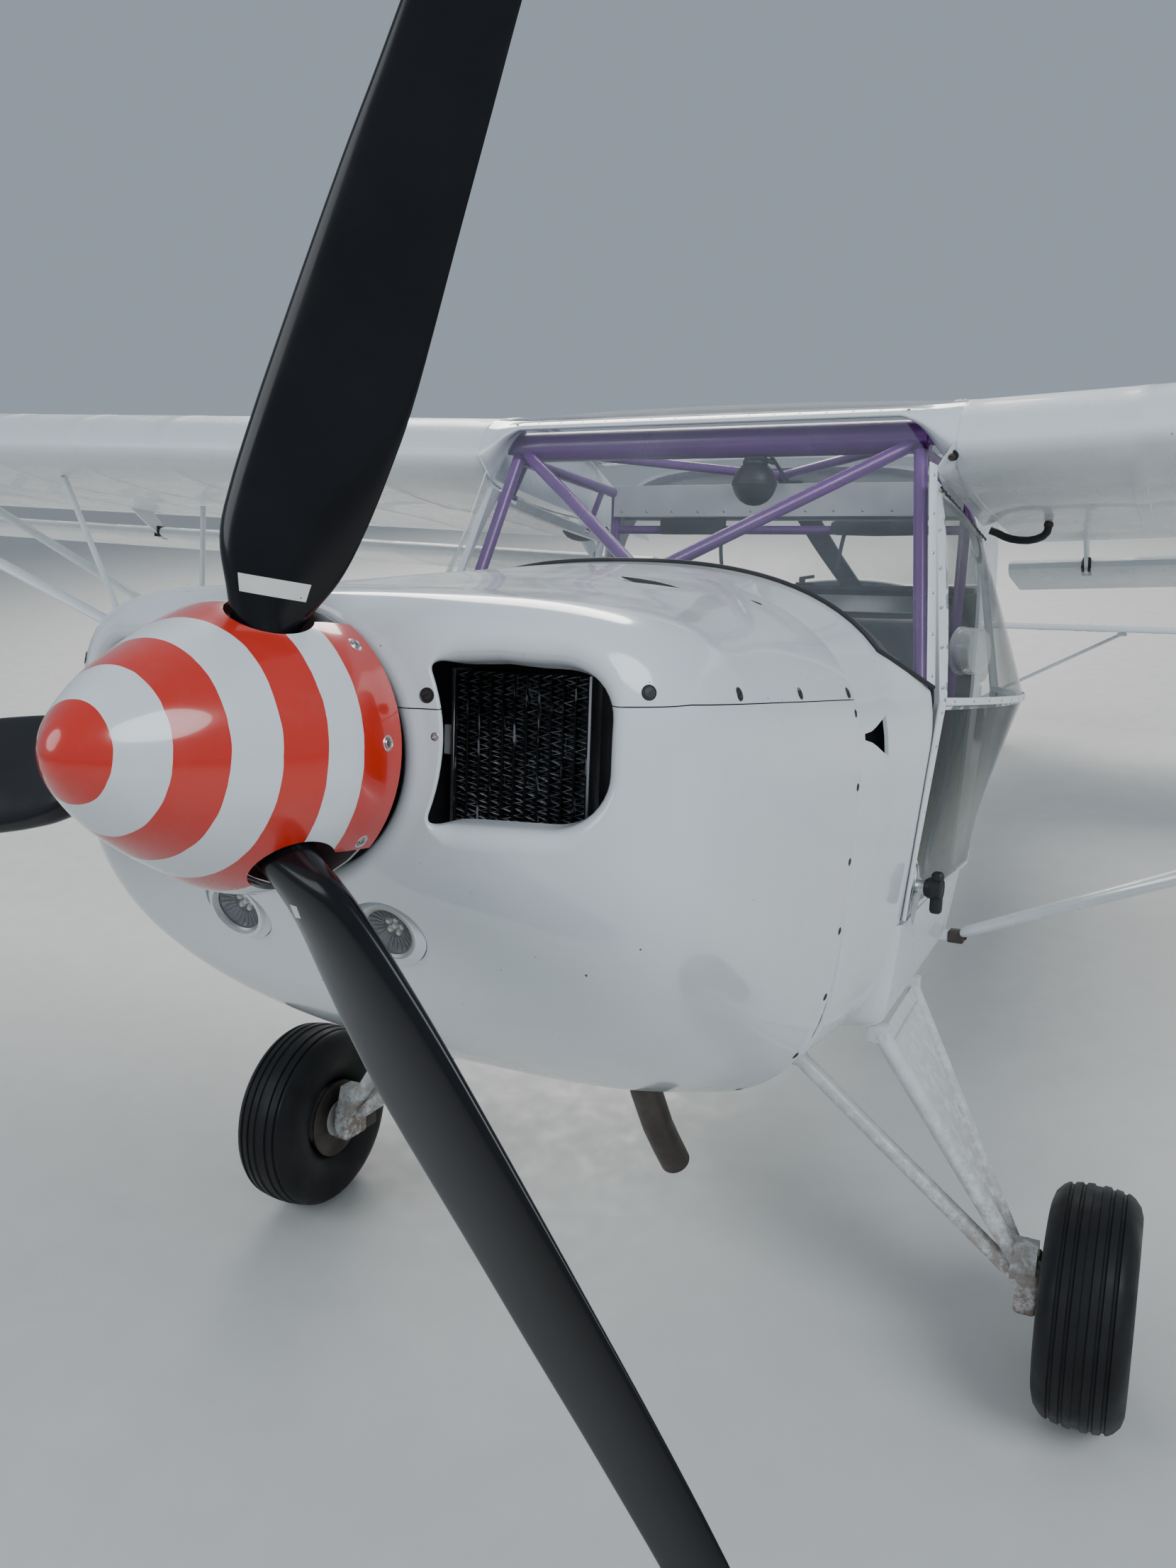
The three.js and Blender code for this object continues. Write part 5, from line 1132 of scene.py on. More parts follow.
# The left ends of the cabin's tubes, the tubes that join them with their widths, and the level cross tubes as
# half length, place along the aircraft, height and width
TUBE_ENDS = {
    "corner": (418, 372, 532), "apex": (0, 60, 262), "post_foot": (424, 162, -462),
    "post_belt": (472, 172, 62), "post_head": (410, 345, 506), "rear_head": (416, 850, 486),
    "rear_foot": (400, 850, -474), "roof_rear": (0, 840, 520),
}
TUBES = [("corner", "apex", 25), ("post_foot", "post_belt", 25), ("post_belt", "post_head", 25),
         ("post_head", "rear_head", 24), ("rear_head", "rear_foot", 24), ("post_foot", "rear_foot", 24),
         ("post_head", "corner", 24), ("corner", "roof_rear", 20), ("post_belt", "apex", 20)]
CROSS_TUBES = [(420, 372, 532, 60), (416, 850, 486, 26), (416, 850, 400, 20), (400, 850, -474, 24),
               (424, 162, -462, 24), (408, 850, -60, 24)]
# The left door's hinge line, front and rear, and its fixed knuckles as shares of it
KNUCKLES = ((0.12, 0.18), (0.82, 0.88))
HINGE = (Vector((446, 300, 442)), Vector((448, 845, 389)))


def make_cabin_frame():
    parts = []
    for start, end, width in TUBES:
        for side, _ in SIDES:
            ends = sided(side, (TUBE_ENDS[start], TUBE_ENDS[end]))
            parts.append(tube("tube", ends, width, sides=20))
            parts.extend(turned("weld", [(0, -14), (9, -10), (14, 0), (9, 10), (0, 14)], 14,
                                Matrix.Translation(p)) for p in ends)
    for x, y, z, width in CROSS_TUBES:
        parts.append(tube("tube", [(-x, y, z), (x, y, z)], width, sides=32 if width > 40 else 20))
    for side, _ in SIDES:
        for low, high in (((368, 150, -490), (392, 174, -462)), ((390, 846, -200), (418, 864, -160)),
                          ((390, 846, 440), (418, 864, 496)), ((410, 346, 516), (438, 376, 572))):
            parts.append(block("lug", (side * low[0], *low[1:]), (side * high[0], *high[1:]), 2))
        for t0, t1 in KNUCKLES:
            a, b = (HINGE[0].lerp(HINGE[1], t) for t in (t0, t1))
            parts.append(tube("knuckle", sided(side, (a, b)), 12, sides=16))
            mid = a.lerp(b, 0.5)
            parts.append(bar("arm", (side * mid.x, mid.y, mid.z),
                             (side * 411, mid.y, 508 - 0.04 * (mid.y - 345)), 10, 26, 12))
    finished(joined("cabin_tubes", parts), PURPLE, "cabin_frame", angle=30)


HEADER_COVER = (431, 502)  # its lower and upper edge


def make_header():
    room = lofted("room", [body_ring(row, 11) for row in eased(REAR_BODY[:3], 6)])
    beam = block("header_panel", (-470, 888, 428), (470, 893, 509), 0)
    combined(beam, copied(room, "room_copy"), "INTERSECT")
    lip = combined(block("header_lip", (-470, 888, 426), (470, 914, 431), 0), room, "INTERSECT")
    finished(joined("header_sheet", [beam, lip]), GREY_PANEL, "rear_roof_panel")
    cover = block("header_cover", (-412, 828, HEADER_COVER[0]), (412, 831, HEADER_COVER[1]), 0.8, 1)
    edge = block("cover_edge", (-412, 828, HEADER_COVER[0] - 2), (412, 846, HEADER_COVER[0] + 1.5), 0.8, 1)
    finished(joined("header_cover", [cover, edge]), GREY_PANEL)
    places = [((x, 828, HEADER_COVER[0] + 10), (0, -1, 0)) for x in (-390 + 780 * i / 12 for i in range(13))]
    finished(scattered("header_rivets", rivet(3), places), ZINC)
    lining = body_layer("baggage_lining", CABIN_ROWS, 7.4, 9.4)
    combined(lining, block("room", (-480, 872, -600), (480, 1500, 268), 0), "INTERSECT")
    finished(lining, DARK_CLOTH)
    catch = [block("catch", (34, 886, 278.4), (78, 902, 284), 2),
             block("catch", (40, 890, 283), (54, 900, 297), 3),
             bar("catch", (44, 894, 293), (76, 894, 298), 8, sides=10)]
    finished(joined("shelf_catch", catch), BLACK_PLASTIC)
    spine = body_layer("roof_spine", CABIN_ROWS, 12, 18)
    combined(spine, block("room", (-29, 914, 255), (29, 1572, 620), 0), "INTERSECT")
    finished(spine, BLACK_PLASTIC)
    roll = tube("rolled_blind", [(130, 822, 404), (140, 822, 404), (230, 822, 402), (330, 822, 404),
                                 (338, 822, 404)], 34, sides=18, widths=(0.7, 1, 1, 1, 0.7))
    finished(roll, DARK_CLOTH)
    holder = block("rear_bracket", (-287, 820, 388), (-125, 838, 423), 4)
    finished(holder, BLACK_PLASTIC)
    straps = []
    for x, y, top, x2, low in ((-134, 832, 392, -130, 316), (158, 828, 392, 146, 312)):
        points = [Vector((x + (x2 - x) * k / 6, y - 6 * math.sin(math.pi * k / 6),
                          top + (low - top) * k / 6)) for k in range(7)]
        straps.append(strip_along("strap", points, [Vector((0, -1, 0))] * 7, 9, 2))
    finished(joined("hanging_straps", straps), DARK_CLOTH)
    finished(bar("trim_rod", (49, 560, 548), (27, 800, 506), 8, sides=12), BLACK_PLASTIC)


def make_compass():
    ball = turned("ball", [(0, -42), (14, -39.6), (26, -33), (35, -23), (40.6, -11), (42, -4), (43.4, -4),
                           (43.4, 4), (42, 4), (40.6, 11), (35, 23), (26, 33), (14, 39.6), (0, 42)], 40,
                  placed(95, 366, 452))
    stem = block("stem", (74, 357, 489), (116, 375, 503.5), 3)
    collar = turned("collar", [(0, 486), (22, 486), (24, 488), (24, 494), (20, 497), (0, 497)], 30,
                    placed(95, 366, 0))
    arm = bar("arm", (116, 366, 496), (134, 362, 490), 9, sides=10)
    finished(joined("compass_ball", [ball, stem, collar, arm]), BLACK_PLASTIC, "compass", angle=30)


def make_sticks():
    parts = [bar("cross", (-230, 330, -462), (230, 330, -462), 24)]
    grips = []
    for side, _ in SIDES:
        x = side * SEAT_MIDDLE
        parts.append(tube("stick", [(x, 330, -462), (x, 318, -370), (x, 300, -190)], 21, sides=18))
        parts.append(block("mount", (side * 108, 315, -491), (side * 132, 345, -455), 2))
        heights = ((300, -196), (299, -186), (297, -160), (295, -125), (292, -92), (291, -80))
        line = [(x, y, z) for y, z in heights]
        grips.append(tube("grip", line, 34, 38, sides=24, widths=(0.75, 0.95, 1, 0.88, 1.02, 0.7)))
    finished(joined("stick_tubes", parts), TRIM_WHITE, "control_sticks")
    finished(joined("stick_grips", grips), SOFT_RUBBER, slot="black_plastic")


PANEL_FACE_Y = -4
# Round instruments as across, up and radius
GAUGES = [(-310, 112, 40), (-213, 146, 40), (-116, 160, 40), (116, 160, 40), (213, 146, 40), (310, 112, 40),
          (-262, 34, 28), (-190, 60, 28), (190, 60, 28), (262, 34, 28), (0, 205, 30)]


def gauge(x, z, radius):
    """A round instrument: its black parts, and its plain marks and needle."""
    place = placed(x, PANEL_FACE_Y, z, -QUARTER, "X")
    bezel = turned("bezel", [(radius - 3, 0), (radius + 3, 0), (radius + 3, 2.5), (radius + 1, 4.5),
                             (radius - 3, 3), (radius - 3, 0)], 40, place)
    face = turned("face", [(0, 0.2), (radius - 3, 0.2), (radius - 3, 1.0), (0, 1.0)], 40, place)
    marks = [block("needle", (-0.9, -6, 1.9), (0.9, radius * 0.62, 2.4), 0)]
    marks[0].data.transform(place @ Matrix.Rotation(math.radians(130 - x * 0.4), 4, "Z"))
    for k in range(13):
        start = radius * (0.74 if k % 3 else 0.66)
        marks.append(block("mark", (-0.6, start, 1.0), (0.6, radius - 5, 1.5), 0))
        marks[-1].data.transform(place @ Matrix.Rotation(math.radians(-135 + 22.5 * k), 4, "Z"))
    return [bezel, face], marks


def make_panel_details():
    black, white, metal = [], [], []
    for x, z, radius in GAUGES:
        parts, marks = gauge(x, z, radius)
        black += parts
        white += marks
    face = PANEL_FACE_Y
    for low, high in ((48, 92), (0, 44)):
        black.append(block("radio", (-78, face, low), (78, face + 9, high), 2))
        white.append(block("display", (-44, face + 8.6, low + 14), (44, face + 9.3, high - 12), 0))
        for x in (-62, 62):
            black.append(turned("dial", [(0, 8), (9, 8), (9, 17), (8, 18), (0, 18)], 20,
                                placed(x, face, (low + high) / 2, -QUARTER, "X")))
    for i in range(8):
        x = (i - 3.5) * 34 + (-210 if i < 4 else 210) * 0.55
        metal.append(turned("switch", [(0, 0), (5, 0), (5, 4), (2.4, 5), (2, 17), (3, 19), (0, 20)], 14,
                            placed(x, face, -14, 0.3 - QUARTER, "X")))
    for x, reach in ((-130, 60), (130, 74)):
        metal.append(tube("plunger", [(x, face, 10), (x, face + reach, 10)], 8, sides=14))
        black.append(turned("plunger_knob", [(0, 0), (12, 1), (17, 6), (17, 14), (12, 19), (0, 20)], 24,
                            placed(x, face + reach - 4, 10, -QUARTER, "X")))
    finished(joined("panel_instruments", black), BLACK_PLASTIC)
    finished(joined("panel_marks", white), LABEL)
    finished(joined("panel_switches", metal), ALLOY)


def make_pedals():
    """Two rudder pedals ahead of each seat, on one cross tube."""
    parts = [bar("pedal_tube", (-330, 50, -470), (330, 50, -470), 20)]
    for side, _ in SIDES:
        for x in (side * SEAT_MIDDLE - 75, side * SEAT_MIDDLE + 75):
            route = [(x, 50, -470), (x, 42, -420), (x, 22, -350), (x, 18, -322)]
            parts.append(tube("pedal_arm", route, 14, sides=14))
            parts.append(bar("pedal_foot", (x - 38, 18, -322), (x + 38, 18, -322), 20))
            parts.append(block("pedal_bearing", (x - 9, 38, -497), (x + 9, 62, -466), 3))
    finished(joined("rudder_pedals", parts), ALLOY)


def make_tub():
    """Floor and side skirts under the doors, with a round edge along the belly."""
    rings = []
    for y, sill, sill_z, corner, bottom in ((POST_Y + 0.3, 477, -312, 458, -500),
                                            (CABIN_REAR_Y - 0.3, 457, -331, 432, -513)):
        outer = eased([(sill, sill_z), (corner + 4, bottom + 45), (corner - 6, bottom + 14),
                       (corner - 34, bottom)], 5)
        inner = eased([(corner - 38, bottom + 10), (corner - 16, bottom + 22), (corner - 7, bottom + 48),
                       (sill - 10, sill_z)], 5)
        mirrored = lambda half: [(-x, z) for x, z in reversed(half)]
        rings.append([(x, y, z) for x, z in outer + mirrored(outer) + mirrored(inner) + inner])
    finished(lofted("cabin_skirts", ruled(*rings, 8)), FABRIC_WHITE, "cabin_tub", angle=30)
    start = [(467, -306), (461.5, -350), (451.5, -400), (430, -449), (393, -481), (338, -496)]
    end = [(476.5, -312), (472, -358), (467, -405), (461.5, -453), (451, -485.5), (423, -499.5)]
    pairs = list(zip(eased(start, 5), eased(end, 5)))
    for side, name in SIDES:
        rows = []
        for k in range(13):
            y, part = 62 + 65 * k / 12, (k / 12) ** 1.5
            row = [Vector((a[0] - 1.5, y, a[1])).lerp(Vector((b[0], y, b[1])), part) for a, b in pairs]
            rows.append(sided(side, row))
        corner = gridded(f"skirt_corner_{name}", rows, 1.2, (0, 90, -200))
        finished(corner, FABRIC_WHITE)
    mat = [block("floor_mat", (-400, 140, -497), (400, 372, -484), 2)]
    mat += [block("rib", (x - 2, 150, -484.4), (x + 2, 362, -482), 0.6, 1) for x in range(-380, 381, 20)]
    finished(joined("floor_mat", mat), SOFT_RUBBER)


make_cabin_frame()
make_header()
make_compass()
make_sticks()
make_panel_details()
make_pedals()
make_tub()


# Wings

# The root section as (y, z), from the rear edge along the underside and back over the top
WING_SECTION = [
    (1212, 397), (1090, 407), (950, 415), (800, 420), (650, 424), (520, 432), (420, 445), (352, 462),
    (318, 482), (304, 497), (300, 512), (306, 535), (322, 560), (352, 582), (420, 601), (520, 608),
    (650, 600), (800, 571), (950, 522), (1090, 464), (1212, 404),
]
WING_ROOT_X, WING_END_X = 480, 4560
RIB_BAYS = 14
# The tip's sections as place across, share of the chord and share of the thickness
WING_TIP = [(4560, 1, 1), (4700, 0.985, 0.95), (4800, 0.95, 0.78), (4855, 0.89, 0.5), (4880, 0.82, 0.2)]


def wing_ring(x, chord, thickness, sag=0.0, tape=0.0):
    """The wing's section at one place; the fabric sags between ribs and a tape stands proud on each."""
    ring = []
    for y, z in eased(WING_SECTION, 3):
        covered = min(1, max(0, (y - 430) / 60)) * min(1, max(0, (1195 - y) / 60))
        face = 1 if z > 410 + (608 - 410) * 0.30 else -1
        z += face * (tape * min(1, covered + 0.6) - sag * covered)
        ring.append((x, 700 + (y - 700) * chord, 440 + (z - 440) * thickness + (x - WING_ROOT_X) * DIHEDRAL))
    return ring


HANGERS = (640, 2250, 3860)
FLAP = {"y": 1226, "z": 336, "inner": 466, "outer": 4700, "droop": math.radians(10)}
flap_hinge_z = lambda x: FLAP["z"] + (x - WING_ROOT_X) * DIHEDRAL


def make_flaperons():
    section = [(-26, 0), (-25, 7), (-20, 13), (-6, 19), (20, 21), (60, 19), (120, 14), (180, 8), (236, 1.6),
               (236, -1.6), (180, -5), (120, -9), (60, -13), (20, -15), (-6, -14), (-20, -10), (-25, -6)]
    c, s = math.cos(FLAP["droop"]), math.sin(FLAP["droop"])
    rings, bays = [], 15
    for bay in range(bays):
        for share, swell in ((0, 0.8), (0.03, 0.8), (0.035, 0), (0.5, -1.2), (0.965, 0), (0.97, 0.8)):
            x = FLAP["inner"] + (FLAP["outer"] - FLAP["inner"]) * (bay + share) / bays
            ring = []
            for a, b in section:
                b += math.copysign(swell, b) * (1 if -10 < a < 200 else 0.3)
                ring.append((x, FLAP["y"] + a * c + b * s, flap_hinge_z(x) - a * s + b * c))
            rings.append(ring)
    rise = (FLAP["outer"] - rings[-1][0][0]) * DIHEDRAL
    rings.append([(FLAP["outer"], y, z + rise) for _, y, z in rings[-1]])
    master = lofted("flaperon", rings)
    for x in HANGERS:
        z = flap_hinge_z(x)
        combined(master, block("slot", (x - 11, FLAP["y"] - 60, z - 40), (x + 11, FLAP["y"] + 23, z + 60), 0))
    pins = [rod("pin", 5.6, -13, 13, 16, placed(x, FLAP["y"], flap_hinge_z(x), QUARTER)) for x in HANGERS]
    master = joined("flaperon", [master, *pins])
    for side, name in SIDES:
        piece = copied(master, f"flaperon_{name}_fabric", Matrix() if side > 0 else MIRROR)
        finished(piece, FABRIC_WHITE, f"flaperon_{name}", body=f"flap_{name}", angle=30)
    bpy.data.objects.remove(master)


def make_wings():
    rings, width = [], (WING_END_X - WING_ROOT_X) / RIB_BAYS
    for bay in range(RIB_BAYS):
        x = WING_ROOT_X + bay * width
        for share, sag, tape in ((0, 0, 0.9), (0.04, 0, 0.9), (0.045, 0.2, 0), (0.2, 2.2, 0), (0.5, 3.4, 0),
                                 (0.8, 2.2, 0), (0.955, 0.2, 0), (0.96, 0, 0.9)):
            rings.append(wing_ring(x + share * width, 1, 1, sag, tape))
    rings += [wing_ring(x, c, t) for x, c, t in eased(WING_TIP, 4)]
    for side, name in SIDES:
        wing = lofted(f"wing_{name}_fabric", [[(side * x, y, z) for x, y, z in ring] for ring in rings])
        finished(wing, FABRIC_WHITE, f"wing_{name}", angle=30)
        arms, blocks = [], []
        for x in HANGERS:
            rise, z = (x - WING_ROOT_X) * DIHEDRAL, flap_hinge_z(x)
            outline = [(1050, 430 + rise), (1180, 425 + rise), (1186, 398 + rise), (1238, z + 12),
                       (1240, z - 8), (1222, z - 16), (1120, 385 + rise)]
            arms.append(prism("x", outline, side * x - 4, side * x + 4))
            arms.append(turned("eye", [(0, -5), (13, -5), (14, -3), (14, 3), (13, 5), (0, 5)], 20,
                               placed(side * x, FLAP["y"], z, QUARTER)))
            blocks.append(block("bush", (side * x - 8, 1196, z - 12), (side * x - 4.2, 1236, z + 22), 1.5))
            blocks.append(block("bush", (side * x + 4.2, 1196, z - 12), (side * x + 8, 1236, z + 22), 1.5))
        finished(joined(f"flaperon_hangers_{name}", arms), TRIM_WHITE)
        finished(joined(f"hanger_blocks_{name}", blocks), BLACK_PLASTIC)


def wing_under(y):
    """The height of the wing root's underside at a place along the aircraft."""
    points = WING_SECTION[:11]
    for (y1, z1), (y0, z0) in zip(points, points[1:]):
        if y0 <= y <= y1:
            return z0 + (z1 - z0) * (y - y0) / (y1 - y0)
    return points[-1][1]


# The wing root's nose, the strip over the windscreen, how the one swells into the other across the roof, and
# the skylight's line along the roof
ROOT_NOSE = [(300, 512), (306, 535), (322, 560), (352, 582), (380, 590), (380, 560), (362, 520), (345, 466),
             (318, 482), (304, 497)]
EDGE_STRIP = [(291, 559), (297, 566), (312, 573), (345, 581), (352, 582), (352, 570), (336, 566), (322, 563),
              (306, 559), (298, 556)]
ROOT_SWELL = [(380, 0), (392, 0.06), (420, 0.3), (452, 0.72), (479.7, 1)]
ROOF_LINE = [(353, 583), (420, 600), (520, 607), (650, 600), (760, 578), (864, 551)]
ROOT_BOLT = Vector((472, 309, 489))


def make_leading_edge():
    """The strip over the windscreen, which swells at each end into the nose of the wing's root."""
    half = [(x, max(0, min(1, t))) for x, t in eased(ROOT_SWELL, 4)]
    stations = [(-x, t) for x, t in reversed(half)] + half
    rings = []
    for x, t in stations:
        ring = [Vector((x, *a)).lerp(Vector((x, *b)), t) for a, b in zip(EDGE_STRIP, ROOT_NOSE)]
        wrapped = ring[-1:] + ring + ring[:2]
        rings.append([Vector(p) for p in eased(wrapped, 4)[4:4 + 4 * len(ring)]])
    finished(lofted("roof_edge_strip", rings), COWL_WHITE, "roof_leading_edge", angle=50)
    facing = Vector((0, -0.76, -0.65)).to_track_quat("Z", "Y").to_matrix().to_4x4()
    place = Matrix.Translation(ROOT_BOLT) @ facing
    # Painted shade: a dark disc round the root bolt stands for the shade in its recess
    hole = turned("root_bolt_recess_shade", [(0, -3), (11, -3), (11, 0.6), (8, 1), (0, 1)], 24, place)
    bolt = turned("root_bolt", [(0, 0.5), (6.5, 0.5), (6.5, 7), (5.5, 8), (3, 8), (3, 13), (0, 13)], 6, place)
    finished(hole, SOFT_RUBBER)
    finished(bolt, STEEL)


def make_skylight():
    half, crown = 478, 10
    rows = [[(x, y, z + crown * (1 - (x / half) ** 2)) for x in (half * (i / 12 - 1) for i in range(25))]
            for y, z in eased(ROOF_LINE, 4)]
    finished(gridded("skylight_sheet", rows, 3.5, (0, 600, -2000)), WINDSCREEN_CLEAR, "roof_glass")
    strips, places = [], []
    up = Vector((0, 0, 1))
    for side, _ in SIDES:
        edge = [Vector((side * 466, y, z + 1)) for y, z in eased(ROOF_LINE, 4)[2:]]
        strips.append(strip_along("strip", edge, [up] * len(edge), 22, 1.6, 0))
        places += [(p + up * 1.8, up) for p in along_line(edge, 12)]
    rear = [Vector((x, 853, 554 + crown * (1 - (x / half) ** 2)))
            for x in (-464 + 928 * i / 20 for i in range(21))]
    strips.append(strip_along("strip", rear, [up] * 21, 22, 1.6, 0))
    places += [(p + up * 1.8, up) for p in along_line(rear, 15)]
    finished(joined("skylight_strips", strips), TRIM_WHITE)
    finished(scattered("skylight_rivets", rivet(3), places), ZINC)


def make_root_closures():
    """A strip on each side that closes the slot between the door's hinge and the wing's root."""
    for side, name in SIDES:
        rows = []
        for k in range(17):
            hinge = HINGE[0].lerp(HINGE[1], -0.01 + 1.03 * k / 16)
            inner, outer = (hinge.x + 3, hinge.y, hinge.z + 21), (479.4, hinge.y, wing_under(hinge.y) + 1)
            rows.append(sided(side, between(inner, outer, 3)))
        finished(gridded(f"root_closure_{name}", rows, 1.5, (0, 600, 900)), TRIM_WHITE)


def make_fuel_caps():
    pattern = turned("cap", [(0, -9), (38, -9), (38, 1), (36, 2), (31, 2.5), (30, 6), (27, 8), (0, 8.5)], 36)
    ridge = block("ridge", (-22, -3, 8), (22, 3, 14), 2)
    pattern = joined("cap", [pattern, ridge])
    places = [((side * 900, 560, 607 + 420 * DIHEDRAL), (-side * DIHEDRAL, -0.02, 1)) for side, _ in SIDES]
    finished(scattered("fuel_caps", pattern, places), BLACK_PLASTIC)


make_wings()
make_flaperons()
make_leading_edge()
make_skylight()
make_root_closures()
make_fuel_caps()


# Struts and hoses

SPARS = (420, 930)
STRUT_FOOT = Vector((452, 905, -503))
STRUT_TOP_X, JURY_X = 2780, 1800


def make_struts():
    under = lambda x, y: (446 if y < 600 else 415) + (x - WING_ROOT_X) * DIHEDRAL
    for side, name in SIDES:
        tops = [Vector((STRUT_TOP_X, y, under(STRUT_TOP_X, y) - 3)) for y in SPARS]
        share = (JURY_X - STRUT_FOOT.x) / (STRUT_TOP_X - STRUT_FOOT.x)
        mids = [STRUT_FOOT.lerp(top, share) for top in tops]
        parts = []
        for top, width, depth in zip(tops, (24, 22), (56, 48)):
            line = sided(side, [STRUT_FOOT.lerp(top, t) for t in (0.007, 0.009, 0.02, 0.985, 1)])
            parts.append(tube("strut", line, width, depth, 28, widths=(0.8, 0.96, 1, 1, 0.8)))
        for mid, y in zip(mids, SPARS):
            low, high = sided(side, (mid, (JURY_X, y, under(JURY_X, y) - 1)))
            parts.append(tube("jury", [low, high], 16, sides=16))
            parts.append(block("clip", low - Vector((13, 32, 14)), low + Vector((13, 32, 14)), 4))
        parts.append(tube("jury_cross", sided(side, mids), 14, sides=16))
        parts.append(block("bracket", (side * 404, 890, -518), (side * 440, 920, -497), 3))
        finished(joined(f"lift_struts_{name}_tubes", parts), TRIM_WHITE, f"lift_struts_{name}")
        head = turned("bolt", [(0, -1), (9, -1), (9, 5), (8, 6), (0, 6)], 6,
                      placed(side * 470, 905, -505, side * QUARTER))
        clevis = block("clevis", (side * 436, 886, -521), (side * 471, 924, -494), 3)
        finished(joined(f"strut_bolt_{name}", [head, clevis]), STEEL)
        route = [(580, 900, 423), (580, 901, 412), (578, 903, 401), (570, 905, 392), (556, 906, 386),
                 (540, 906, 383), (522, 905.5, 383.5), (505, 904.5, 386), (490, 903, 391), (474, 901, 399),
                 (460, 900, 404)]
        hose = tube(f"fuel_hose_{name}_line", sided(side, route), 16.5, sides=18)
        clamp = turned(f"hose_clamp_{name}", washer(8, 10, -4, 4), 20, placed(side * 580, 900.5, 416))
        finished(hose, SOFT_RUBBER, f"fuel_hose_{name}")
        finished(clamp, STEEL)


make_struts()


# Doors

# The door's front edge up from the sill and its rear edge down from the head, as (y, z)
DOOR_FRONT = [(132, -303), (138, 70), (292, 446)]
DOOR_REAR = [(852, 392), (858, 60), (828, -322)]


def door_point(level, t):
    """A point of the bulged door; level is 0 at the sill, 1 at the rail and 2 at the hinge, t runs aft."""
    lower = level <= 1
    at = lambda a, b: Vector(a).lerp(Vector(b), level if lower else level - 1)
    front = at(DOOR_FRONT[0], DOOR_FRONT[1]) if lower else at(DOOR_FRONT[1], DOOR_FRONT[2])
    rear = at(DOOR_REAR[2], DOOR_REAR[1]) if lower else at(DOOR_REAR[1], DOOR_REAR[0])
    y, z = front.lerp(rear, t)
    away = abs(level - 1)
    lean = 1 - away if lower else (1 - away) ** 0.7
    bulge = 92 * max(0.0, math.sin(math.pi * t)) ** 0.75 * lean
    return Vector((510 + ((476 if lower else 452) - 510) * away + bulge - 8 * t * (1 - away), y, z))


RAIL_Z = 62
LATCH = Vector((476, 190, -255))
VENT = {"x": 527.5, "y": 236, "z": 153, "radius": 40, "height": 30, "turn": math.radians(20)}


def pane_outline(part, inset=0.0):
    """A window opening inside the door's edges; the lower one has its front corner cut off."""
    rim, gap = 14 + inset, 6 + inset
    (y0, z0), (y1, _), (y2, z2) = DOOR_FRONT
    (y3, z3), (y4, _), (y5, z5) = DOOR_REAR
    if part == "lower":
        return [(y0 + rim, z0 + rim + 94), (y0 + rim + 104, z0 + rim), (y5 - rim, z5 + rim),
                (y4 - rim, RAIL_Z - gap), (y1 + rim, RAIL_Z - gap)]
    return [(y1 + rim, RAIL_Z + gap), (y4 - rim, RAIL_Z + gap), (y3 - rim, z3 - rim - 8),
            (y2 + rim + 14, z2 - rim - 12)]


def door_normal(level, t):
    u = door_point(level, min(1, t + 0.02)) - door_point(level, max(0, t - 0.02))
    v = door_point(min(2, level + 0.03), t) - door_point(max(0, level - 0.03), t)
    normal = u.cross(v).normalized()
    return normal if normal.x > 0 else -normal


def door_strip(name, path, width, thick, lift):
    points = [door_point(level, t) for level, t in path]
    normals = [door_normal(level, t) for level, t in path]
    return strip_along(name, points, normals, width, thick, lift)


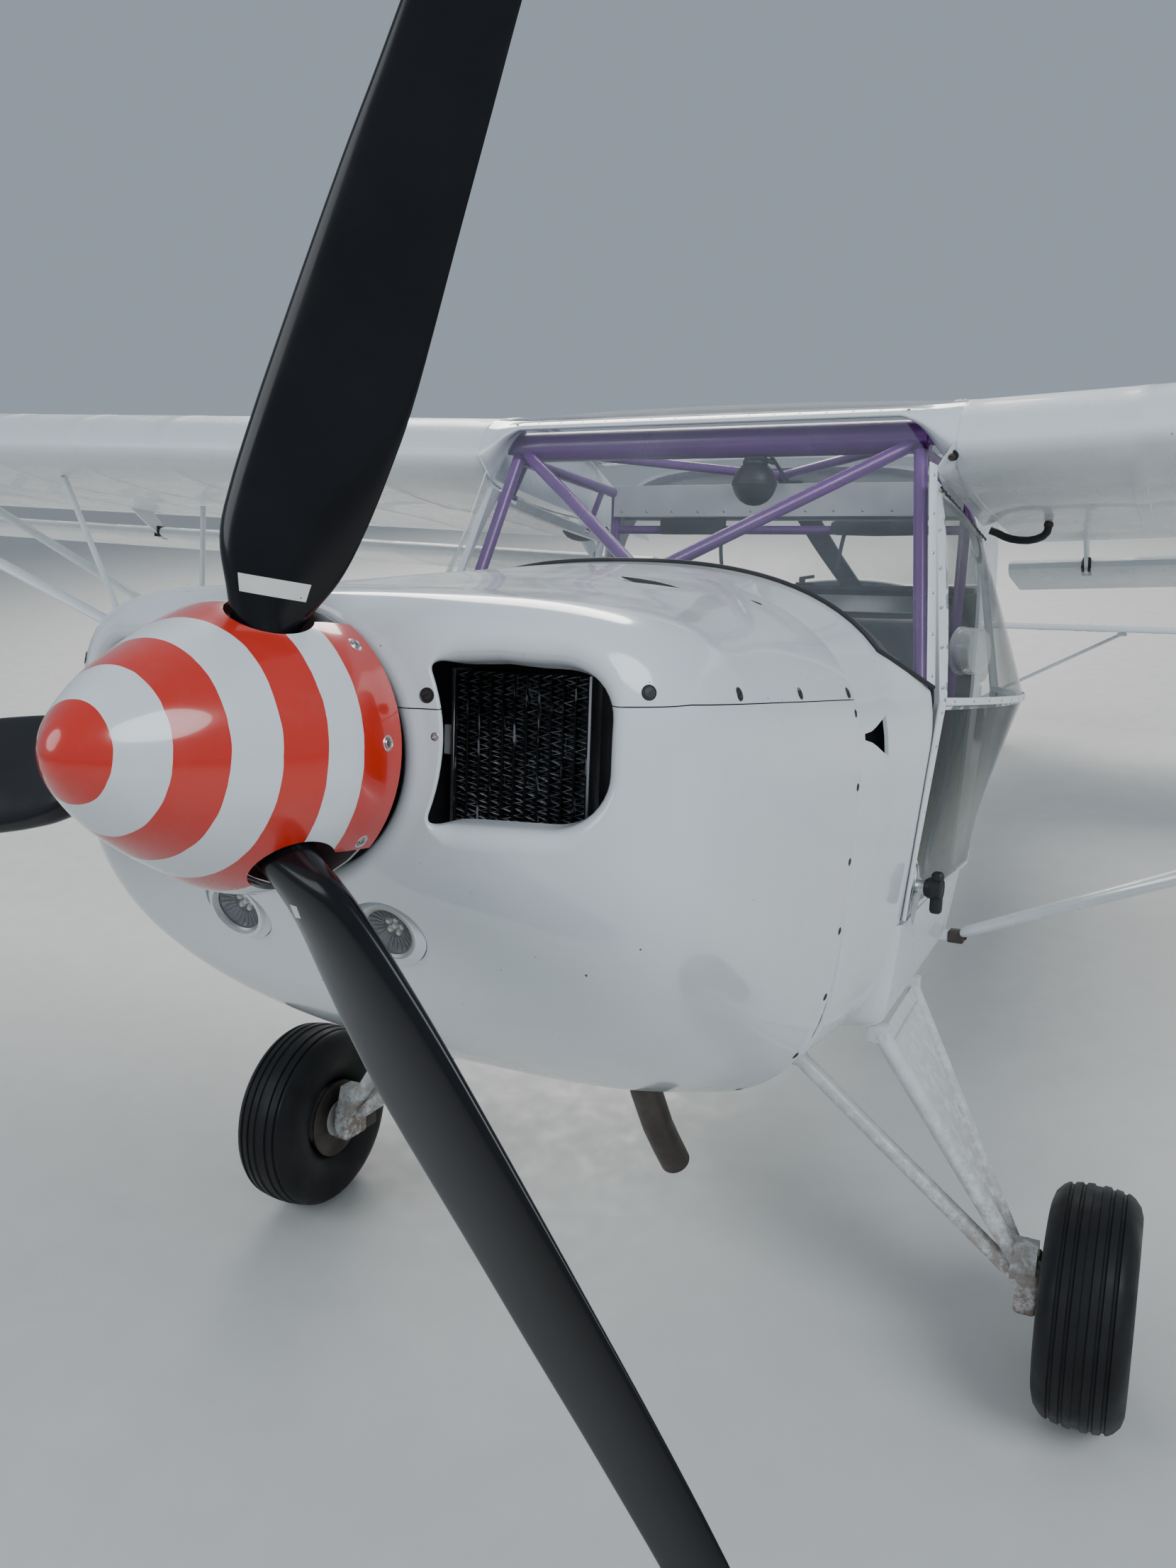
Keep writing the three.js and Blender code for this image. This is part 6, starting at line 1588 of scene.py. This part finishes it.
def door_trims():
    """The left door's rails, edge strips, rivets, latch and vent, to be mirrored for the right door."""
    edge = lambda n, low, high: [(low + (high - low) * k / n, 0.006) for k in range(n + 1)]
    rail_path = [(1, 0.012 + 0.976 * k / 20) for k in range(21)]
    rail = door_strip("mid_rail", rail_path, 13, 2.4, 0.6)
    places = []
    for path, count in ((rail_path, 13), (edge(16, 0.02, 0.98), 7), (edge(16, 1.03, 1.97), 6)):
        points = [door_point(*q) for q in path]
        for place in along_line(points, count, 0.03):
            k = min(range(len(points)), key=lambda i: (points[i] - place).length)
            normal = door_normal(*path[k])
            places.append((place + normal * 2.9, normal))
    front = door_strip("front_edge_strip", edge(16, 0.0, 1.0), 13, 2.2, 0.5)
    bead_line = [door_point(k / 10, 0.0) + Vector((3, -7, 0)) for k in range(11)]
    outer_front = tube("front_edge_bead", bead_line, 7, sides=10)
    plate = strip_along("latch_plate", between((483, 146, -294), (483, 212, -240), 3),
                        [Vector((1, -0.05, -0.05))] * 4, 62, 2, 3)
    boss = turned("boss", [(0, 0), (15, 0), (15, 8), (12, 14), (12, 22), (9, 24), (9, 40), (0, 40)], 28,
                  placed(*LATCH, QUARTER))
    handle = block("handle", (509, LATCH.y - 10, LATCH.z - 44), (530, LATCH.y + 10, LATCH.z + 30), 7, 3)
    knob = turned("knob", [(0, -12), (14, -12), (18, -6), (19, 2), (19, 15), (15, 19), (0, 19)], 28,
                  placed(511, LATCH.y, LATCH.z, QUARTER))
    ring = turned("latch_ring", [(28, -2), (34, -2), (35, 1), (34, 4), (29, 4), (28, 1), (28, -2)], 44,
                  placed(484, LATCH.y + 2, LATCH.z + 6, QUARTER))
    radius, height = VENT["radius"], VENT["height"]
    place = (placed(VENT["x"], VENT["y"], VENT["z"], -VENT["turn"], "Z")
             @ Matrix.Rotation(QUARTER, 4, "Y"))
    vent = turned("vent", [(radius - 4, -6), (radius + 1.5, -6), (radius + 1.5, -2), (radius - 1, -1),
                           (radius - 1, 9), (radius, 10), (radius, 14), (radius - 1, 15),
                           (radius - 1, height - 3), (radius, height - 2), (radius - 1, height),
                           (0, height + 1.5), (0, height - 1), (radius - 3.5, height - 3), (radius - 4, -6)],
                  48, place)
    wound = [Vector((13 + 1.2 * math.sin(k * 2.3), 0, -9 + 1.2 * math.cos(k * 2.3))) for k in range(41)]
    cable = tube("hinge_cable", [p + q for p, q in zip(between(*HINGE, 40), wound)], 4.5, sides=8)
    return {"rails": (TRIM_WHITE, [rail, front, outer_front]),
            "rivets": (ALLOY, [scattered("door_rivets", rivet(2.6), places)]),
            "latch_plate": (ALLOY, [plate, boss, ring]),
            "latch_handle": (BLACK_PLASTIC, [handle, knob]),
            "vent": (VENT_CLEAR, [vent]),
            "hinge_cable": (SOFT_RUBBER, [cable])}


def make_doors():
    levels = [i / 12 for i in range(25)]
    rows = [[door_point(level, j / 24) for j in range(25)] for level in levels]
    thin = gridded("sheet", rows, 3.5, (0, 480, 60))
    thick = gridded("thick", rows, 12, (0, 480, 60))
    for part in ("upper", "lower"):
        combined(thick, prism("x", pane_outline(part), 300, 800))
    knuckle_bars = []
    for t0, t1 in KNUCKLES:
        a, b = (HINGE[0].lerp(HINGE[1], t) for t in (t0 - 0.008, t1 + 0.008))
        combined(thick, tube("gap", [a, b], 27, sides=20))
        for u0, u1 in ((t0 - 0.06, t0 - 0.001), (t1 + 0.001, t1 + 0.06)):
            a, b = (HINGE[0].lerp(HINGE[1], t) for t in (u0, u1))
            knuckle_bars.append(tube("knuckle", [a, b], 12, sides=16))
    thick = joined("surround", [thick, *knuckle_bars])
    trims = door_trims()
    for side, name in SIDES:
        matrix = Matrix() if side > 0 else MIRROR
        frame_piece = copied(thick, f"door_{name}_surround", matrix)
        finished(frame_piece, TRIM_WHITE, f"door_frame_{name}", body=f"door_{name}")
        for part, node in (("upper", "window"), ("lower", "pane")):
            pane = copied(thin, f"door_{name}_{part}_sheet")
            combined(pane, prism("x", pane_outline(part, -6), 300, 800), "INTERSECT")
            pane.data.transform(matrix)
            if side < 0:
                pane.data.flip_normals()
            look = DOOR_CLEAR if part == "upper" else PANE_CLEAR
            finished(pane, look, f"door_{node}_{name}", body=f"door_{name}")
        for word, (look, parts) in trims.items():
            pieces = [copied(part, "part", matrix) for part in parts]
            slot = "bare_alloy" if word == "rails" else ""
            finished(joined(f"door_{name}_{word}", pieces), look, body=f"door_{name}", slot=slot)
    for piece in (thin, thick, *(part for _, parts in trims.values() for part in parts)):
        bpy.data.objects.remove(piece)


make_doors()


# Wheels and gear

def make_tyres():
    profile = [(78, -41), (96, -60), (118, -70), (139, -73.5), (160, -73), (176, -68), (188, -58)]
    crown = [(-50, 193.5), (-46, 194.6), (-44, 191.6), (-40, 191.8), (-38, 196), (-27, 198), (-25, 194.8),
             (-21, 195), (-19, 198.8), (-8, 199.6), (-6, 196.4), (-2, 196.4)]
    profile += [(r, x) for x, r in crown]
    profile += [(r, -x) for r, x in reversed(profile)] + [(74, 41), (74, -41)]
    for side, name in SIDES:
        place = placed(side * MAIN_HUB.x, MAIN_HUB.y, MAIN_HUB.z, QUARTER)
        tyre = turned(f"tyre_{name}_ribbed", profile + [profile[0]], 96, place)
        finished(tyre, TYRE_RUBBER, f"tyre_{name}", body=f"wheel_{name}", angle=30)


make_tyres()


FIFTH = 1.2566  # a fifth of a turn, between wheel bolts


def make_rims():
    profile = [(20, -66), (39, -66), (40, -64), (40, -20), (48, -16), (66, -15), (68, -22), (68, -34),
               (77.4, -41), (77.7, -38), (77.7, 38), (77.4, 41), (68, 34), (68, 22), (66, 15), (48, 16),
               (40, 20), (40, 42), (38, 44), (20, 44), (20, -66)]
    for side, name in SIDES:
        place = placed(side * MAIN_HUB.x, MAIN_HUB.y, MAIN_HUB.z, side * QUARTER)
        rim = turned("rim", profile, 64)
        for k in range(5):
            hole = rod("hole", 8, -40, 40, 20, placed(57 * math.cos(k * FIFTH), 57 * math.sin(k * FIFTH), 0))
            combined(rim, hole)
        disc = turned("disc", [(30, -62.4), (84, -60), (85, -61), (85, -64), (84, -65), (30, -65),
                               (30, -62.4)], 56)
        bolts = [turned("bolt", [(0, 15), (4.5, 15), (4.5, 20), (0, 20.5)], 6,
                        placed(47 * math.cos(k * FIFTH + 0.6), 47 * math.sin(k * FIFTH + 0.6), 0))
                 for k in range(5)]
        cap = turned("cap", [(0, 42), (23, 42), (24, 46), (21, 52), (12, 56), (0, 57)], 40)
        whole = joined("rim_parts", [rim, cap, *bolts])
        whole.data.transform(place)
        disc.data.transform(place)
        whole.name = f"rim_{name}_wheel"
        disc.name = f"brake_disc_{name}"
        finished(whole, RIM_WHITE, f"rim_{name}", body=f"wheel_{name}", angle=30)
        finished(disc, STEEL, body=f"wheel_{name}", slot="bare_alloy", angle=30)


def make_gear():
    """Two legs, the web between them, the axle block with its brake, and the shock struts under the belly."""
    for side, name in SIDES:
        at = lambda x, y, z: Vector((side * x, y, z))
        front, rear, knee = at(446, 153, -514), at(430, 515, -520), at(724, MAIN_HUB.y, -930)
        parts = [tube("leg", between(front, knee, 2), 30, 38, 28),
                 tube("leg", between(rear, knee, 2), 24, 28, 24)]
        rows = []
        for k in range(25):
            t = 0.012 + 0.97 * k / 24
            a, b = front.lerp(knee, t), rear.lerp(knee, t)
            rows.append([a.lerp(b, j / 10) + Vector((side * -1.2 * math.sin(math.pi * j / 10), 0, 0))
                         for j in range(11)])
        web = gridded("web", rows, 3, (0, 300, -900))
        top_edge = tube("web_edge", [front.lerp(knee, 0.07), rear.lerp(knee, 0.07)], 9, sides=12)
        parts += [web, top_edge]
        for low, high in (((424, 136, -530), (462, 170, -500)), ((410, 498, -536), (446, 532, -506))):
            parts.append(block("lug", (side * low[0], *low[1:]), (side * high[0], *high[1:]), 3))
        hub = block("axle_block", (side * 700, 168, -976), (side * 738, 242, -903), 7, 3)
        axle = tube("axle", [at(x, MAIN_HUB.y, MAIN_HUB.z) for x in (738, 800, 878)], 38, sides=32)
        parts += [hub, axle]
        corners = ((186, -860), (224, -860), (240, -915), (170, -915))
        parts.append(lofted("gusset", [[at(x, y, z) for y, z in corners] for x in (690, 732)]))
        finished(joined(f"gear_leg_{name}_tubes", parts), GEAR_WHITE, f"gear_leg_{name}", angle=30)
        brake = [block("caliper", (side * 708, 226, -978), (side * 734, 292, -906), 6, 3),
                 block("caliper_pad", (side * 733, 236, -968), (side * 746, 284, -918), 3, 2)]
        finished(joined(f"brake_caliper_{name}", brake), STEEL, slot="bare_alloy")
        line = tube(f"brake_pipe_{name}", [at(717, 262, -906), at(714, 260, -884), at(710, 244, -872),
                                           at(708, 215, -869)], 6, sides=10)
        finished(line, SOFT_RUBBER)
    y = MAIN_HUB.y
    parts = [tube("cross", [(-215, y, -528), (215, y, -528)], 30, sides=24)]
    for side, _ in SIDES:
        line = sided(side, ((195, y, -528), (440, y, -722), (712, y, -934)))
        parts.append(tube("strut", line, 30, sides=24))
        line = sided(side, ((203, y, -537), (212, y, -543), (292, y, -605), (300, y, -611)))
        parts.append(tube("can", line, 38, sides=28, widths=(0.8, 1, 1, 0.7)))
        parts.append(block("lug", (side * 106, 190, -532), (side * 134, 220, -496), 3))
    finished(joined("shock_strut_tubes", parts), GEAR_WHITE, "shock_struts", angle=30)


def make_exhaust():
    route = [(148, -300, -186), (149, -297, -240), (153, -280, -360), (158, -258, -460), (161, -246, -505),
             (163, -222, -550), (168, -180, -620), (173, -150, -662), (178, -120, -702)]
    outer = tube("exhaust_tail_pipe", route, 50, sides=32)
    combined(outer, tube("bore", [(170.5, -160, -640), (179.4, -112, -714)], 46, sides=32))
    finished(outer, STEEL, "exhaust_pipe", angle=30)


make_rims()
make_gear()
make_exhaust()


# Seats

SEAT_X = (24, 382)


def stuffed(name, low, high, bulge=9):
    """A foam pad in its cover: a rounded block, blown up a little as cloth so that its faces crown."""
    pad = block(name, low, high, 22, 4)
    pad.data.transform(Matrix.Scale(0.001, 4))
    modified(pad, "REMESH", mode="VOXEL", voxel_size=0.0065)
    rest = [v.co.copy() for v in pad.data.vertices]
    only(pad)
    cloth = pad.modifiers.new("Cloth", "CLOTH")
    cloth.settings.use_pressure = True
    cloth.settings.uniform_pressure_force = 4
    cloth.settings.effector_weights.gravity = 0
    cloth.point_cache.frame_start, cloth.point_cache.frame_end = 1, 20
    for number in range(1, 21):
        bpy.context.scene.frame_set(number)
    bpy.ops.object.modifier_apply(modifier=cloth.name)
    bpy.context.scene.frame_set(1)
    for vertex, start in zip(pad.data.vertices, rest):
        move = vertex.co - start
        if move.length > bulge * 0.001:
            vertex.co = start + move.normalized() * bulge * 0.001
    pad.data.transform(Matrix.Scale(1000, 4))
    return modified(pad, "SUBSURF", levels=1, render_levels=1)


def piping(name, low, high, level):
    """A round cord sewn along the edge of a pad, level with its top face."""
    r, points = 26, []
    for cx, cy, start in ((high[0] - r, high[1] - r, 0), (low[0] + r, high[1] - r, 90),
                          (low[0] + r, low[1] + r, 180), (high[0] - r, low[1] + r, 270)):
        for k in range(7):
            a = math.radians(start + 15 * k)
            points.append((cx + r * math.cos(a), cy + r * math.sin(a), level))
    return tube(name, [*points, points[0]], 6, sides=8)


def make_seats():
    back_turn = placed(0, 726, -240, -math.atan2(86, 494), "X")
    for side, name in SIDES:
        x0, x1 = sorted(side * x for x in SEAT_X)
        shell = block(f"seat_{name}_box", (x0 + 4, 384, -486), (x1 - 4, 764, -318), 6, 2)
        base = block("seat_pan", (x0, 376, -322), (x1, 748, -300), 5, 2)
        plate = block("back_shell", (x0, 34, -60), (x1, 46, 470), 5, 2)
        plate.data.transform(back_turn)
        finished(joined(f"seat_{name}_shell", [shell, base, plate]), BLACK_PLASTIC)
        cushion = stuffed(f"seat_{name}_cushion", (x0 + 8, 384, -302), (x1 - 8, 694, -248))
        seam = piping("cushion_piping", (x0 + 8, 384), (x1 - 8, 694), -262)
        finished(cushion, DARK_CLOTH, f"seat_{name}", angle=60)
        back = stuffed(f"seat_{name}_back", (x0 + 8, -16, -2), (x1 - 8, 34, 462))
        back.data.transform(back_turn)
        finished(back, DARK_CLOTH, f"seat_{name}", angle=60)
        edge = piping("back_piping", (x0 + 8, 2), (x1 - 8, 462), 0)
        edge.data.transform(back_turn @ placed(0, -8, 0, QUARTER, "X"))
        finished(joined(f"seat_{name}_piping", [seam, edge]), SOFT_RUBBER, slot="dark_cloth")


make_seats()


# Tail surfaces: fabric over tube edges, with a tape on each rib

TAIL_Z, HINGE_Y, TAIL_TIP = 205, 3800, 1150
ELEVATOR_HINGES = (330, 930)
RUDDER_Y = 3944
RUDDER_HINGES = (0, 560)


def fabric_panel(axis, outline, half, edge=10.0):
    """A flat panel: the outline pushed to both sides, its rims rounded like a tube under fabric."""
    return modified(prism(axis, outline, -half, half), "BEVEL", width=min(edge, half * 0.8), segments=4,
                    limit_method="ANGLE", angle_limit=math.radians(50))


def rib_tapes(places):
    """Flat tapes between pairs of points, as one mesh."""
    return joined("rib_tapes", [strip_along("tape", between(a, b, 6), [Vector(normal)] * 7, 24, 0.9)
                                for a, b, normal in places])


def make_tail():
    lead = 3330
    half = [(0, lead), (430, lead + 40), (980, lead + 150), (1090, lead + 210), (TAIL_TIP, lead + 320),
            (TAIL_TIP, HINGE_Y - 18)]
    outline = half + [(-x, y) for x, y in reversed(half[1:])]
    panel = fabric_panel("z", outline, 13.5)
    panel.data.transform(Matrix.Translation((0, 0, TAIL_Z)))
    brackets = []
    for x in ELEVATOR_HINGES:
        for side, _ in SIDES:
            brackets.append(block("bracket", (side * x - 4, HINGE_Y - 34, TAIL_Z - 12),
                                  (side * x + 4, HINGE_Y, TAIL_Z + 12), 1.5))
            brackets.append(rod("eye", 12, -4, 4, 20, placed(side * x, HINGE_Y, TAIL_Z, QUARTER)))
    finished(joined("tailplane_fabric", [panel, *brackets]), FABRIC_WHITE, "tailplane", angle=30)
    tapes, red = [], []
    for side, _ in SIDES:
        for x in (120, 330, 540, 750, 930, 1080):
            front = lead + 12 + (x - 100) * 0.19 + max(0, x - 980) * 0.9
            for up in (1, -1):
                tapes.append(((side * x, front, TAIL_Z + up * 13.6),
                              (side * x, HINGE_Y - 22, TAIL_Z + up * 13.6), (0, 0, up)))
        for k in range(3):
            y = lead + 52 + (330 + 60 * k) * 0.19
            red.append(block("tape", (side * (452 + 46 * k), y - 34, TAIL_Z - 14.2),
                             (side * (474 + 46 * k), y + 56, TAIL_Z + 14.2), 2, 1))
    finished(rib_tapes(tapes), FABRIC_WHITE).name = "tailplane_tapes"
    finished(joined("red_marks", red), RED_TAPE)

    surface = [(52, 0), (TAIL_TIP, 0), (TAIL_TIP, 240), (1090, 300), (980, 330), (190, 345), (150, 320),
               (52, 80)]
    parts = []
    for side, _ in SIDES:
        panel = fabric_panel("z", [(side * x, HINGE_Y + a) for x, a in surface], 11)
        panel.data.transform(Matrix.Translation((0, 0, TAIL_Z)))
        nose = turned("nose", [(0, 52), (12.4, 52), (13, 54), (13, TAIL_TIP - 2), (12.4, TAIL_TIP),
                               (0, TAIL_TIP)], 24, placed(0, HINGE_Y, TAIL_Z, side * QUARTER))
        for piece in (panel, nose):
            for x in ELEVATOR_HINGES:
                combined(piece, block("slot", (side * x - 10, HINGE_Y - 40, TAIL_Z - 40),
                                      (side * x + 10, HINGE_Y + 22, TAIL_Z + 40), 0))
        parts += [panel, nose]
    parts.append(tube("torque_tube", [(-65, HINGE_Y, TAIL_Z), (65, HINGE_Y, TAIL_Z)], 22, sides=24))
    finished(joined("elevator_fabric", parts), FABRIC_WHITE, "elevator", body="elevator_body", angle=30)
    tapes = [((side * x, HINGE_Y + 16, TAIL_Z + up * 11.1),
              (side * x, HINGE_Y + 300 - max(0, x - 980) * 0.4, TAIL_Z + up * 11.1), (0, 0, up))
             for side, _ in SIDES for x in (220, 400, 590, 780, 1010) for up in (1, -1)]
    finished(rib_tapes(tapes), FABRIC_WHITE, body="elevator_body").name = "elevator_tapes"

    y = RUDDER_Y
    outline = [(y, -75), (y + 300, -60), (y + 400, -20), (y + 440, 60), (y + 440, 330), (y + 400, 560),
               (y + 320, 720), (y + 200, 810), (y + 70, 840), (y, 842)]
    panel = fabric_panel("x", outline, 11)
    post = turned("post", [(0, -75), (12.4, -75), (13, -73), (13, 840), (12.4, 842), (0, 842)], 24,
                  placed(0, y, 0))
    for piece in (panel, post):
        for z in RUDDER_HINGES:
            combined(piece, block("slot", (-40, y - 40, z - 10), (40, y + 22, z + 10), 0))
    pins = [tube("pin", [(0, y, z - 12), (0, y, z + 12)], 12, sides=16) for z in RUDDER_HINGES]
    finished(joined("rudder_fabric", [panel, post, *pins]), FABRIC_WHITE, "rudder", body="rudder_body",
             angle=30)
    reaches = ((60, 425), (230, 425), (400, 400), (620, 360), (760, 240))
    tapes = [((up * 11.1, y + 16, z), (up * 11.1, y + reach, z), (up, 0, 0))
             for z, reach in reaches for up in (1, -1)]
    finished(rib_tapes(tapes), FABRIC_WHITE, body="rudder_body").name = "rudder_tapes"


FIN_OUTLINE = [(3150, 214), (3300, 212), (3340, 218.8), (3777, 218.8), (3777, 237), (3833, 237),
               (3833, 189.3), (3925, 189.3), (3925, 800), (3905, 826), (3860, 838), (3810, 832), (3760, 806),
               (3640, 640), (3450, 400), (3330, 300)]
# The fin's sloping front edge as (z, y)
FIN_EDGE = [(300, 3330), (400, 3450), (640, 3640), (806, 3760)]


def make_fin():
    panel = fabric_panel("x", FIN_OUTLINE, 13, 9)
    z = RUDDER_HINGES[1]
    lug = block("lug", (-12, 3920, z - 4), (12, RUDDER_Y, z + 4), 1)
    eye = turned("eye", washer(6.3, 13, -4, 4), 24, placed(0, RUDDER_Y, z))
    finished(joined("fin_fabric", [panel, lug, eye]), FABRIC_WHITE, "fin", angle=30)
    tapes = []
    for z in (340, 480, 640, 760):
        (z0, y0), (z1, y1) = next(pair for pair in zip(FIN_EDGE, FIN_EDGE[1:]) if z <= pair[1][0])
        front = y0 + (y1 - y0) * (z - z0) / (z1 - z0) + 14
        tapes += [((up * 13.1, front, z), (up * 13.1, 3915, z), (up, 0, 0)) for up in (1, -1)]
    finished(rib_tapes(tapes), FABRIC_WHITE).name = "fin_tapes"


def make_tail_braces():
    parts = [block("plate", (-70, 3690, -124), (70, 3714, -116), 2)]
    for side, _ in SIDES:
        foot, head = Vector((side * 62, 3702, -120)), Vector((side * 634, 3640, 192))
        parts.append(bar("brace", foot, head, 14, 26, 22))
        parts.append(block("bracket", (side * 56, 3690, -124), (side * 72, 3714, -60), 2))
        parts.append(block("bracket", (side * 604, 3628, 176), (side * 640, 3656, 190.5), 2))
    finished(joined("tail_brace_tubes", parts), TRIM_WHITE, "tail_braces")


# The tailwheel's own upright axes, with the hub at their middle
wheel_low, wheel_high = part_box("tail_wheel")
TAIL_PLACE = STAND.inverted() @ Matrix.Translation((wheel_low + wheel_high) / 2) @ Matrix.Scale(0.001, 4)
TRAIL, FORK_TOP = 58, 104


def make_tail_spring():
    bush = turned("bush", washer(9.3, 20, FORK_TOP + 0.5, FORK_TOP + 43.5), 32, placed(0, -TRAIL, 0))
    bush.data.transform(TAIL_PLACE)
    end = TAIL_PLACE @ Vector((0, -TRAIL, FORK_TOP + 22))
    route = [(3700, -112), (3860, -92), (3980, -96), (end.y - 16, end.z + 8)]
    line = [Vector((0, *p)) for p in eased(route, 6)]
    up = Vector((0, 0, 1))
    leaves = [strip_along("leaf", line, [up] * len(line), 36, 10, -5)]
    leaves.append(strip_along("leaf", line[:15], [up] * 15, 34, 6, -11.5))
    leaves.append(block("pad", (-18, 3705, -118), (18, 3790, -80), 3))
    leaves.append(block("clamp", (-24, 3930, -108), (24, 3952, -86), 3))
    finished(joined("tail_spring_leaves", [bush, *leaves]), STEEL, "tail_spring")


def make_tailwheel():
    side_plate = [(-TRAIL - 4, FORK_TOP), (-TRAIL - 4, 62), (-22, -6), (-10, -14), (12, -14), (20, -6),
                  (20, 8), (-8, 70), (-8, FORK_TOP)]
    parts = [modified(prism("x", side_plate, x, x + 6), "BEVEL", width=1.5, segments=2) for x in (-38, 32)]
    parts.append(block("crown", (-38, -TRAIL - 22, FORK_TOP - 8), (38, 20, FORK_TOP), 3))
    parts.append(rod("stem", 9, FORK_TOP - 2, FORK_TOP + 50, 28, placed(0, -TRAIL, 0)))
    parts.append(rod("nut", 12, FORK_TOP + 44, FORK_TOP + 52, 6, placed(0, -TRAIL, 0)))
    parts.append(tube("axle", [(-37, 0, 0), (37, 0, 0)], 12, sides=20))
    fork = joined("tail_fork_plates", parts)
    fork.data.transform(TAIL_PLACE)
    finished(fork, ALLOY, "tail_fork", body="steered_fork")
    half = [(30, -14), (34, -18), (44, -24), (56, -26), (66, -23), (72.5, -16), (75, -9), (73.2, -8),
            (73.2, -6.5), (75.6, -5.5), (76, -2)]
    tyre = turned("tyre", half + [(r, -x) for r, x in reversed(half)] + [half[0]], 64,
                  Matrix.Rotation(QUARTER, 4, "Y"))
    hub = turned("hub", [(6.3, -22), (16, -22), (17, -20), (17, -11), (31, -10), (31, 10), (17, 11),
                         (17, 20), (16, 22), (6.3, 22), (6.3, -22)], 40, Matrix.Rotation(QUARTER, 4, "Y"))
    for piece in (tyre, hub):
        piece.data.transform(TAIL_PLACE)
    tyre.name, hub.name = "tail_wheel_tyre", "tail_wheel_hub"
    finished(tyre, TYRE_RUBBER, "tail_wheel", body="tail_wheel_body", angle=30)
    finished(hub, RIM_WHITE, body="tail_wheel_body")


make_tail()
make_fin()
make_tail_braces()
make_tail_spring()
make_tailwheel()


# The nodes whose shape stays as packed

KEPT = {"engine": STEEL, "propeller_hub": ALLOY, "instrument_panel": BLACK_PLASTIC,
        "parcel_shelf": DARK_CLOTH}
for node, look in KEPT.items():
    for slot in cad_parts[node].material_slots:
        slot.material = look

# Floor, light and camera

bpy.ops.object.select_all(action="DESELECT")
bpy.ops.mesh.primitive_plane_add(size=60)
floor = new_piece("studio_floor")
floor.data.materials.append(plain("studio_floor", (0.62, 0.62, 0.60), 0.6, (30, 0.0005, 0.1), 0.03))

world = bpy.context.scene.world or bpy.data.worlds.new("studio")
bpy.context.scene.world = world
world.use_nodes = True
world.node_tree.nodes["Background"].inputs["Color"].default_value = (0.74, 0.86, 1.0, 1)
world.node_tree.nodes["Background"].inputs["Strength"].default_value = 0.42


def area_light(name, place, target, size, energy, colour):
    lamp = bpy.data.lights.new(name, "AREA")
    lamp.shape, lamp.size, lamp.energy, lamp.color = "DISK", size, energy, colour
    holder = bpy.data.objects.new(name, lamp)
    bpy.context.scene.collection.objects.link(holder)
    holder.location = place
    holder.rotation_euler = (Vector(target) - Vector(place)).to_track_quat("-Z", "Y").to_euler()


area_light("sky_behind", (-4, 7, 7), (0, 0, 1), 7, 1000, (1, 0.96, 0.9))
area_light("sky_left", (6, -5, 6.5), (0, -1, 1), 5, 420, (0.9, 0.95, 1))
area_light("sky_front", (-5, -7, 5), (0, -1, 1), 5, 200, (0.9, 0.95, 1))

# The camera, solved from the photograph in the aircraft's axes: place in metres, turns in radians
EYE, YAW, PITCH, ROLL = Vector((873, -1970.5, 194.8)), 0.4434, -0.1361, 0.0338
FOCAL_PIXELS, IMAGE_HEIGHT, SENSOR = 1755.0, 2212, 36
ahead = Vector((-math.sin(YAW) * math.cos(PITCH), math.cos(YAW) * math.cos(PITCH), math.sin(PITCH)))
level = Vector((math.cos(YAW), math.sin(YAW), 0))
over = level.cross(ahead)
right = level * math.cos(ROLL) + over * math.sin(ROLL)
up = over * math.cos(ROLL) - level * math.sin(ROLL)
camera_data = bpy.data.cameras.new("camera")
camera = bpy.data.objects.new("camera", camera_data)
bpy.context.scene.collection.objects.link(camera)
turn = Matrix((right, up, -ahead)).transposed().to_4x4()
camera.matrix_world = Matrix.Translation(STAND @ EYE) @ Matrix.Rotation(-DECK_ANGLE, 4, "X") @ turn
camera_data.sensor_width = SENSOR
camera_data.lens = SENSOR * FOCAL_PIXELS / IMAGE_HEIGHT
camera_data.clip_start, camera_data.clip_end = 0.02, 200
bpy.context.scene.camera = camera
